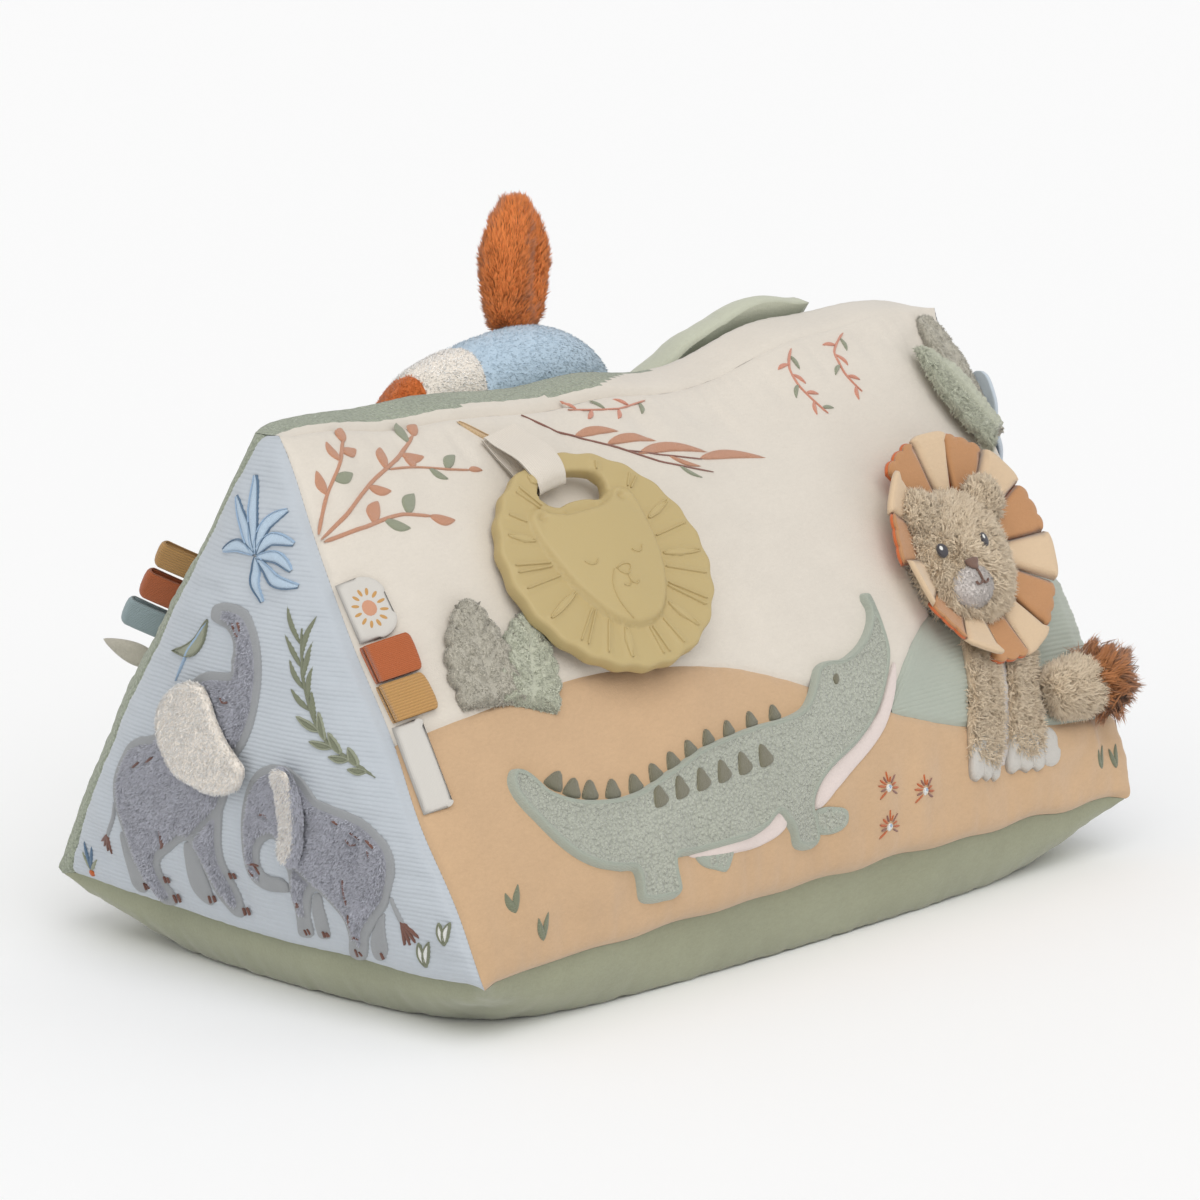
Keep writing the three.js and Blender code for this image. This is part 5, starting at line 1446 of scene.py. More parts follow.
def quiltedLeaf(name, body, node, slot, cloth, place, outline, veins, thickness, spacing=1.7, depth=1.5,
                fur=None, bubbles=None):
    work, edge = Work(), leaves["edge"]

    def form(x, y, away):
        points = np.stack([x, y], -1)
        sunk = np.zeros(len(x))
        for vein in veins:
            sunk = np.minimum(sunk, -depth * np.exp(-((distanceTo(points, vein) / leaves["veinWidth"]) ** 2)))
        hem = -leaves["hem"] * np.exp(-(((away - 2.2) / 0.6) ** 2))
        puff = 0.5 * np.clip(away / 5, 0, 1)
        if bubbles is not None:
            along, over = bubblePlaces(x, y, bubbles)
            puff = puff + 1.8 * abs(np.sin(along * 0.95) * np.sin(over * 1.1)) ** 0.6 * (over > 0.4)
        return sunk + hem + puff

    top, faces, _ = layPiece(work, outline, place, thickness, edge=edge, spacing=spacing, form=form,
                             rings=[0.25 * edge, 0.6 * edge, edge, 2.3, 3.2])
    flat = work.uvs[0]
    for vein in veins:
        line = curveThrough(vein, 4) if len(vein) > 2 else np.linspace(vein[0], vein[1], 9)
        stitchLine(work, place, line, 0.9, thickness - depth + 0.6, 1, taper=0.3, low=thickness - depth - 0.4)
    work.finish(name, body, [cloth, veinThread], [node], slot)
    if fur:
        where, normal, spots = surfaceSamples(top, faces, fur["count"], fur["seed"], None, flat)
        free = np.min([distanceTo(spots, vein) for vein in veins], axis=0) > 0.8
        if bubbles is not None:
            free &= bubblePlaces(*spots.T, bubbles)[1] < 0.4
        furOver(name + "_nap", body, where[free], normal[free], fur["length"], fur["material"], fur["seed"],
                width=0.42, comb=(0, -0.2, -1), lean=0.5, spread=0.6, clump=0.3, clumpSize=5)


greyLeafCloth = fabric("greyGreenFleece", colours["leafGrey"], "pile", 0.74, 1.14, bump=0.8, reach=0.001)
greenLeafCloth = fabric("paleGreenFleece", colours["leafGreen"], "pile", 0.78, 1.12, bump=0.8, reach=0.001)
veinThread = fabric("veinThread", scaled(colours["leafGrey"], 0.5), "threads", 0.85, 1.1, bump=0.4,
                    reach=0.0003)
greyLeafFur = furMaterial("greyGreenStrands", scaled(colours["leafGrey"], 1.05),
                          scaled(colours["leafGrey"], 1.5))
greenLeafFur = furMaterial("paleGreenStrands", scaled(colours["leafGreen"], 1.05),
                           scaled(colours["leafGreen"], 1.5))


def rootOf(joint, panel):
    point = toPanel(panel, hingeOf(joint)[0])
    return float(point[0]), float(point[1])


for leaf in [
    {"node": "leaf_left", "at": (5, 2), "length": 43, "width": 31, "turn": -0.11, "rise": 3.0,
     "cloth": greyLeafCloth, "slot": "grey_green_fleece", "fur": greyLeafFur, "seed": 31},
    {"node": "leaf_right", "at": (-5, 3), "length": 39, "width": 27, "turn": -0.42, "rise": 1.0,
     "cloth": greenLeafCloth, "slot": "pale_green_fleece", "fur": greenLeafFur, "seed": 32},
]:
    x0, y0 = np.add(rootOf(leaf["node"] + "_lift", "front"), leaf["at"])
    shape = lobedOutline(leaf["length"], leaf["width"], 5, notch=0.17, blunt=0.6)
    outline = placedAt(shape, x0, y0, leaf["turn"])
    veins = [placedAt(v, x0, y0, leaf["turn"]) for v in veinLines(leaf["length"], leaf["width"], 4)]
    size, rise = leaf["length"], leaf["rise"]
    quiltedLeaf(leaf["node"] + "_fleece", leaf["node"], leaf["node"], leaf["slot"], leaf["cloth"],
                lambda x, y, lift: onPanel(
                    "front", x, y, lift + 0.4 + rise * np.clip((y - y0) / size, 0, 1) ** 2),
                outline, veins, 3.4, fur={"count": 8000, "seed": leaf["seed"], "length": 1.0,
                                          "material": leaf["fur"]})

frondX, frondY = rootOf("frond_middle_lift", "front")
frondUpper = placedAt(lobedOutline(58, 25, 4, blunt=0.42), frondX, frondY + 2, 0.17)
quiltedLeaf("frond_upper_fleece", "cushion", "frond_upper", "grey_green_fleece", greyLeafCloth,
            panelPlace("front", 0.3), frondUpper,
            [placedAt(v, frondX + 1, frondY + 3, 0.17) for v in veinLines(58, 21, 6)], 3.8,
            fur={"count": 6000, "seed": 33, "length": 1.1, "material": greyLeafFur})
frondMiddle = placedAt(lobedOutline(50, 24, 5, notch=0.12, blunt=0.45), frondX - 5, frondY, 0.5)
quiltedLeaf("frond_middle_fleece", "frond_middle", "frond_middle", "pale_green_fleece", greenLeafCloth,
            panelPlace("front", 4.8), frondMiddle,
            [placedAt([(0, 3), (0, 46)], frondX - 5, frondY, 0.5)], 3.8, spacing=1.2,
            fur={"count": 8000, "seed": 34, "length": 2.2, "material": greenLeafFur},
            bubbles=placedAt([(0.3, 0), (0.3, 46)], frondX - 5, frondY, 0.5))
blueX, blueY = rootOf("frond_blue_lift", "right")
blueCottonCloth = fabric("paleBlueJersey", colours["paleBlue"], "pile", 0.88, 1.05, bump=0.3)
quiltedLeaf("frond_blue_jersey", "frond_blue", "frond_blue", "pale_blue_jersey", blueCottonCloth,
            panelPlace("right", 0.4),
            placedAt(lobedOutline(41, 25, 2, notch=0.2, blunt=0.5), blueX, blueY - 2, 0.16),
            [placedAt([(0, 4), (0, 33)], blueX, blueY - 2, 0.16)], 3.4, depth=0.9)
print("leaves made")


# Tags in the seam between the left end and the front panel.

satinWhite = fabric("whiteSatin", colours["labelWhite"], "weave", 0.95, 1.02, bump=0.15, reach=0.0002,
                    sheen=0.1, roughness=0.6, pitch=0.5)
ribbons = {name: fabric(name + "Ribbon", colour, "weave", dark, light, bump=bump, reach=0.0003, pitch=pitch)
           for name, colour, dark, light, bump, pitch in [
               ("rust", colours["rust"], 0.84, 1.1, 0.5, 0.7),
               ("ochre", colours["ochre"], 0.82, 1.12, 0.6, 1.1),
               # The next two are the rust and ochre ribbons darkened for the back loops: painted shade, as
               # those loops lie in shade behind the cushion.
               ("shadedRust", scaled(colours["rust"], 0.85), 0.84, 1.1, 0.5, 0.7),
               ("shadedOchre", scaled(colours["ochre"], 0.8), 0.84, 1.1, 0.5, 1.1),
               ("mist", colours["mist"], 0.86, 1.1, 0.5, 0.7)]}
printOchre = fabric("ochrePrint", colours["ochre"], "weave", 0.95, 1.05, bump=0.1, pitch=0.5)
printRust = fabric("terracottaPrint", colours["terracotta"], "weave", 0.95, 1.05, bump=0.1, pitch=0.5)


def flatTag(name, body, low, high, length, corner, materials, prints=()):
    # A thin label whose free corners are rounded; it curls a little away from the cloth.
    outline = [(0, low + 0.4), (length - corner, low)]
    outline += [(length - corner + corner * math.sin(a), low + corner - corner * math.cos(a))
                for a in np.linspace(0.2, math.pi / 2, 7)]
    outline += [(length - corner + corner * math.cos(a), high - corner + corner * math.sin(a))
                for a in np.linspace(0, math.pi / 2 - 0.2, 7)]
    outline += [(length - corner, high), (0, high - 0.4)]
    tagRoot = rootOf(body + "_lift", "front")[0]
    outline = np.array(outline) + [tagRoot, 0]

    def place(x, y, lift):
        free = np.clip((x - tagRoot) / length, 0, 1)
        return onPanel("front", x, y, lift + 0.5 + 1.1 * free ** 2)

    work = Work()
    layPiece(work, outline, place, 0.9, edge=0.4, spacing=1.8)
    turns = evenTurns(14)
    for slot, centre, radius, turn in prints:
        dot = placedAt(np.stack([np.cos(turns), np.sin(turns)], -1) * radius, *centre, turn)
        layPiece(work, dot, place, 0.06, edge=0.05, spacing=1.5, slot=slot, closed=False, low=0.92)
    work.finish(name, body, materials, [body], "white_satin")


def foldedRibbon(work, place, length, low, high, tall, thick, lift=0):
    # A ribbon folded back on itself, with its two ends at the seam and its fold at the free end.
    turns = np.linspace(-math.pi / 2, math.pi / 2, 9)
    fold = tall / 2 - thick / 2
    section = [(0, thick / 2), (length * 0.35, thick / 2 + 0.1), (length - fold - 0.5, thick / 2)]
    section += [(length - fold + fold * math.cos(a), tall / 2 + fold * math.sin(a)) for a in turns]
    section += [(length - fold - 0.5, tall - thick / 2), (length * 0.35, tall - thick / 2 - 0.2),
                (0, tall * 0.72)]
    line = curveThrough(section, 4)
    side = leftOf(np.gradient(line, axis=0))
    across = np.array([0, 0.04, 0.12, 0.3, 0.5, 0.7, 0.88, 0.96, 1])
    thin = np.array([0.3, 0.8, 1, 1, 1, 1, 1, 0.8, 0.3])
    pull = np.clip(line[:, :1] / length, 0, 1) ** 3 * (abs(across - 0.5) * 2) ** 4 * 1.1
    y = low + (high - low) * across * np.ones((len(line), 1))
    uv = np.stack([y, lengthsAlong(line)[:, None] * np.ones(len(across))], -1).reshape(-1, 2)
    first, count = work.count, len(uv)
    for offset in (-thick / 2, thick / 2):
        x = line[:, :1] + side[:, :1] * offset * thin - pull
        z = line[:, 1:] + side[:, 1:] * offset * thin
        work.add(place(x.ravel(), y.ravel(), z.ravel() + lift), gridFaces(*y.shape, flip=offset < 0), uv, 0)
    grid = first + np.arange(count).reshape(y.shape)
    for border in (grid[:, 0], grid[::-1, -1], grid[0, ::-1], grid[-1]):
        border = border.tolist()
        work.addSkin([[a, b, b + count, a + count] for a, b in zip(border, border[1:])], 0)


def seamPlace(joint):
    root = rootOf(joint, "front")[0]
    return lambda x, y, lift: onPanel("front", x + root, y, lift)


flatTag("label_satin", "blank_label", 68, 104, 11, 2, [satinWhite])
sunCentre = (rootOf("round_tag_lift", "front")[0] + 8, 149.5)
sunPrints = [(2, sunCentre, (2.6, 3.2), 0)]
for k in range(12):
    a = 2 * math.pi * k / 12 + 0.2
    place = (sunCentre[0] + 4.9 * math.cos(a), sunCentre[1] + 6.6 * math.sin(a))
    sunPrints.append((1, place, (1.5, 0.62), a))
flatTag("round_tag_satin", "round_tag", 137, 162, 16, 7.5, [satinWhite, printOchre, printRust], sunPrints)
for name, low, tall, thick in (("ochre", 105, 3.4, 1.1), ("rust", 121, 4, 1.3)):
    work, body = Work(), name + "_loop"
    foldedRibbon(work, seamPlace(body + "_lift"), 17.5, low, low + 15, tall, thick, lift=0.4)
    work.finish(body + "_ribbon", body, [ribbons[name]], [body], name + "_ribbon")

backTags = {"lean": 0.85}
side, up, over = panels["back"]["axes"]
out = side * math.cos(backTags["lean"]) + over * math.sin(backTags["lean"])
for name, width, length, tall, cloth, slot in [
    # The back ochre and rust loops take the darkened ribbons: their colour is painted shade.
    ("back_ochre_loop", 11, 20, 4.2, ribbons["shadedOchre"], "ochre_ribbon"),
    ("back_rust_loop", 12.5, 20, 4.8, ribbons["shadedRust"], "rust_ribbon"),
    ("back_mist_loop", 12, 22, 4.2, ribbons["mist"], "mist_ribbon"),
    ("back_leaf_tag", 10, 25, 3, greyLeafCloth, "grey_green_fleece"),
]:
    work, root = Work(), hingeOf(name + "_bend")[0]

    def standing(x, y, lift):
        bent = lift - tall / 2 + 0.004 * np.asarray(x) ** 2
        return root + np.outer(x, out) + np.outer(y, up) + np.outer(bent, np.cross(out, up))

    if name.endswith("tag"):
        shape = leafShape((0, 0), (length, 0), width, 0, 20, 0.42)[0]
        shape[:, 0] = np.maximum(shape[:, 0], 0.5)
        for place in (standing, lambda x, y, lift: standing(x, y, tall - lift)):
            layPiece(work, shape, place, 1.5, edge=1.3, spacing=2, low=tall / 2, closed=False)
    else:
        foldedRibbon(work, standing, length, -width / 2, width / 2, tall, 1.2)
    work.finish(name + "_cloth", name, [cloth], [name], slot)
print("tags made")


# Rounded stuffed forms.

def turning(x, y):
    cx, sx, cy, sy = math.cos(x), math.sin(x), math.cos(y), math.sin(y)
    return np.array([[1, 0, 0], [0, cx, -sx], [0, sx, cx]]) @ np.array([[cy, 0, sy], [0, 1, 0], [-sy, 0, cy]])


def frameAt(origin, axes):
    # axes holds the frame's directions in its columns.
    return lambda points: origin + np.asarray(points) @ axes.T


def skinRings(rings):
    # A closed form through rings that run counterclockwise about the way forward.
    rings = np.asarray(rings)
    count, around = rings.shape[:2]
    points = np.concatenate([rings.reshape(-1, 3), [rings[0].mean(0), rings[-1].mean(0)]])
    first, last = count * around, count * around + 1
    faces = []
    for j in range(around):
        k = (j + 1) % around
        for i in range(count - 1):
            faces.append([i * around + j, i * around + k, (i + 1) * around + k, (i + 1) * around + j])
        faces.append([first, k, j])
        faces.append([last, (count - 1) * around + j, (count - 1) * around + k])
    return points, faces


def ballRings(centre, sizes, low=-90, count=14, around=28):
    rise = np.radians(np.linspace(low, 90, count + 2))[0 if low > -90 else 1:-1]
    turns = evenTurns(around)
    rings = [np.stack([np.cos(e) * np.cos(turns) * sizes[0], np.cos(e) * np.sin(turns) * sizes[1],
                       np.full(around, np.sin(e) * sizes[2])], -1) + centre for e in rise]
    return np.array(rings)


def limbRings(stations, around=24, power=2.3):
    # Stations are [x, half height, half thickness]; the rings run round the x axis.
    line = np.array(stations, float)
    at = np.linspace(line[0, 0], line[-1, 0], 26)
    tall, thick = np.interp(at, line[:, 0], line[:, 1]), np.interp(at, line[:, 0], line[:, 2])
    for _ in range(2):
        tall[1:-1] = (tall[:-2] + 2 * tall[1:-1] + tall[2:]) / 4
        thick[1:-1] = (thick[:-2] + 2 * thick[1:-1] + thick[2:]) / 4
    turns = evenTurns(around)
    c, s = np.cos(turns), np.sin(turns)
    c, s = np.sign(c) * abs(c) ** (2 / power), np.sign(s) * abs(s) ** (2 / power)
    return np.array([np.stack([np.full(around, x), a * c, b * s], -1) for x, a, b in zip(at, tall, thick)])


tuft = {"locks": 110, "strands": 75, "width": 0.55, "rootSpread": 3.4, "tipSpread": 1.3, "wave": 0.3}


def shaggy(name, body, roots, ways, lengths, material, seed):
    # Locks of long pile: each lock's strands start apart and come together near its tip.
    turn = np.random.default_rng(seed)
    each = tuft["strands"]
    count = len(roots) * each
    root = np.repeat(roots, each, 0) + turn.normal(size=(count, 3)) * tuft["rootSpread"] / 2
    way = np.repeat(ways, each, 0)
    full = np.repeat(lengths, each)
    long = full * (0.55 + 0.45 * turn.random(count))
    tip = np.repeat(roots + ways * lengths[:, None], each, 0) + turn.normal(size=(count,
                                                                                  3)) * tuft["tipSpread"]
    drift = np.repeat(turn.normal(size=(len(roots), 3)), each, 0) * tuft["wave"] * long[:, None]
    end = root + (tip - root) * (long / full)[:, None]
    across = np.cross(way, turn.normal(size=(count, 3)))
    across *= tuft["width"] / 2 / np.maximum(1e-6, np.linalg.norm(across, axis=1))[:, None]
    rows = []
    for t, narrow in ((0, 1), (0.35, 1), (0.7, 0.7)):
        row = root + (end - root) * t + drift * t * (1 - t)
        rows += [row - across * narrow, row + across * narrow]
    points = np.stack([*rows, end], 1).reshape(-1, 3)
    faces = [f for a in range(0, 7 * count, 7)
             for f in ([a, a + 1, a + 3, a + 2], [a + 2, a + 3, a + 5, a + 4], [a + 4, a + 5, a + 6])]
    tone = turn.random(count)
    uv = np.stack([np.repeat(tone, 7), np.tile([0, 0, 0.35, 0.35, 0.7, 0.7, 1], count)], -1)
    soft = root - roots.mean(0)
    soft = soft / np.maximum(1e-6, np.linalg.norm(soft, axis=1))[:, None] + 0.5 * way
    strands(name, body, points, faces, uv, soft + 0.3 * turn.normal(size=(count, 3)), material)


# The lion: legs and satin paws on the cloth, a soft head on a felt mane, and a stuffed tail.

lion = {"headHeight": 14, "headRadius": (27, 28), "headAt": (-8, -3), "maneLow": 5.9, "headLow": 7.6,
        "eyeOut": 11.4, "eyeUp": 3.5, "muzzleDown": 12.5, "faceAside": -6, "shift": (-12.5, 1, -0.5),
        "lean": (0.03, 0), "earOut": 19.5, "earUp": 20.5, "earSize": (8.5, 9, 4.6), "neck": 11}
lionCloth = fabric("lionPlush", colours["lion"], "pile", 0.8, 1.15, bump=0.9, reach=0.0015)
lionFur = furMaterial("lionStrands", scaled(colours["lion"], 1.2), linear(247, 227, 198), mottle=0.3)
paleFur = furMaterial("paleStrands", scaled(colours["pale"], 0.85), scaled(colours["pale"], 1.1), mottle=0.15)
paleCloth = fabric("palePlush", colours["pale"], "pile", 0.9, 1.05, bump=0.6)
pawSatin = fabric("pawSatin", scaled(colours["labelWhite"], 1.0), "threads", 0.94, 1.02, bump=0.5,
                  reach=0.0003,
                  roughness=0.6)
stripSatin = fabric("stripSatin", colours["pale"], "threads", 0.92, 1.03, bump=0.5, reach=0.0003)
brownFelt = fabric("brownFelt", colours["petalBrown"], "pile", 0.88, 1.06, bump=0.5, reach=0.0005)
rustFelt = fabric("rustFelt", colours["petalEdge"], "pile", 0.85, 1.08, bump=0.5, reach=0.0005)
creamFelt = fabric("creamFelt", colours["petalCream"], "pile", 0.9, 1.05, bump=0.5, reach=0.0005)
darkThread = fabric("darkThread", colours["eye"], "threads", 0.8, 1.15, bump=0.4, reach=0.0002, roughness=0.5)
noseThread = fabric("noseThread", colours["nose"], "threads", 0.85, 1.1, bump=0.4, reach=0.0002,
                    roughness=0.6)
whiteThread = fabric("whiteThread", colours["threadWhite"], "threads", 0.94, 1.04, bump=0.4, reach=0.0002,
                     roughness=0.6)

frontAxes = np.array(panels["front"]["axes"]).T
headPlace = hingeOf("lion_head_turn")[0] + frontAxes @ lion["shift"]
headAxes = frontAxes @ turning(*lion["lean"])
headWorld = frameAt(headPlace, headAxes)


def roundedBox(x, y, width, height, corner):
    points = []
    for k, (cx, cy) in enumerate([(1, -1), (1, 1), (-1, 1), (-1, -1)]):
        for a in np.linspace(-math.pi / 2, 0, 5) + k * math.pi / 2:
            points.append((x + cx * (width / 2 - corner) + corner * math.cos(a),
                           y + cy * (height / 2 - corner) + corner * math.sin(a)))
    return np.array(points)


legWork, pawWork = Work(), Work()
legTops = []
layPiece(pawWork, roundedBox(136.5, 27.5, 12.5, 16, 5.5), frontPlace, 1.6, edge=1.2, spacing=1.6,
         closed=False)
strip = [(-3.4, -2), (3.4, -2), (2.6, 24), (1.8, 44), (0, 52), (-1.8, 44), (-2.6, 24)]
layPiece(pawWork, curveThrough(placedAt(strip, 108.5, 28, -0.36), 4, True), frontPlace, 1.1, edge=0.8,
         spacing=1.8,
         slot=1, closed=False)
for x, y in ((95.5, 30), (121.5, 29)):
    outline = [(-9.8, -1), (-9.4, 26), (-9.8, 44), (-8, 53), (0, 55), (8, 53), (9.8, 44), (9.4, 26),
               (9.8, -1), (0, -4)]
    outline = curveThrough(placedAt(outline, x, y, -0.36), 4, True)
    top, faces, away = layPiece(legWork, outline, frontPlace, 2.6, edge=2.2, spacing=2.2)
    legTops.append(((top, faces), np.clip((away - 0.4) / 1.5, 0, 1)))
    paw = [(-9.5, -8), (-10, -2), (-8, 5), (-3, 8.5), (4, 8.5), (9, 5), (10.4, -2), (9.6, -8), (6.6, -9.4),
           (4, -8), (1.2, -9.6), (-2.4, -8), (-5.4, -9.4)]
    layPiece(pawWork, curveThrough(placedAt(paw, x, y, -0.15), 4, True), frontPlace, 3.2, edge=1.6,
             spacing=1.5)
    for toe in (-3.6, 2.8):
        line = curveThrough(placedAt([(toe, -7.8), (toe - 0.3, -3.5), (toe + 0.3, 0.5)], x, y, -0.15), 5)
        stitchLine(pawWork, frontPlace, line, 1.1, 3.7, low=2.6)
neckSize = (lion["neck"], lion["neck"], lion["maneLow"] - 0.6)
legWork.addForm(headWorld(ballRings((0, 0, 0), neckSize, -40, 6, 20)))
legWork.finish("lion_legs", "cushion", [lionCloth], ["lion_leg_left", "lion_leg_right", "lion_neck"],
               "lion_plush")
pawWork.finish("lion_paws", "cushion", [pawSatin, stripSatin], ["lion_paw_left", "lion_paw_right"],
               "pale_plush")
for k, (skin, weight) in enumerate(legTops):
    pileOver(f"lion_leg_nap_{k + 1}", "cushion", skin, 6500, 3.4, lionFur, 41 + k, weight, width=0.5,
             comb=(0, 0.3, -1), lean=0.6, spread=0.6, curl=0.6, clump=0.5, clumpSize=5)

maneWork = Work()
petals = {"count": 14, "inner": 15, "outer": 51.5, "rise": 12}


def petalPlace(angle, rise, low):
    def place(x, y, lift):
        t = np.clip((x - petals["inner"]) / (petals["outer"] - petals["inner"]), 0, 1.2)
        z = low + lift + rise * t ** 1.5
        r = x - 0.32 * rise * t ** 2.2
        turned = placedAt(np.stack([r, y], -1), 0, 0, angle)
        return headWorld(np.column_stack([turned, z]))
    return place


def petalOutline(outer, shrink, scallops):
    widest = math.tan(math.pi / petals["count"]) * (outer - 2) - shrink
    inner = math.tan(math.pi / petals["count"]) * petals["inner"] - 0.3
    ys = np.linspace(-1, 1, 25)
    edge = outer - 2.4 * abs(ys) ** 4
    if scallops:
        edge = edge - 1.3 * (1 - abs(np.sin(math.pi * (ys + 1) / 2 * scallops)) ** 0.7)
    end = np.stack([edge, ys * widest], -1)
    return np.concatenate([[(petals["inner"], -inner)], end, [(petals["inner"], inner)]])


for i in range(petals["count"]):
    angle = 2 * math.pi * (i + 0.5) / petals["count"]
    facing = max(0.0, -math.cos(angle - 0.35))
    rise = 1.5 + petals["rise"] * facing ** 1.2 + 1.2 * math.sin(5.1 * i)
    if i % 2:
        layPiece(maneWork, petalOutline(petals["outer"], 0.5, 0),
                 petalPlace(angle, rise + 1.6, lion["maneLow"]),
                 2.9, edge=1.3, spacing=2.2, slot=1)
    else:
        layPiece(maneWork, petalOutline(petals["outer"] - 0.4, -0.1, 3),
                 petalPlace(angle, rise - 0.4, lion["maneLow"]),
                 1.5, edge=0.5, spacing=2.2, slot=2)
        layPiece(maneWork, petalOutline(petals["outer"] - 0.9, 0.1, 3),
                 petalPlace(angle, rise - 0.4, lion["maneLow"] + 1.5), 1.3, edge=0.5, spacing=2.2, slot=0)
maneWork.finish("lion_mane", "lion_head", [brownFelt, creamFelt, rustFelt],
                [f"mane_petal_{i + 1}" for i in range(petals["count"])], "brown_felt")

headWork = Work()
headX, headY = lion["headAt"]
faceX = headX + lion["faceAside"]
headRings = ballRings((headX, headY, lion["headLow"]), (*lion["headRadius"], lion["headHeight"]), 0, 12, 36)
lean = np.arctan2(headRings[..., 1] - headY, headRings[..., 0] - headX)
squarer = 1 + 0.05 * np.cos(4 * lean + math.pi)[..., None] * [1, 1, 0]
headRings = (headRings - [headX, headY, 0]) * squarer + [headX, headY, 0]
headPoints, headFaces = headWork.addForm(headWorld(headRings))
earSkins = []
for side in (-1, 1):
    centre = (headX + 3 + side * lion["earOut"], headY + lion["earUp"], lion["headLow"] + 6)
    earSkins.append(headWork.addForm(headWorld(ballRings(centre, lion["earSize"], -90, 8, 20))))
headWork.finish("lion_head_plush", "lion_head", [lionCloth], ["lion_head", "lion_ear_left", "lion_ear_right"],
                "lion_plush")


def domeAt(x, y):
    rx, ry = lion["headRadius"]
    inner = 1 - ((x - headX) / rx) ** 2 - ((y - headY) / ry) ** 2
    return lion["headLow"] + lion["headHeight"] * np.sqrt(np.maximum(0, inner))


headUp = headWorld([[0, 1, 0]])[0] - headPlace
headRight = headWorld([[1, 0, 0]])[0] - headPlace
local = (headPoints - headPlace) @ headAxes
muzzleY = headY - lion["muzzleDown"]
faceFree = np.minimum(np.hypot((local[:, 0] - faceX) / 11.5, (local[:, 1] - muzzleY) / 8.5) > 1,
                      local[:, 2] > lion["headLow"] + 0.5).astype(float)
where, normal = surfaceSamples(headPoints, headFaces, 17000, 45, faceFree + 0.001)
spot = (where - headPlace) @ headAxes
fromFace = np.stack([spot[:, 0] - faceX, spot[:, 1] - (headY - 2)], -1)
fromFace /= np.maximum(4, np.hypot(*fromFace.T))[:, None]
comb = fromFace[:, :1] * headRight + fromFace[:, 1:] * headUp - 0.35 * headUp
eyeClear = np.ones(len(where))
for side in (-1, 1):
    eyeAway = np.hypot(spot[:, 0] - faceX - side * lion["eyeOut"], spot[:, 1] - headY - lion["eyeUp"])
    eyeClear = np.minimum(eyeClear, np.clip((eyeAway - 2.2) / 4.5, 0.3, 1))
noseAway = np.hypot(spot[:, 0] - faceX, spot[:, 1] - muzzleY - 6)
eyeClear = np.minimum(eyeClear, np.clip((noseAway - 3) / 5, 0.3, 1))
for share, seed in ((eyeClear >= 0.9, 45), (eyeClear < 0.9, 46)):
    furOver(f"lion_face_nap_{seed}", "lion_head", where[share], normal[share], 4.4 if seed == 45 else 2.0,
            lionFur, seed, width=0.5, comb=comb[share], lean=0.8, spread=0.5, curl=0.7, clump=0.55,
            clumpSize=5)
for k, skin in enumerate(earSkins):
    pileOver(f"lion_ear_nap_{k + 1}", "lion_head", skin, 3800, 4, lionFur, 47 + k, width=0.5,
             comb=headUp, lean=0.3, spread=0.7, curl=0.6, clump=0.5, clumpSize=4)

muzzleZ = float(domeAt(faceX, muzzleY)) - 3.4
muzzleSize = (11.5, 9.6, 7)
muzzleWork = Work()
skin = muzzleWork.addForm(headWorld(ballRings((faceX, muzzleY, muzzleZ), muzzleSize, -20, 8, 26)))
muzzleWork.finish("lion_muzzle_plush", "lion_head", [paleCloth], ["lion_muzzle"], "pale_plush")
pileOver("lion_muzzle_nap", "lion_head", skin, 5200, 1.1, paleFur, 49, width=0.4, comb=-headUp, lean=0.8,
         spread=0.4, clump=0.2, clumpSize=4)


def muzzleAt(x, y):
    inner = 1 - ((x - faceX) / muzzleSize[0]) ** 2 - ((y - muzzleY) / muzzleSize[1]) ** 2
    return np.maximum(muzzleZ + muzzleSize[2] * np.sqrt(np.maximum(0, inner)), domeAt(x, y))


def facePlace(shift):
    return lambda x, y, lift: headWorld(np.stack([x, y, muzzleAt(x, y) + lift + shift], -1))


faceWork = Work()
noseY = muzzleY + 7.6
nose = curveThrough([(-3.3, 1.9), (0, 2.6), (3.3, 1.9), (3, -0.2), (0.9, -2.6), (-0.9, -2.6), (-3, -0.2)], 5,
                    True)
layPiece(faceWork, nose + [faceX, noseY], facePlace(0.5), 1.5, edge=1.2, spacing=0.9, slot=1)
for line in [[(0, -2.4), (0, -7.6)], [(0, -7.6), (1.2, -9), (3, -8.8), (3.6, -7.6)],
             [(0, -7.6), (-1.2, -9), (-3, -8.8), (-3.6, -7.6)]]:
    line = np.array(line, float) + [faceX, noseY]
    line = curveThrough(line, 5) if len(line) > 2 else np.linspace(line[0], line[1], 8)
    stitchLine(faceWork, facePlace(0.3), line, 0.75, 1.1, slot=1, taper=0.2, low=0)
oval = evenTurns(20)
for side in (-1, 1):
    at = np.array([faceX + side * lion["eyeOut"], headY + lion["eyeUp"]])
    eye = np.stack([2.1 * np.cos(oval), 3.1 * np.sin(oval)], -1) + at
    layPiece(faceWork, eye, facePlace(0.9), 1.1, edge=0.9, spacing=0.8, slot=0)
    glint = np.stack([0.6 * np.cos(oval), 1.0 * np.sin(oval)], -1) + at + [-0.7, 1.0]
    layPiece(faceWork, glint, facePlace(1.9), 0.3, edge=0.3, spacing=0.6, slot=2, closed=False)
faceWork.finish("lion_face_stitches", "lion_head", [darkThread, noseThread, whiteThread])

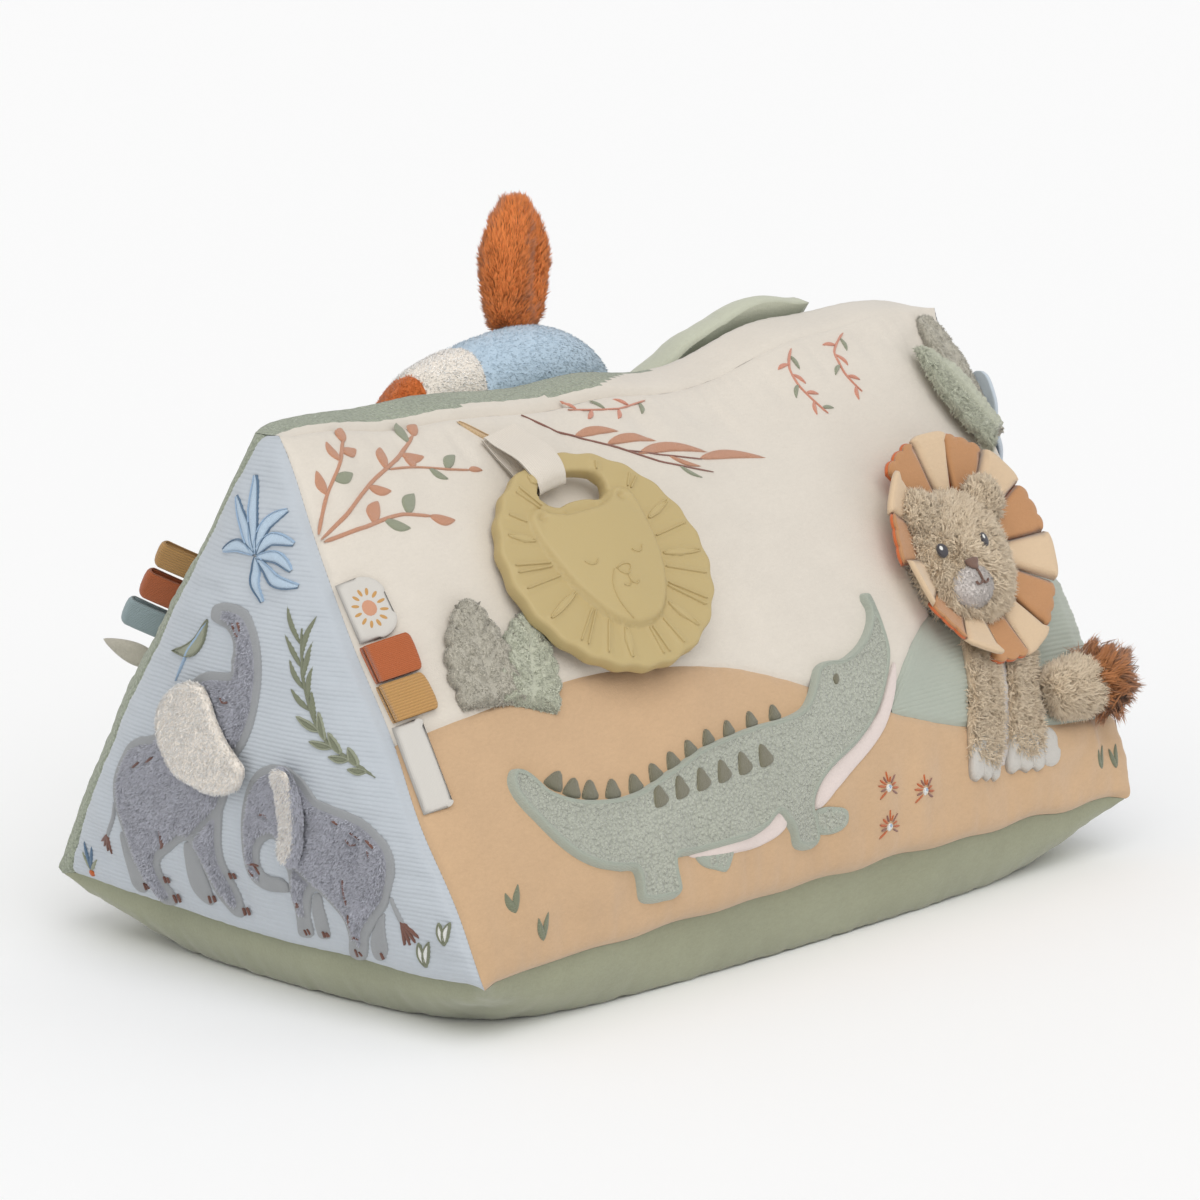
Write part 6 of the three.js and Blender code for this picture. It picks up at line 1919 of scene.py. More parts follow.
tailPlace = frameAt(hingeOf("lion_tail_lift")[0], frontAxes @ turning(0, 0.05))
tailWork, tuftWork = Work(), Work()
skin = tailWork.addForm(tailPlace(limbRings([(-3, 6, 4), (3, 9.5, 7), (12, 11, 8), (21, 11, 8), (26, 7, 5)])))
tailWork.finish("lion_tail_plush", "lion_tail", [lionCloth], ["lion_tail"], "lion_plush")
pileOver("lion_tail_nap", "lion_tail", skin, 9000, 4.2, lionFur, 51, width=0.5,
         comb=frontAxes[:, 0] - 0.3 * frontAxes[:, 1], lean=0.6, spread=0.6, curl=0.6, clump=0.6, clumpSize=5)
tuftCloth = fabric("brownFurGround", colours["tuft"], "pile", 0.6, 1.0, bump=0.8, reach=0.0015)
tuftFur = furMaterial("brownStrands", scaled(colours["tuft"], 0.9), scaled(colours["tuft"], 1.9), mottle=0.4)
skin = tuftWork.addForm(tailPlace(limbRings([(22, 6, 5), (27, 10, 6.5), (33, 11, 7), (39, 8, 5),
                                             (43, 3, 3)])))
tuftWork.finish("lion_tuft_ground", "lion_tail", [tuftCloth], ["tail_tuft"], "brown_fur")
where, normal = surfaceSamples(*skin, tuft["locks"], 52)
tuftTurn = np.random.default_rng(53)
ways = 0.55 * normal + 0.5 * frontAxes[:, 0] + 0.45 * tuftTurn.normal(size=where.shape)
ways /= np.linalg.norm(ways, axis=1)[:, None]
shaggy("lion_tuft_fur", "lion_tail", where, ways, 5 + 7 * tuftTurn.random(len(where)), tuftFur, 54)
print("lion made")


# The silicone teether, a disc with a wavy rim, raised ribs and a lion's face, and its ribbon.

teether = {"radius": 48, "thickness": 7, "bevel": 1.5, "rim": 43.5, "ribs": 22, "angle": 1.71, "reach": 66,
           "turn": (-0.19, -0.1), "slotMiddle": 1.52, "slotHalf": 0.5, "slotInner": 26.6, "slotOuter": 39,
           "ribbonWidth": 18, "ribHeight": 0.5, "plate": 2.3, "dome": 2.6}
silicone, siliconeTree, siliconeShader, places = newMaterial("mustardSilicone")
setInputs(siliconeTree, siliconeShader, {
    "Base Color": colours["silicone"], "Roughness": 0.52, "Specular IOR Level": 0.35,
    "Subsurface Weight": 0.08, "Subsurface Radius": (0.004, 0.003, 0.0015),
    "Normal": relief(siliconeTree, noiseAt(siliconeTree, places["Object"], 900, 2, 0.5), 0.12, 0.0003)})

teetherAxes = frontAxes @ turning(*teether["turn"])
ribbonWay = np.array([math.cos(teether["angle"]), math.sin(teether["angle"]), 0])
teetherCentre = hingeOf("teether_swing")[0] - teetherAxes @ (teether["rim"] * ribbonWay)
teetherWorld = frameAt(teetherCentre, teetherAxes)


def slotOutline():
    corner = (teether["slotOuter"] - teether["slotInner"]) / 2
    middle = teether["slotInner"] + corner
    low, high = teether["slotMiddle"] - teether["slotHalf"], teether["slotMiddle"] + teether["slotHalf"]
    pinch = corner / middle
    points = [(teether["slotInner"], a) for a in np.linspace(high - pinch, low + pinch, 12)]
    for end, sign in ((low + pinch, -1), (high - pinch, 1)):
        arc = np.linspace(-math.pi / 2, math.pi / 2, 9)[1:-1]
        arc = arc if sign < 0 else -arc
        points += [(middle + corner * math.sin(t), end + sign * corner * math.cos(t) / middle) for t in arc]
        if sign < 0:
            points += [(teether["slotOuter"], a) for a in np.linspace(low + pinch, high - pinch, 14)]
    polar = np.array(points)
    return np.stack([polar[:, 0] * np.cos(polar[:, 1]), polar[:, 0] * np.sin(polar[:, 1])], -1)


discTurns = evenTurns(264)
discRadius = teether["radius"] - 0.6 + 0.5 * np.cos(teether["ribs"] * discTurns + 0.6 * np.sin(3 * discTurns))
disc = np.stack([discRadius * np.cos(discTurns), discRadius * np.sin(discTurns)], -1)
slot = slotOutline()
facePlate = curveThrough([(-27, 18), (-25.5, 24.5), (-20, 27), (-15.5, 24), (-10, 21.5), (0, 21), (10, 21.5),
                          (15.5, 24), (20, 27), (25.5, 24.5), (27, 18), (26, 6), (23.5, -6), (17, -20),
                          (9, -28.5), (0, -30.5), (-9, -28.5), (-17, -20), (-23.5, -6), (-26, 6)], 5, True)
# Each rib: its turn, its half width at the face and at the rim, and its two ends.
ribTurn = np.random.default_rng(61)
ribList = []
for k in range(teether["ribs"]):
    angle = 2 * math.pi * (k + 0.5) / teether["ribs"] + 0.05 * ribTurn.normal()
    if abs((angle - teether["slotMiddle"] + math.pi) % (2 * math.pi) - math.pi) < 0.2:
        continue
    ribList.append((angle, 0.9 + 0.5 * ribTurn.random(), 1.7 + 1.1 * ribTurn.random()))


def onDisc(points):
    return inside(points, disc) & ~inside(points, slot)


def discAway(points):
    return np.minimum(distanceTo(points, disc, True), distanceTo(points, slot, True))


def halfThickness(away):
    return teether["thickness"] / 2 - teether["bevel"] + teether["bevel"] * roundedEdge(away,
                                                                                        teether["bevel"])


def teetherTop(x, y, away):
    height = halfThickness(away)
    r, a = np.hypot(x, y), np.arctan2(y, x)
    plateAway = distanceTo(np.stack([x, y], -1), facePlate, True)
    plateIn = inside(np.stack([x, y], -1), facePlate)
    for angle, narrow, broad in ribList:
        turned = (a - angle + math.pi) % (2 * math.pi) - math.pi
        side = abs(r * np.sin(turned))
        half = narrow + (broad - narrow) * np.clip((r - 24) / 22, 0, 1)
        ridge = np.clip((half + 0.35 - side) / 0.7, 0, 1) * (abs(turned) < 0.5)
        ends = np.clip((45.2 - r) / 1.2, 0, 1) * np.clip(np.where(plateIn, 0, plateAway) / 1.2, 0, 1)
        height = height + teether["ribHeight"] * eased(ridge) * ends * np.clip(away / 1.5, 0, 1)
    step = np.clip(np.where(plateIn, plateAway, 0) / 1.6, 0, 1)
    dome = teether["plate"] * np.sqrt(step)
    dome = dome + teether["dome"] * np.clip(1 - (x / 28) ** 2 - ((y + 2) / 33) ** 2, 0, 1) * plateIn
    snout = 1.0 * np.exp(-((x / 7.5) ** 2) - (((y + 12) / 9.5) ** 2))
    ears = 0
    for side in (-1, 1):
        ears = ears - 1.8 * np.exp(-(((x - side * 20.5) / 2.2) ** 2) - (((y - 22.6) / 1.7) ** 2))
    return height + (dome + snout + ears) * plateIn


def discPoints(spacing):
    grids = []
    for edge, reach in ((disc, 0.45), (disc, 1.1), (slot, -0.45), (slot, -1.1)):
        grids.append(edge + leftOf(roundAhead(edge)) * reach * (1 if turnsLeft(edge) else -1))
    span = np.arange(-48, 48.5, spacing)
    grid = np.stack(np.meshgrid(span, span), -1)
    grid[1::2, :, 0] += spacing / 2
    grid = grid.reshape(-1, 2)
    grid = grid[onDisc(grid)]
    return np.concatenate([disc, slot, *grids, grid[discAway(grid) > 1.5]])


def teetherMesh():
    points = discPoints(0.95)
    outer, hole = len(disc), len(slot)
    loops = [list(range(outer)), list(range(outer, outer + hole))]
    edges = [(loop[i], loop[(i + 1) % len(loop)]) for loop in loops for i in range(len(loop))]
    made = geometry.delaunay_2d_cdt([Vector(p) for p in points], edges, [], 0, 1e-6)
    flat = np.array([list(p) for p in made[0]])
    back = np.full(len(points), -1)
    for new, sources in enumerate(made[3]):
        for source in sources:
            back[source] = new
    faces = np.array([list(f) for f in made[2]])
    faces = faces[onDisc(flat[faces].mean(1))]
    away, count = discAway(flat), len(flat)
    x, y = flat.T
    top = teetherWorld(np.stack([x, y, teetherTop(x, y, away)], -1))
    bottom = teetherWorld(np.stack([x, y, -halfThickness(away)], -1))
    skin = [list(map(int, f)) for f in faces] + [[int(i) + count for i in f][::-1] for f in faces]
    for loop, edge in zip(loops, (disc, slot)):
        flip = turnsLeft(edge) == (edge is slot)
        for i in range(len(loop)):
            a, b = int(back[loop[i]]), int(back[loop[(i + 1) % len(loop)]])
            quad = [a, a + count, b + count, b]
            skin.append(quad[::-1] if flip else quad)
    return np.concatenate([top, bottom]), skin, np.concatenate([flat, flat])


teetherWork = Work()
teetherWork.add(*teetherMesh(), 0)


def onTeether(x, y, lift):
    away = discAway(np.stack([x, y], -1))
    return teetherWorld(np.stack([x, y, teetherTop(x, y, away) + lift], -1))


for line, width in [
    ([(-12, -0.2), (-10.5, -2), (-8.5, -2.2), (-7, -0.8)], 0.55),
    ([(12, -0.2), (10.5, -2), (8.5, -2.2), (7, -0.8)], 0.55),
    ([(-2.8, -6.2), (0, -5.4), (2.8, -6.2), (1.8, -8.2), (0, -9.4), (-1.8, -8.2), (-2.8, -6.2)], 0.7),
    ([(0, -9.4), (0, -12.4), (1.6, -13.6), (3.2, -12.6)], 0.5),
    ([(0, -12.4), (-1.6, -13.6), (-3.2, -12.6)], 0.5),
    ([(-5, -25), (-7, -18), (-6.6, -11), (-3.6, -6)], 0.45),
]:
    line = np.array(line) * [1.25, 1.12]
    stitchLine(teetherWork, onTeether, curveThrough(line, 6), width, 0.55, taper=0.2, low=-0.3)
for k, (angle, narrow, broad) in enumerate(ribList):
    way = np.array([math.cos(angle), math.sin(angle)])
    steps = np.linspace(20, 44, 49)[:, None] * way
    free = ~inside(steps, facePlate) & ~inside(steps, slot)
    free &= np.minimum(distanceTo(steps, facePlate, True), distanceTo(steps, slot, True)) > 1.2
    free &= np.cumsum(~free) == (~free).sum()
    if free.sum() > 8:
        line = steps[free]
        share = np.linspace(0, 1, len(line))
        if k % 3 == 1:
            stitchLeaf(teetherWork, onTeether, line[0], line[-1], 3.4, 0, 0.9)
        for bow in ((-1, 1) if k % 3 else (-1,)):
            side = np.array([-way[1], way[0]]) * bow * (0.35 * (k % 3 > 0) + 1.2 * (k % 3) / 2)
            spread = (0.5 + 0.5 * share if k % 3 != 1 else 1.1 * np.sin(np.pi * share) ** 0.6)[:, None]
            stitchLine(teetherWork, onTeether, line + side * spread, 1.0, 0.85, 0, taper=0.08, low=-0.4)
teetherWork.finish("teether_silicone", "teether", [silicone], ["teether"], "mustard_silicone")

# The ribbon runs from its slit, over the rim and through the slot, and back below the rim.
ribbonCloth = fabric("creamRibbon", colours["ribbon"], "weave", 0.94, 1.02, bump=0.4, reach=0.0003, pitch=0.9)


def ribbonPath():
    # Distance from the disc's centre and height, in the teether's frame.
    r, t = teether["rim"], 4.6
    slit = teether["reach"]
    path = [(slit + 0.5, -5.2), (slit - 4, -3.4), (r + 12, 0.5), (r + 6.5, 3.7), (r, t + 0.5), (r - 5.5, 3.7),
            (r - 8.2, 0), (r - 6, -3.7), (r, -t - 0.4), (r + 7, -5.2), (r + 14, -6.4), (slit + 0.5, -7.2)]
    return curveThrough(path, 6)


ribbonLine = ribbonPath()
ribbonLengths = lengthsAlong(ribbonLine)
ribbonHalf = teether["ribbonWidth"] / 2
ribbonAcross = np.array([-math.sin(teether["angle"]), math.cos(teether["angle"]), 0])


def ribbonPlace(x, y, lift):
    # x runs along the path, y across the ribbon.
    before, here, beyond = ([np.interp(x + step, ribbonLengths, line) for line in ribbonLine.T]
                            for step in (-0.5, 0, 0.5))
    (r, z), (dr, dz) = here, np.subtract(beyond, before)
    size = np.maximum(1e-6, np.hypot(dr, dz))
    squeeze = 1 - 0.16 * np.exp(-(((r - teether["rim"] + 8) / 6) ** 2))
    cup = 0.9 * (y / ribbonHalf) ** 2 * np.exp(-(((r - teether["rim"]) / 9) ** 2))
    r = r - dz / size * (lift - cup)
    z = z - dr / size * (lift - cup)
    return teetherWorld(r[:, None] * ribbonWay + (y * squeeze)[:, None] * ribbonAcross + z[:, None] * [0, 0,
                                                                                                       1])


ribbonLength = float(ribbonLengths[-1])
ribbonWork = Work()
ribbonGrid = np.meshgrid(np.linspace(0, ribbonLength, 90), np.linspace(-ribbonHalf, ribbonHalf, 11))
along, across = (side.ravel() for side in ribbonGrid)
for lift in (0.3, -0.3):
    ribbonWork.add(ribbonPlace(along, across, np.full(along.size, lift)),
                   gridFaces(*ribbonGrid[0].shape, flip=lift > 0), np.stack([across, along], -1), 0)
ribbonWork.finish("teether_ribbon_cloth", "ribbon", [ribbonCloth], ["teether_ribbon"], "cream_ribbon")
slitWork = Work()
slitCloth = fabric("slitLining", colours["slitCloth"], "weave", 0.85, 1.05, bump=0.3, reach=0.0003, pitch=0.8)
layPiece(slitWork, leafShape((-98, 217.5), (-81, 199), 2.6, -0.03, 18)[0], frontPlace, 1.1, edge=0.7,
         spacing=1.6, closed=False)
stitchLine(slitWork, frontPlace, leafShape((-97.5, 217), (-81, 199), 2.8, -0.03, 18)[0][:18], 0.7, 1.4, 0,
           taper=0.2)
slitWork.finish("ribbon_slit", "cushion", [slitCloth])
print("teether made, ribbon length", round(ribbonLength, 1))


# The bird behind the ridge and the padded leaf.

bird = {"centre": (19, 188.5, 27.5), "half": (65, 42, 24), "face": 0.41, "beak": 0.79, "rings": (26, 12, 11),
        "around": 40, "seam": 0.05, "seamWidth": 0.03, "beakTaper": 0.25}
blueVelour = fabric("blueVelour", colours["birdBlue"], "pile", 0.84, 1.06, bump=0.6, reach=0.001)
creamBird = fabric("creamBirdVelour", colours["cream"], "pile", 0.88, 1.04, bump=0.6, reach=0.001)
orangeVelour = fabric("orangeVelour", colours["orange"], "pile", 0.8, 1.08, bump=0.6, reach=0.001)
blueFur = furMaterial("blueStrands", colours["birdBlue"], scaled(colours["birdBlue"], 1.1), mottle=0.08)
orangeFur = furMaterial("orangeStrands", scaled(colours["orange"], 0.75), scaled(colours["orange"], 1.2),
                        mottle=0.2)
rustFur = furMaterial("rustStrands", scaled(colours["crest"], 1.1), scaled(colours["crest"], 1.75),
                      mottle=0.25)
crestCloth = fabric("crestGround", colours["crest"], "pile", 0.65, 1.0, bump=0.8, reach=0.0015)

birdMarks = (-0.999, bird["face"], bird["beak"], 0.999)
birdSteps = np.concatenate([np.linspace(*span) for span in zip(birdMarks, birdMarks[1:], bird["rings"])])
birdTurns = evenTurns(bird["around"])
birdLength, birdTall, birdThick = bird["half"]
birdRings = []
for share in birdSteps:
    seam = bird["seam"] * sum(math.exp(-(((share - at) / bird["seamWidth"]) ** 2)) for at in birdMarks[1:3])
    beak = 1 - bird["beakTaper"] * max(0, (share - bird["beak"]) / (1 - bird["beak"]))
    size = math.sqrt(1 - share * share) * (1 - seam) * beak
    ring = np.stack([np.full(len(birdTurns), share * birdLength), size * birdTall * np.cos(birdTurns),
                     size * birdThick * np.sin(birdTurns)], -1)
    birdRings.append(ring + bird["centre"])
birdRings = np.array(birdRings)
birdPoints, birdFaces = skinRings(overPanel("back", birdRings.reshape(-1, 3)).reshape(birdRings.shape))
birdSlots = []
for face in birdFaces:
    # The ring that a face lies on tells its cloth; the two end points lie on no ring.
    at = np.mean([i // bird["around"] for i in face if i < birdRings[..., 0].size])
    birdSlots.append(sum(at > before - 0.4 for before in np.cumsum(bird["rings"])[:2]))
birdWork = Work()
birdWork.add(birdPoints, birdFaces, np.zeros((len(birdPoints), 2)), birdSlots)
birdWork.finish("bird_plush", "cushion", [blueVelour, creamBird, orangeVelour],
                ["bird_body", "bird_face", "bird_beak"], "blue_velour")
birdBeakWay = overPanel("back", [[100.0, 184, 24]])[0] - overPanel("back", [[0.0, 184, 24]])[0]
birdBeakWay /= np.linalg.norm(birdBeakWay)
for slot, count, fur in ((0, 16000, blueFur), (1, 8000, creamFur), (2, 4500, orangeFur)):
    chosen = [face for face, s in zip(birdFaces, birdSlots) if s == slot]
    pileOver(f"bird_nap_{slot + 1}", "cushion", (birdPoints, chosen), count, 1.3, fur, 71 + slot, width=0.4,
             comb=-birdBeakWay - np.array([0, 0, 0.4]), lean=1.3, spread=0.2, clump=0.1, clumpSize=8)

crest = {"x": 3, "stations": [(-2, 5, 3), (0.9, 5.5, 3.2), (8, 12, 7), (22, 15, 9), (36, 15.6, 9),
                              (48, 11, 7),
                              (56, 5, 3.5)], "hollow": 5.5}
radiusUp = 1 / math.hypot(slopeSin / birdTall, slopeCos / birdThick)
crestShare = math.sqrt(1 - ((crest["x"] - bird["centre"][0]) / birdLength) ** 2)
crestFoot = overPanel("back", [[crest["x"], 184.0, 24]])[0] + np.array([-1.5, 0, radiusUp * crestShare + 1])
crestRings = limbRings(crest["stations"], around=32, power=2.2)
hollow = np.exp(-(((crestRings[..., 1] - 5) / 4.5) ** 2)) * np.exp(-(((crestRings[..., 0] - 27) / 17) ** 2))
crestRings[..., 2] -= crest["hollow"] * hollow * (crestRings[..., 2] > 0)
crestPoints, crestFaces = skinRings(crestFoot + crestRings @ np.array([[0, 0, 1], [1, 0, 0], [0, -1, 0]]))
crestFaces = [face[::-1] for face in crestFaces]
crestWork = Work()
crestWork.add(crestPoints, crestFaces, np.zeros((len(crestPoints), 2)), 0)
crestWork.finish("bird_crest_plush", "bird_crest", [crestCloth], ["bird_crest"], "rust_fur")
pileOver("bird_crest_nap", "bird_crest", (crestPoints, crestFaces), 15000, 4, rustFur, 75, width=0.5,
         comb=(0, 0, 1), lean=1.6, spread=0.25, curl=0.1, clump=0.5, clumpSize=6)

velourLeaf = fabric("leafVelour", scaled(colours["leafGreen"], 1.06), "pile", 0.88, 1.05, bump=0.4,
                    reach=0.0008)
ridgeOutline = placedAt(lobedOutline(100, 58, 2, notch=0.1), -138, 190, -math.pi / 2)
ridgeWork = Work()


def ridgeForm(x, y, away):
    ends = np.clip((x + 138) / 8, 0, 1) * np.clip((-44 - x) / 14, 0, 1)
    crease = -4.5 * np.exp(-(((y - 190) / 3.5) ** 2)) * ends
    return crease + 2 * np.clip(away / 16, 0, 1) - 0.8 * np.exp(-((away - 4) ** 2))


def standingLeaf(x, y, lift):
    # The leaf's upper edge stands up over the ridge.
    return onPanel("back", x, y + 7, lift + 0.4 + 0.008 * np.maximum(0, y - 190) ** 2)


layPiece(ridgeWork, ridgeOutline, standingLeaf, 12, edge=9, spacing=2.6,
         form=ridgeForm, rings=[0.6, 1.8, 3.4, 5.2, 7.5])
ridgeWork.finish("ridge_leaf_velour", "ridge_leaf", [velourLeaf], ["ridge_leaf"], "sage_velour")
print("bird made")


# Embroidery on the front panel and the left end.

threads = {name: fabric(name + "Thread", colour, "threads", 0.85, 1.12, bump=0.6, reach=0.0003)
           for name, colour in {
               "terracotta": colours["terracotta"], "sage": colours["threadSage"],
               "olive": colours["threadOlive"],
               "blue": scaled(colours["threadBlue"], 1.35), "deepBlue": colours["threadDeepBlue"],
               "paleBlue": linear(188, 207, 224), "pale": colours["threadWhite"],
               "pink": colours["threadPink"],
               "orange": colours["petalEdge"], "stem": scaled(colours["brown"], 1.7)}.items()}


def stepFrom(point, way, long):
    return point + long * np.array([math.cos(way), math.sin(way)])


def alongLine(line, share):
    # The point and the direction at a share of a line's length.
    lengths = lengthsAlong(line)
    at = share * lengths[-1]
    here, ahead = ([np.interp(t, lengths, line[:, k]) for k in (0, 1)] for t in (at,
                                                                                 min(at + 1, lengths[-1])))
    if share > 0.99:
        here, ahead = line[-2], line[-1]
    return np.array(here, float), np.arctan2(ahead[1] - here[1], ahead[0] - here[0])


frontStitches, leftStitches = Work(), Work()


def sprig(points, width, stem, leavesAt):
    # leavesAt: share of the stem, turn from it, length, width, thread.
    line = curveThrough(points, 8)
    stitchLine(frontStitches, frontPlace, line, width, 0.7, stem, taper=0.1)
    for share, turned, length, wide, slot in leavesAt:
        at, way = alongLine(line, share)
        stitchLeaf(frontStitches, frontPlace, at, stepFrom(at, way + turned, length), wide, slot, 0.8,
                   0.08 * math.copysign(1, turned))


def grass(work, place, spots, lengths, height, outline=None):
    for x, y in spots:
        for lean, long in zip((0.28, -0.3), lengths):
            end = (x - long * math.sin(lean), y + long * math.cos(lean))
            stitchLeaf(work, place, (x, y), end, 2.6, 2, height, 0.06, outline)


for stemAndLeaves in [
    ([(-190, 179), (-177, 184), (-158, 195), (-138, 206), (-122, 216)], 1.6, 0,
     [(0.42, -0.8, 10, 4.4, 0), (0.6, 0.7, 11, 5, 0), (0.78, -0.7, 11, 5, 0), (0.9, 0.8, 10, 5, 1),
      (1, 0.1, 8, 4.6, 0)]),
    ([(-190, 181), (-181, 193), (-171, 203), (-161, 214)], 1.5, 0,
     [(0.35, 0.8, 10, 4.6, 0), (0.5, -0.7, 10, 5, 1), (0.7, 0.8, 10, 4.6, 0), (0.82, -0.7, 9, 5, 0),
      (1, 0.2, 8, 5, 0)]),
    ([(-189, 178), (-170, 178.5), (-152, 181), (-139, 179)], 1.6, 0,
     [(0.45, 0.7, 11, 5.4, 0), (0.55, -0.6, 11, 4.6, 1), (0.78, 0.9, 12, 5.4, 1), (1, -0.1, 12, 5, 0)]),
    ([(-147, 200), (-133, 201), (-119, 198), (-108, 195)], 1.1, 0,
     [(0.3, 0.9, 7, 5, 0), (0.5, -0.6, 9, 3.6, 1), (0.7, 0.8, 10, 4.6, 1), (1, 0, 7, 3, 0)]),
    ([(-62, 217.5), (-50, 208), (-28, 195), (-13, 184), (11, 173)], 1.1, 6,
     [(0.26, 0.42, 23, 4.6, 0), (0.42, 0.4, 27, 4.8, 0), (0.58, 0.5, 38, 5.6, 0), (0.8, -0.4, 12, 2.4, 1)]),
    ([(-26, 193), (-4, 185), (10, 181)], 0.9, 6, [(1, 0.1, 37, 5.8, 0), (0.55, -0.25, 16, 3, 0)]),
]:
    sprig(*stemAndLeaves)
for points, width, stem, count in [
    ([(96, 217), (88, 210), (86, 202), (92, 186)], 1.0, 5, 7),
    ([(128, 217), (116, 210), (113, 200), (117, 190)], 0.9, 5, 6),
    ([(6, 215), (-12, 212), (-36, 217)], 0.9, 5, 6),
]:
    sprig(points, width, stem,
          [(0.1 + 0.8 * i / (count - 1), 0.8 * (-1) ** i, 7, 1.9,
            stem if i % 3 else 1) for i in range(count)])
for x, y in ((33.5, 28.5), (56, 23.5), (33, 14.5)):
    for k in range(11):
        a = math.radians(-30 + 240 * k / 10)
        long = 6.2 + 1.2 * math.sin(2.7 * k)
        at = np.array([x, y]) + 2.2 * np.array([math.cos(a), math.sin(a)])
        end = np.array([x, y]) + long * np.array([math.cos(a), 0.85 * math.sin(a)])
        stitchLine(frontStitches, frontPlace, np.linspace(at, end, 5), 0.9, 0.6, 7 if k % 3 else 6)
    stitchLeaf(frontStitches, frontPlace, (x - 1.9, y), (x + 1.9, y), 3, 4, 1.0)
    stitchLeaf(frontStitches, frontPlace, (x - 1, y + 0.3), (x + 1, y + 0.3), 1.6, 3, 1.4)
grass(frontStitches, frontPlace, ((-172, 23), (-160, 10), (173, 13), (183, 12)), (9, 10.5), 0.8)
frontStitches.finish("front_embroidery", "cushion", [threads[name] for name in (
    "terracotta", "sage", "olive", "blue", "pale", "pink", "stem", "orange")])

palm = [[(7.7, 151), (4.7, 162), (1, 177)], [(7, 151), (1, 160), (-6, 169)],
        [(7.7, 151), (11, 162), (18, 167)],
        [(8, 151), (14, 157), (23, 156)], [(8.5, 150), (17, 151), (24, 147)],
        [(8.5, 150), (17, 143), (28, 142)],
        [(8, 150), (8, 142), (12, 134)], [(7, 151), (-1, 153), (-9, 150)]]
for points in palm:
    line = curveThrough(points, 8)
    share = np.linspace(0, 1, len(line))
    wide = 1 + 3.2 * np.sin(np.pi * share) ** 0.8
    stitchLine(leftStitches, leftPlace, line, wide, 0.7, 6, taper=0)
    side = leftOf(np.gradient(line, axis=0)) * wide[:, None] / 2
    stitchLine(leftStitches, leftPlace, line + side, 0.5, 0.9, 0, taper=0)
    stitchLine(leftStitches, leftPlace, line - side, 0.6, 0.9, 1, taper=0)
feather = curveThrough([(32.5, 127), (33.1, 118), (36.2, 106), (40.4, 95), (48.6, 86), (59, 80.5),
                        (69.5, 75.5)], 8)
stitchLine(leftStitches, leftPlace, feather, 1.3, 0.8, 3, taper=0.1)
for k in range(15):
    at, way = alongLine(feather, 0.1 + 0.06 * k)
    end = stepFrom(at, way + (math.pi + 0.42 * (-1) ** k), 17 - 0.7 * k)
    stitchLeaf(leftStitches, leftPlace, at, end, 2.3, 3, 0.7, 0.05, 4 if k > 7 else None)
stitchLeaf(leftStitches, leftPlace, (-13.9, 123.6), (-37.4, 107), 5.5, 4, 0.8, 0.18, 3)
stitchLine(leftStitches, leftPlace, curveThrough([(-13.8, 122.8), (-20.4, 116), (-27.4, 107), (-33.5, 96)],
                                                 6), 1.8,
           0.9, 0)
for way, long in ((0.5, 8), (0.15, 12), (-0.25, 11), (-0.7, 8)):
    end = (-95 - long * math.sin(way), 7 + long * math.cos(way))
    stitchLeaf(leftStitches, leftPlace, (-95, 7), end, 1.8, 1 if long > 10 else 4, 0.8)
stitchLeaf(leftStitches, leftPlace, (-96.4, 5.5), (-93.4, 6.5), 3, 5, 1.1)
grass(leftStitches, leftPlace, ((90, 7), (101, 16)), (8, 9), 0.9, 3)
leftStitches.finish("left_embroidery", "cushion", [threads[name] for name in (
    "blue", "deepBlue", "pale", "olive", "sage", "orange", "paleBlue")])
print("embroidery made")


# Light, floor and camera.

def sunLight(name, aim, power, spread):
    data = bpy.data.lights.new(name, "SUN")
    data.energy = power
    data.angle = spread
    lamp = bpy.data.objects.new(name, data)
    lamp.rotation_mode = "QUATERNION"
    lamp.rotation_quaternion = Vector(aim).to_track_quat("-Z", "Y")
    bpy.context.scene.collection.objects.link(lamp)


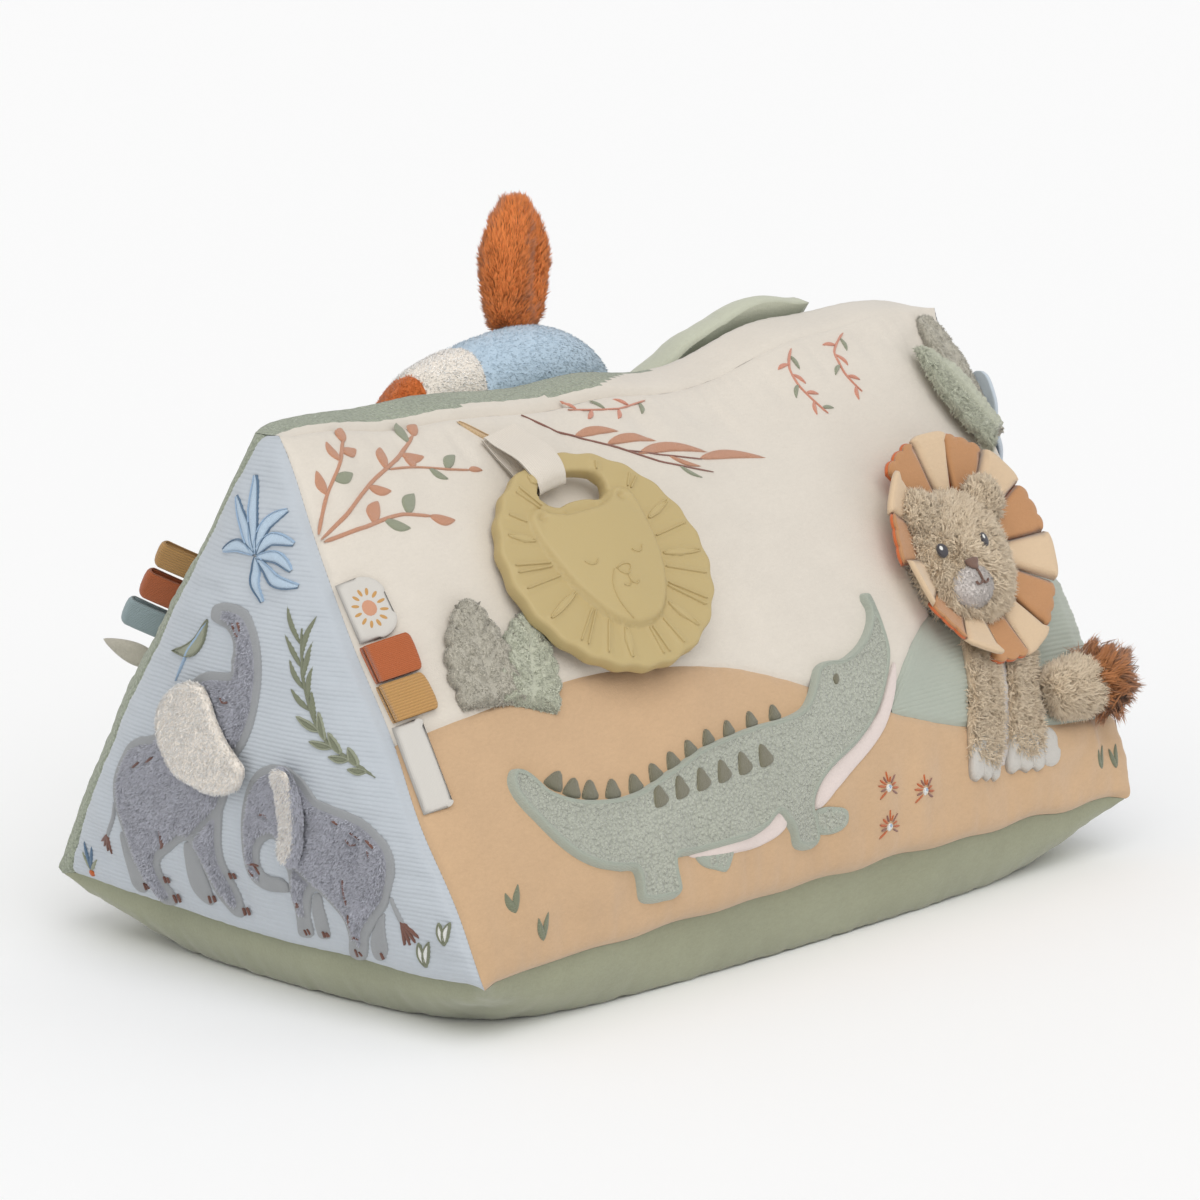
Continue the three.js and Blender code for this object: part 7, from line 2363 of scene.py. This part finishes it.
studio = {"key": 1.25, "fill": 0.4, "sky": 0.62, "floorWidth": 9}
sunLight("key_light", (0.35, 0.62, -0.9), studio["key"], 0.9)
sunLight("fill_light", (0.9, 0.25, -0.35), studio["fill"], 1.6)

world = bpy.data.worlds.new("studio")
bpy.context.scene.world = world
world.use_nodes = True
sky = world.node_tree
ambient = sky.nodes["Background"]
setInputs(sky, ambient, {"Color": (1, 1, 1, 1), "Strength": studio["sky"]})
white = addNode(sky, "Background", {"Color": (1, 1, 1, 1), "Strength": 1})
rays = addNode(sky, "LightPath", {}).outputs
seen = maths(sky, "MAXIMUM", rays["Is Camera Ray"], rays["Is Glossy Ray"])
seen = maths(sky, "MAXIMUM", seen, rays["Is Transmission Ray"])
choose = addNode(sky, "MixShader", {0: seen, 1: ambient.outputs[0], 2: white.outputs[0]})
link(sky, choose.outputs[0], sky.nodes["World Output"].inputs["Surface"])

bpy.ops.mesh.primitive_plane_add(size=studio["floorWidth"], location=(0, 0, -0.0005))
floor = bpy.context.object
floor.name = "floor"
floorPaint, floorTree, floorShader, _ = newMaterial("paleFloor")
setInputs(floorTree, floorShader, {"Base Color": (0.97, 0.97, 0.97, 1), "Roughness": 0.9})
floor.data.materials.append(floorPaint)
floor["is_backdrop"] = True

view = {"place": (-1.8978, -1.7879, 0.7387), "azimuth": -46.64, "elevation": 13.31, "lens": 200}
turn, tip = math.radians(view["azimuth"]), math.radians(view["elevation"])
away = Vector((math.sin(turn) * math.cos(tip), -math.cos(turn) * math.cos(tip), math.sin(tip)))
cameraData = bpy.data.cameras.new("camera")
cameraData.lens = view["lens"]
cameraData.sensor_width = 36
cameraData.clip_start, cameraData.clip_end = 0.05, 50
camera = bpy.data.objects.new("camera", cameraData)
camera.location = view["place"]
camera.rotation_mode = "QUATERNION"
camera.rotation_quaternion = (-away).to_track_quat("-Z", "Y")
bpy.context.scene.collection.objects.link(camera)
bpy.context.scene.camera = camera
bpy.context.scene.view_settings.view_transform = "Standard"

low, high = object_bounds()
print("visual box", [round(v * 1000, 1) for v in low], [round(v * 1000, 1) for v in high])
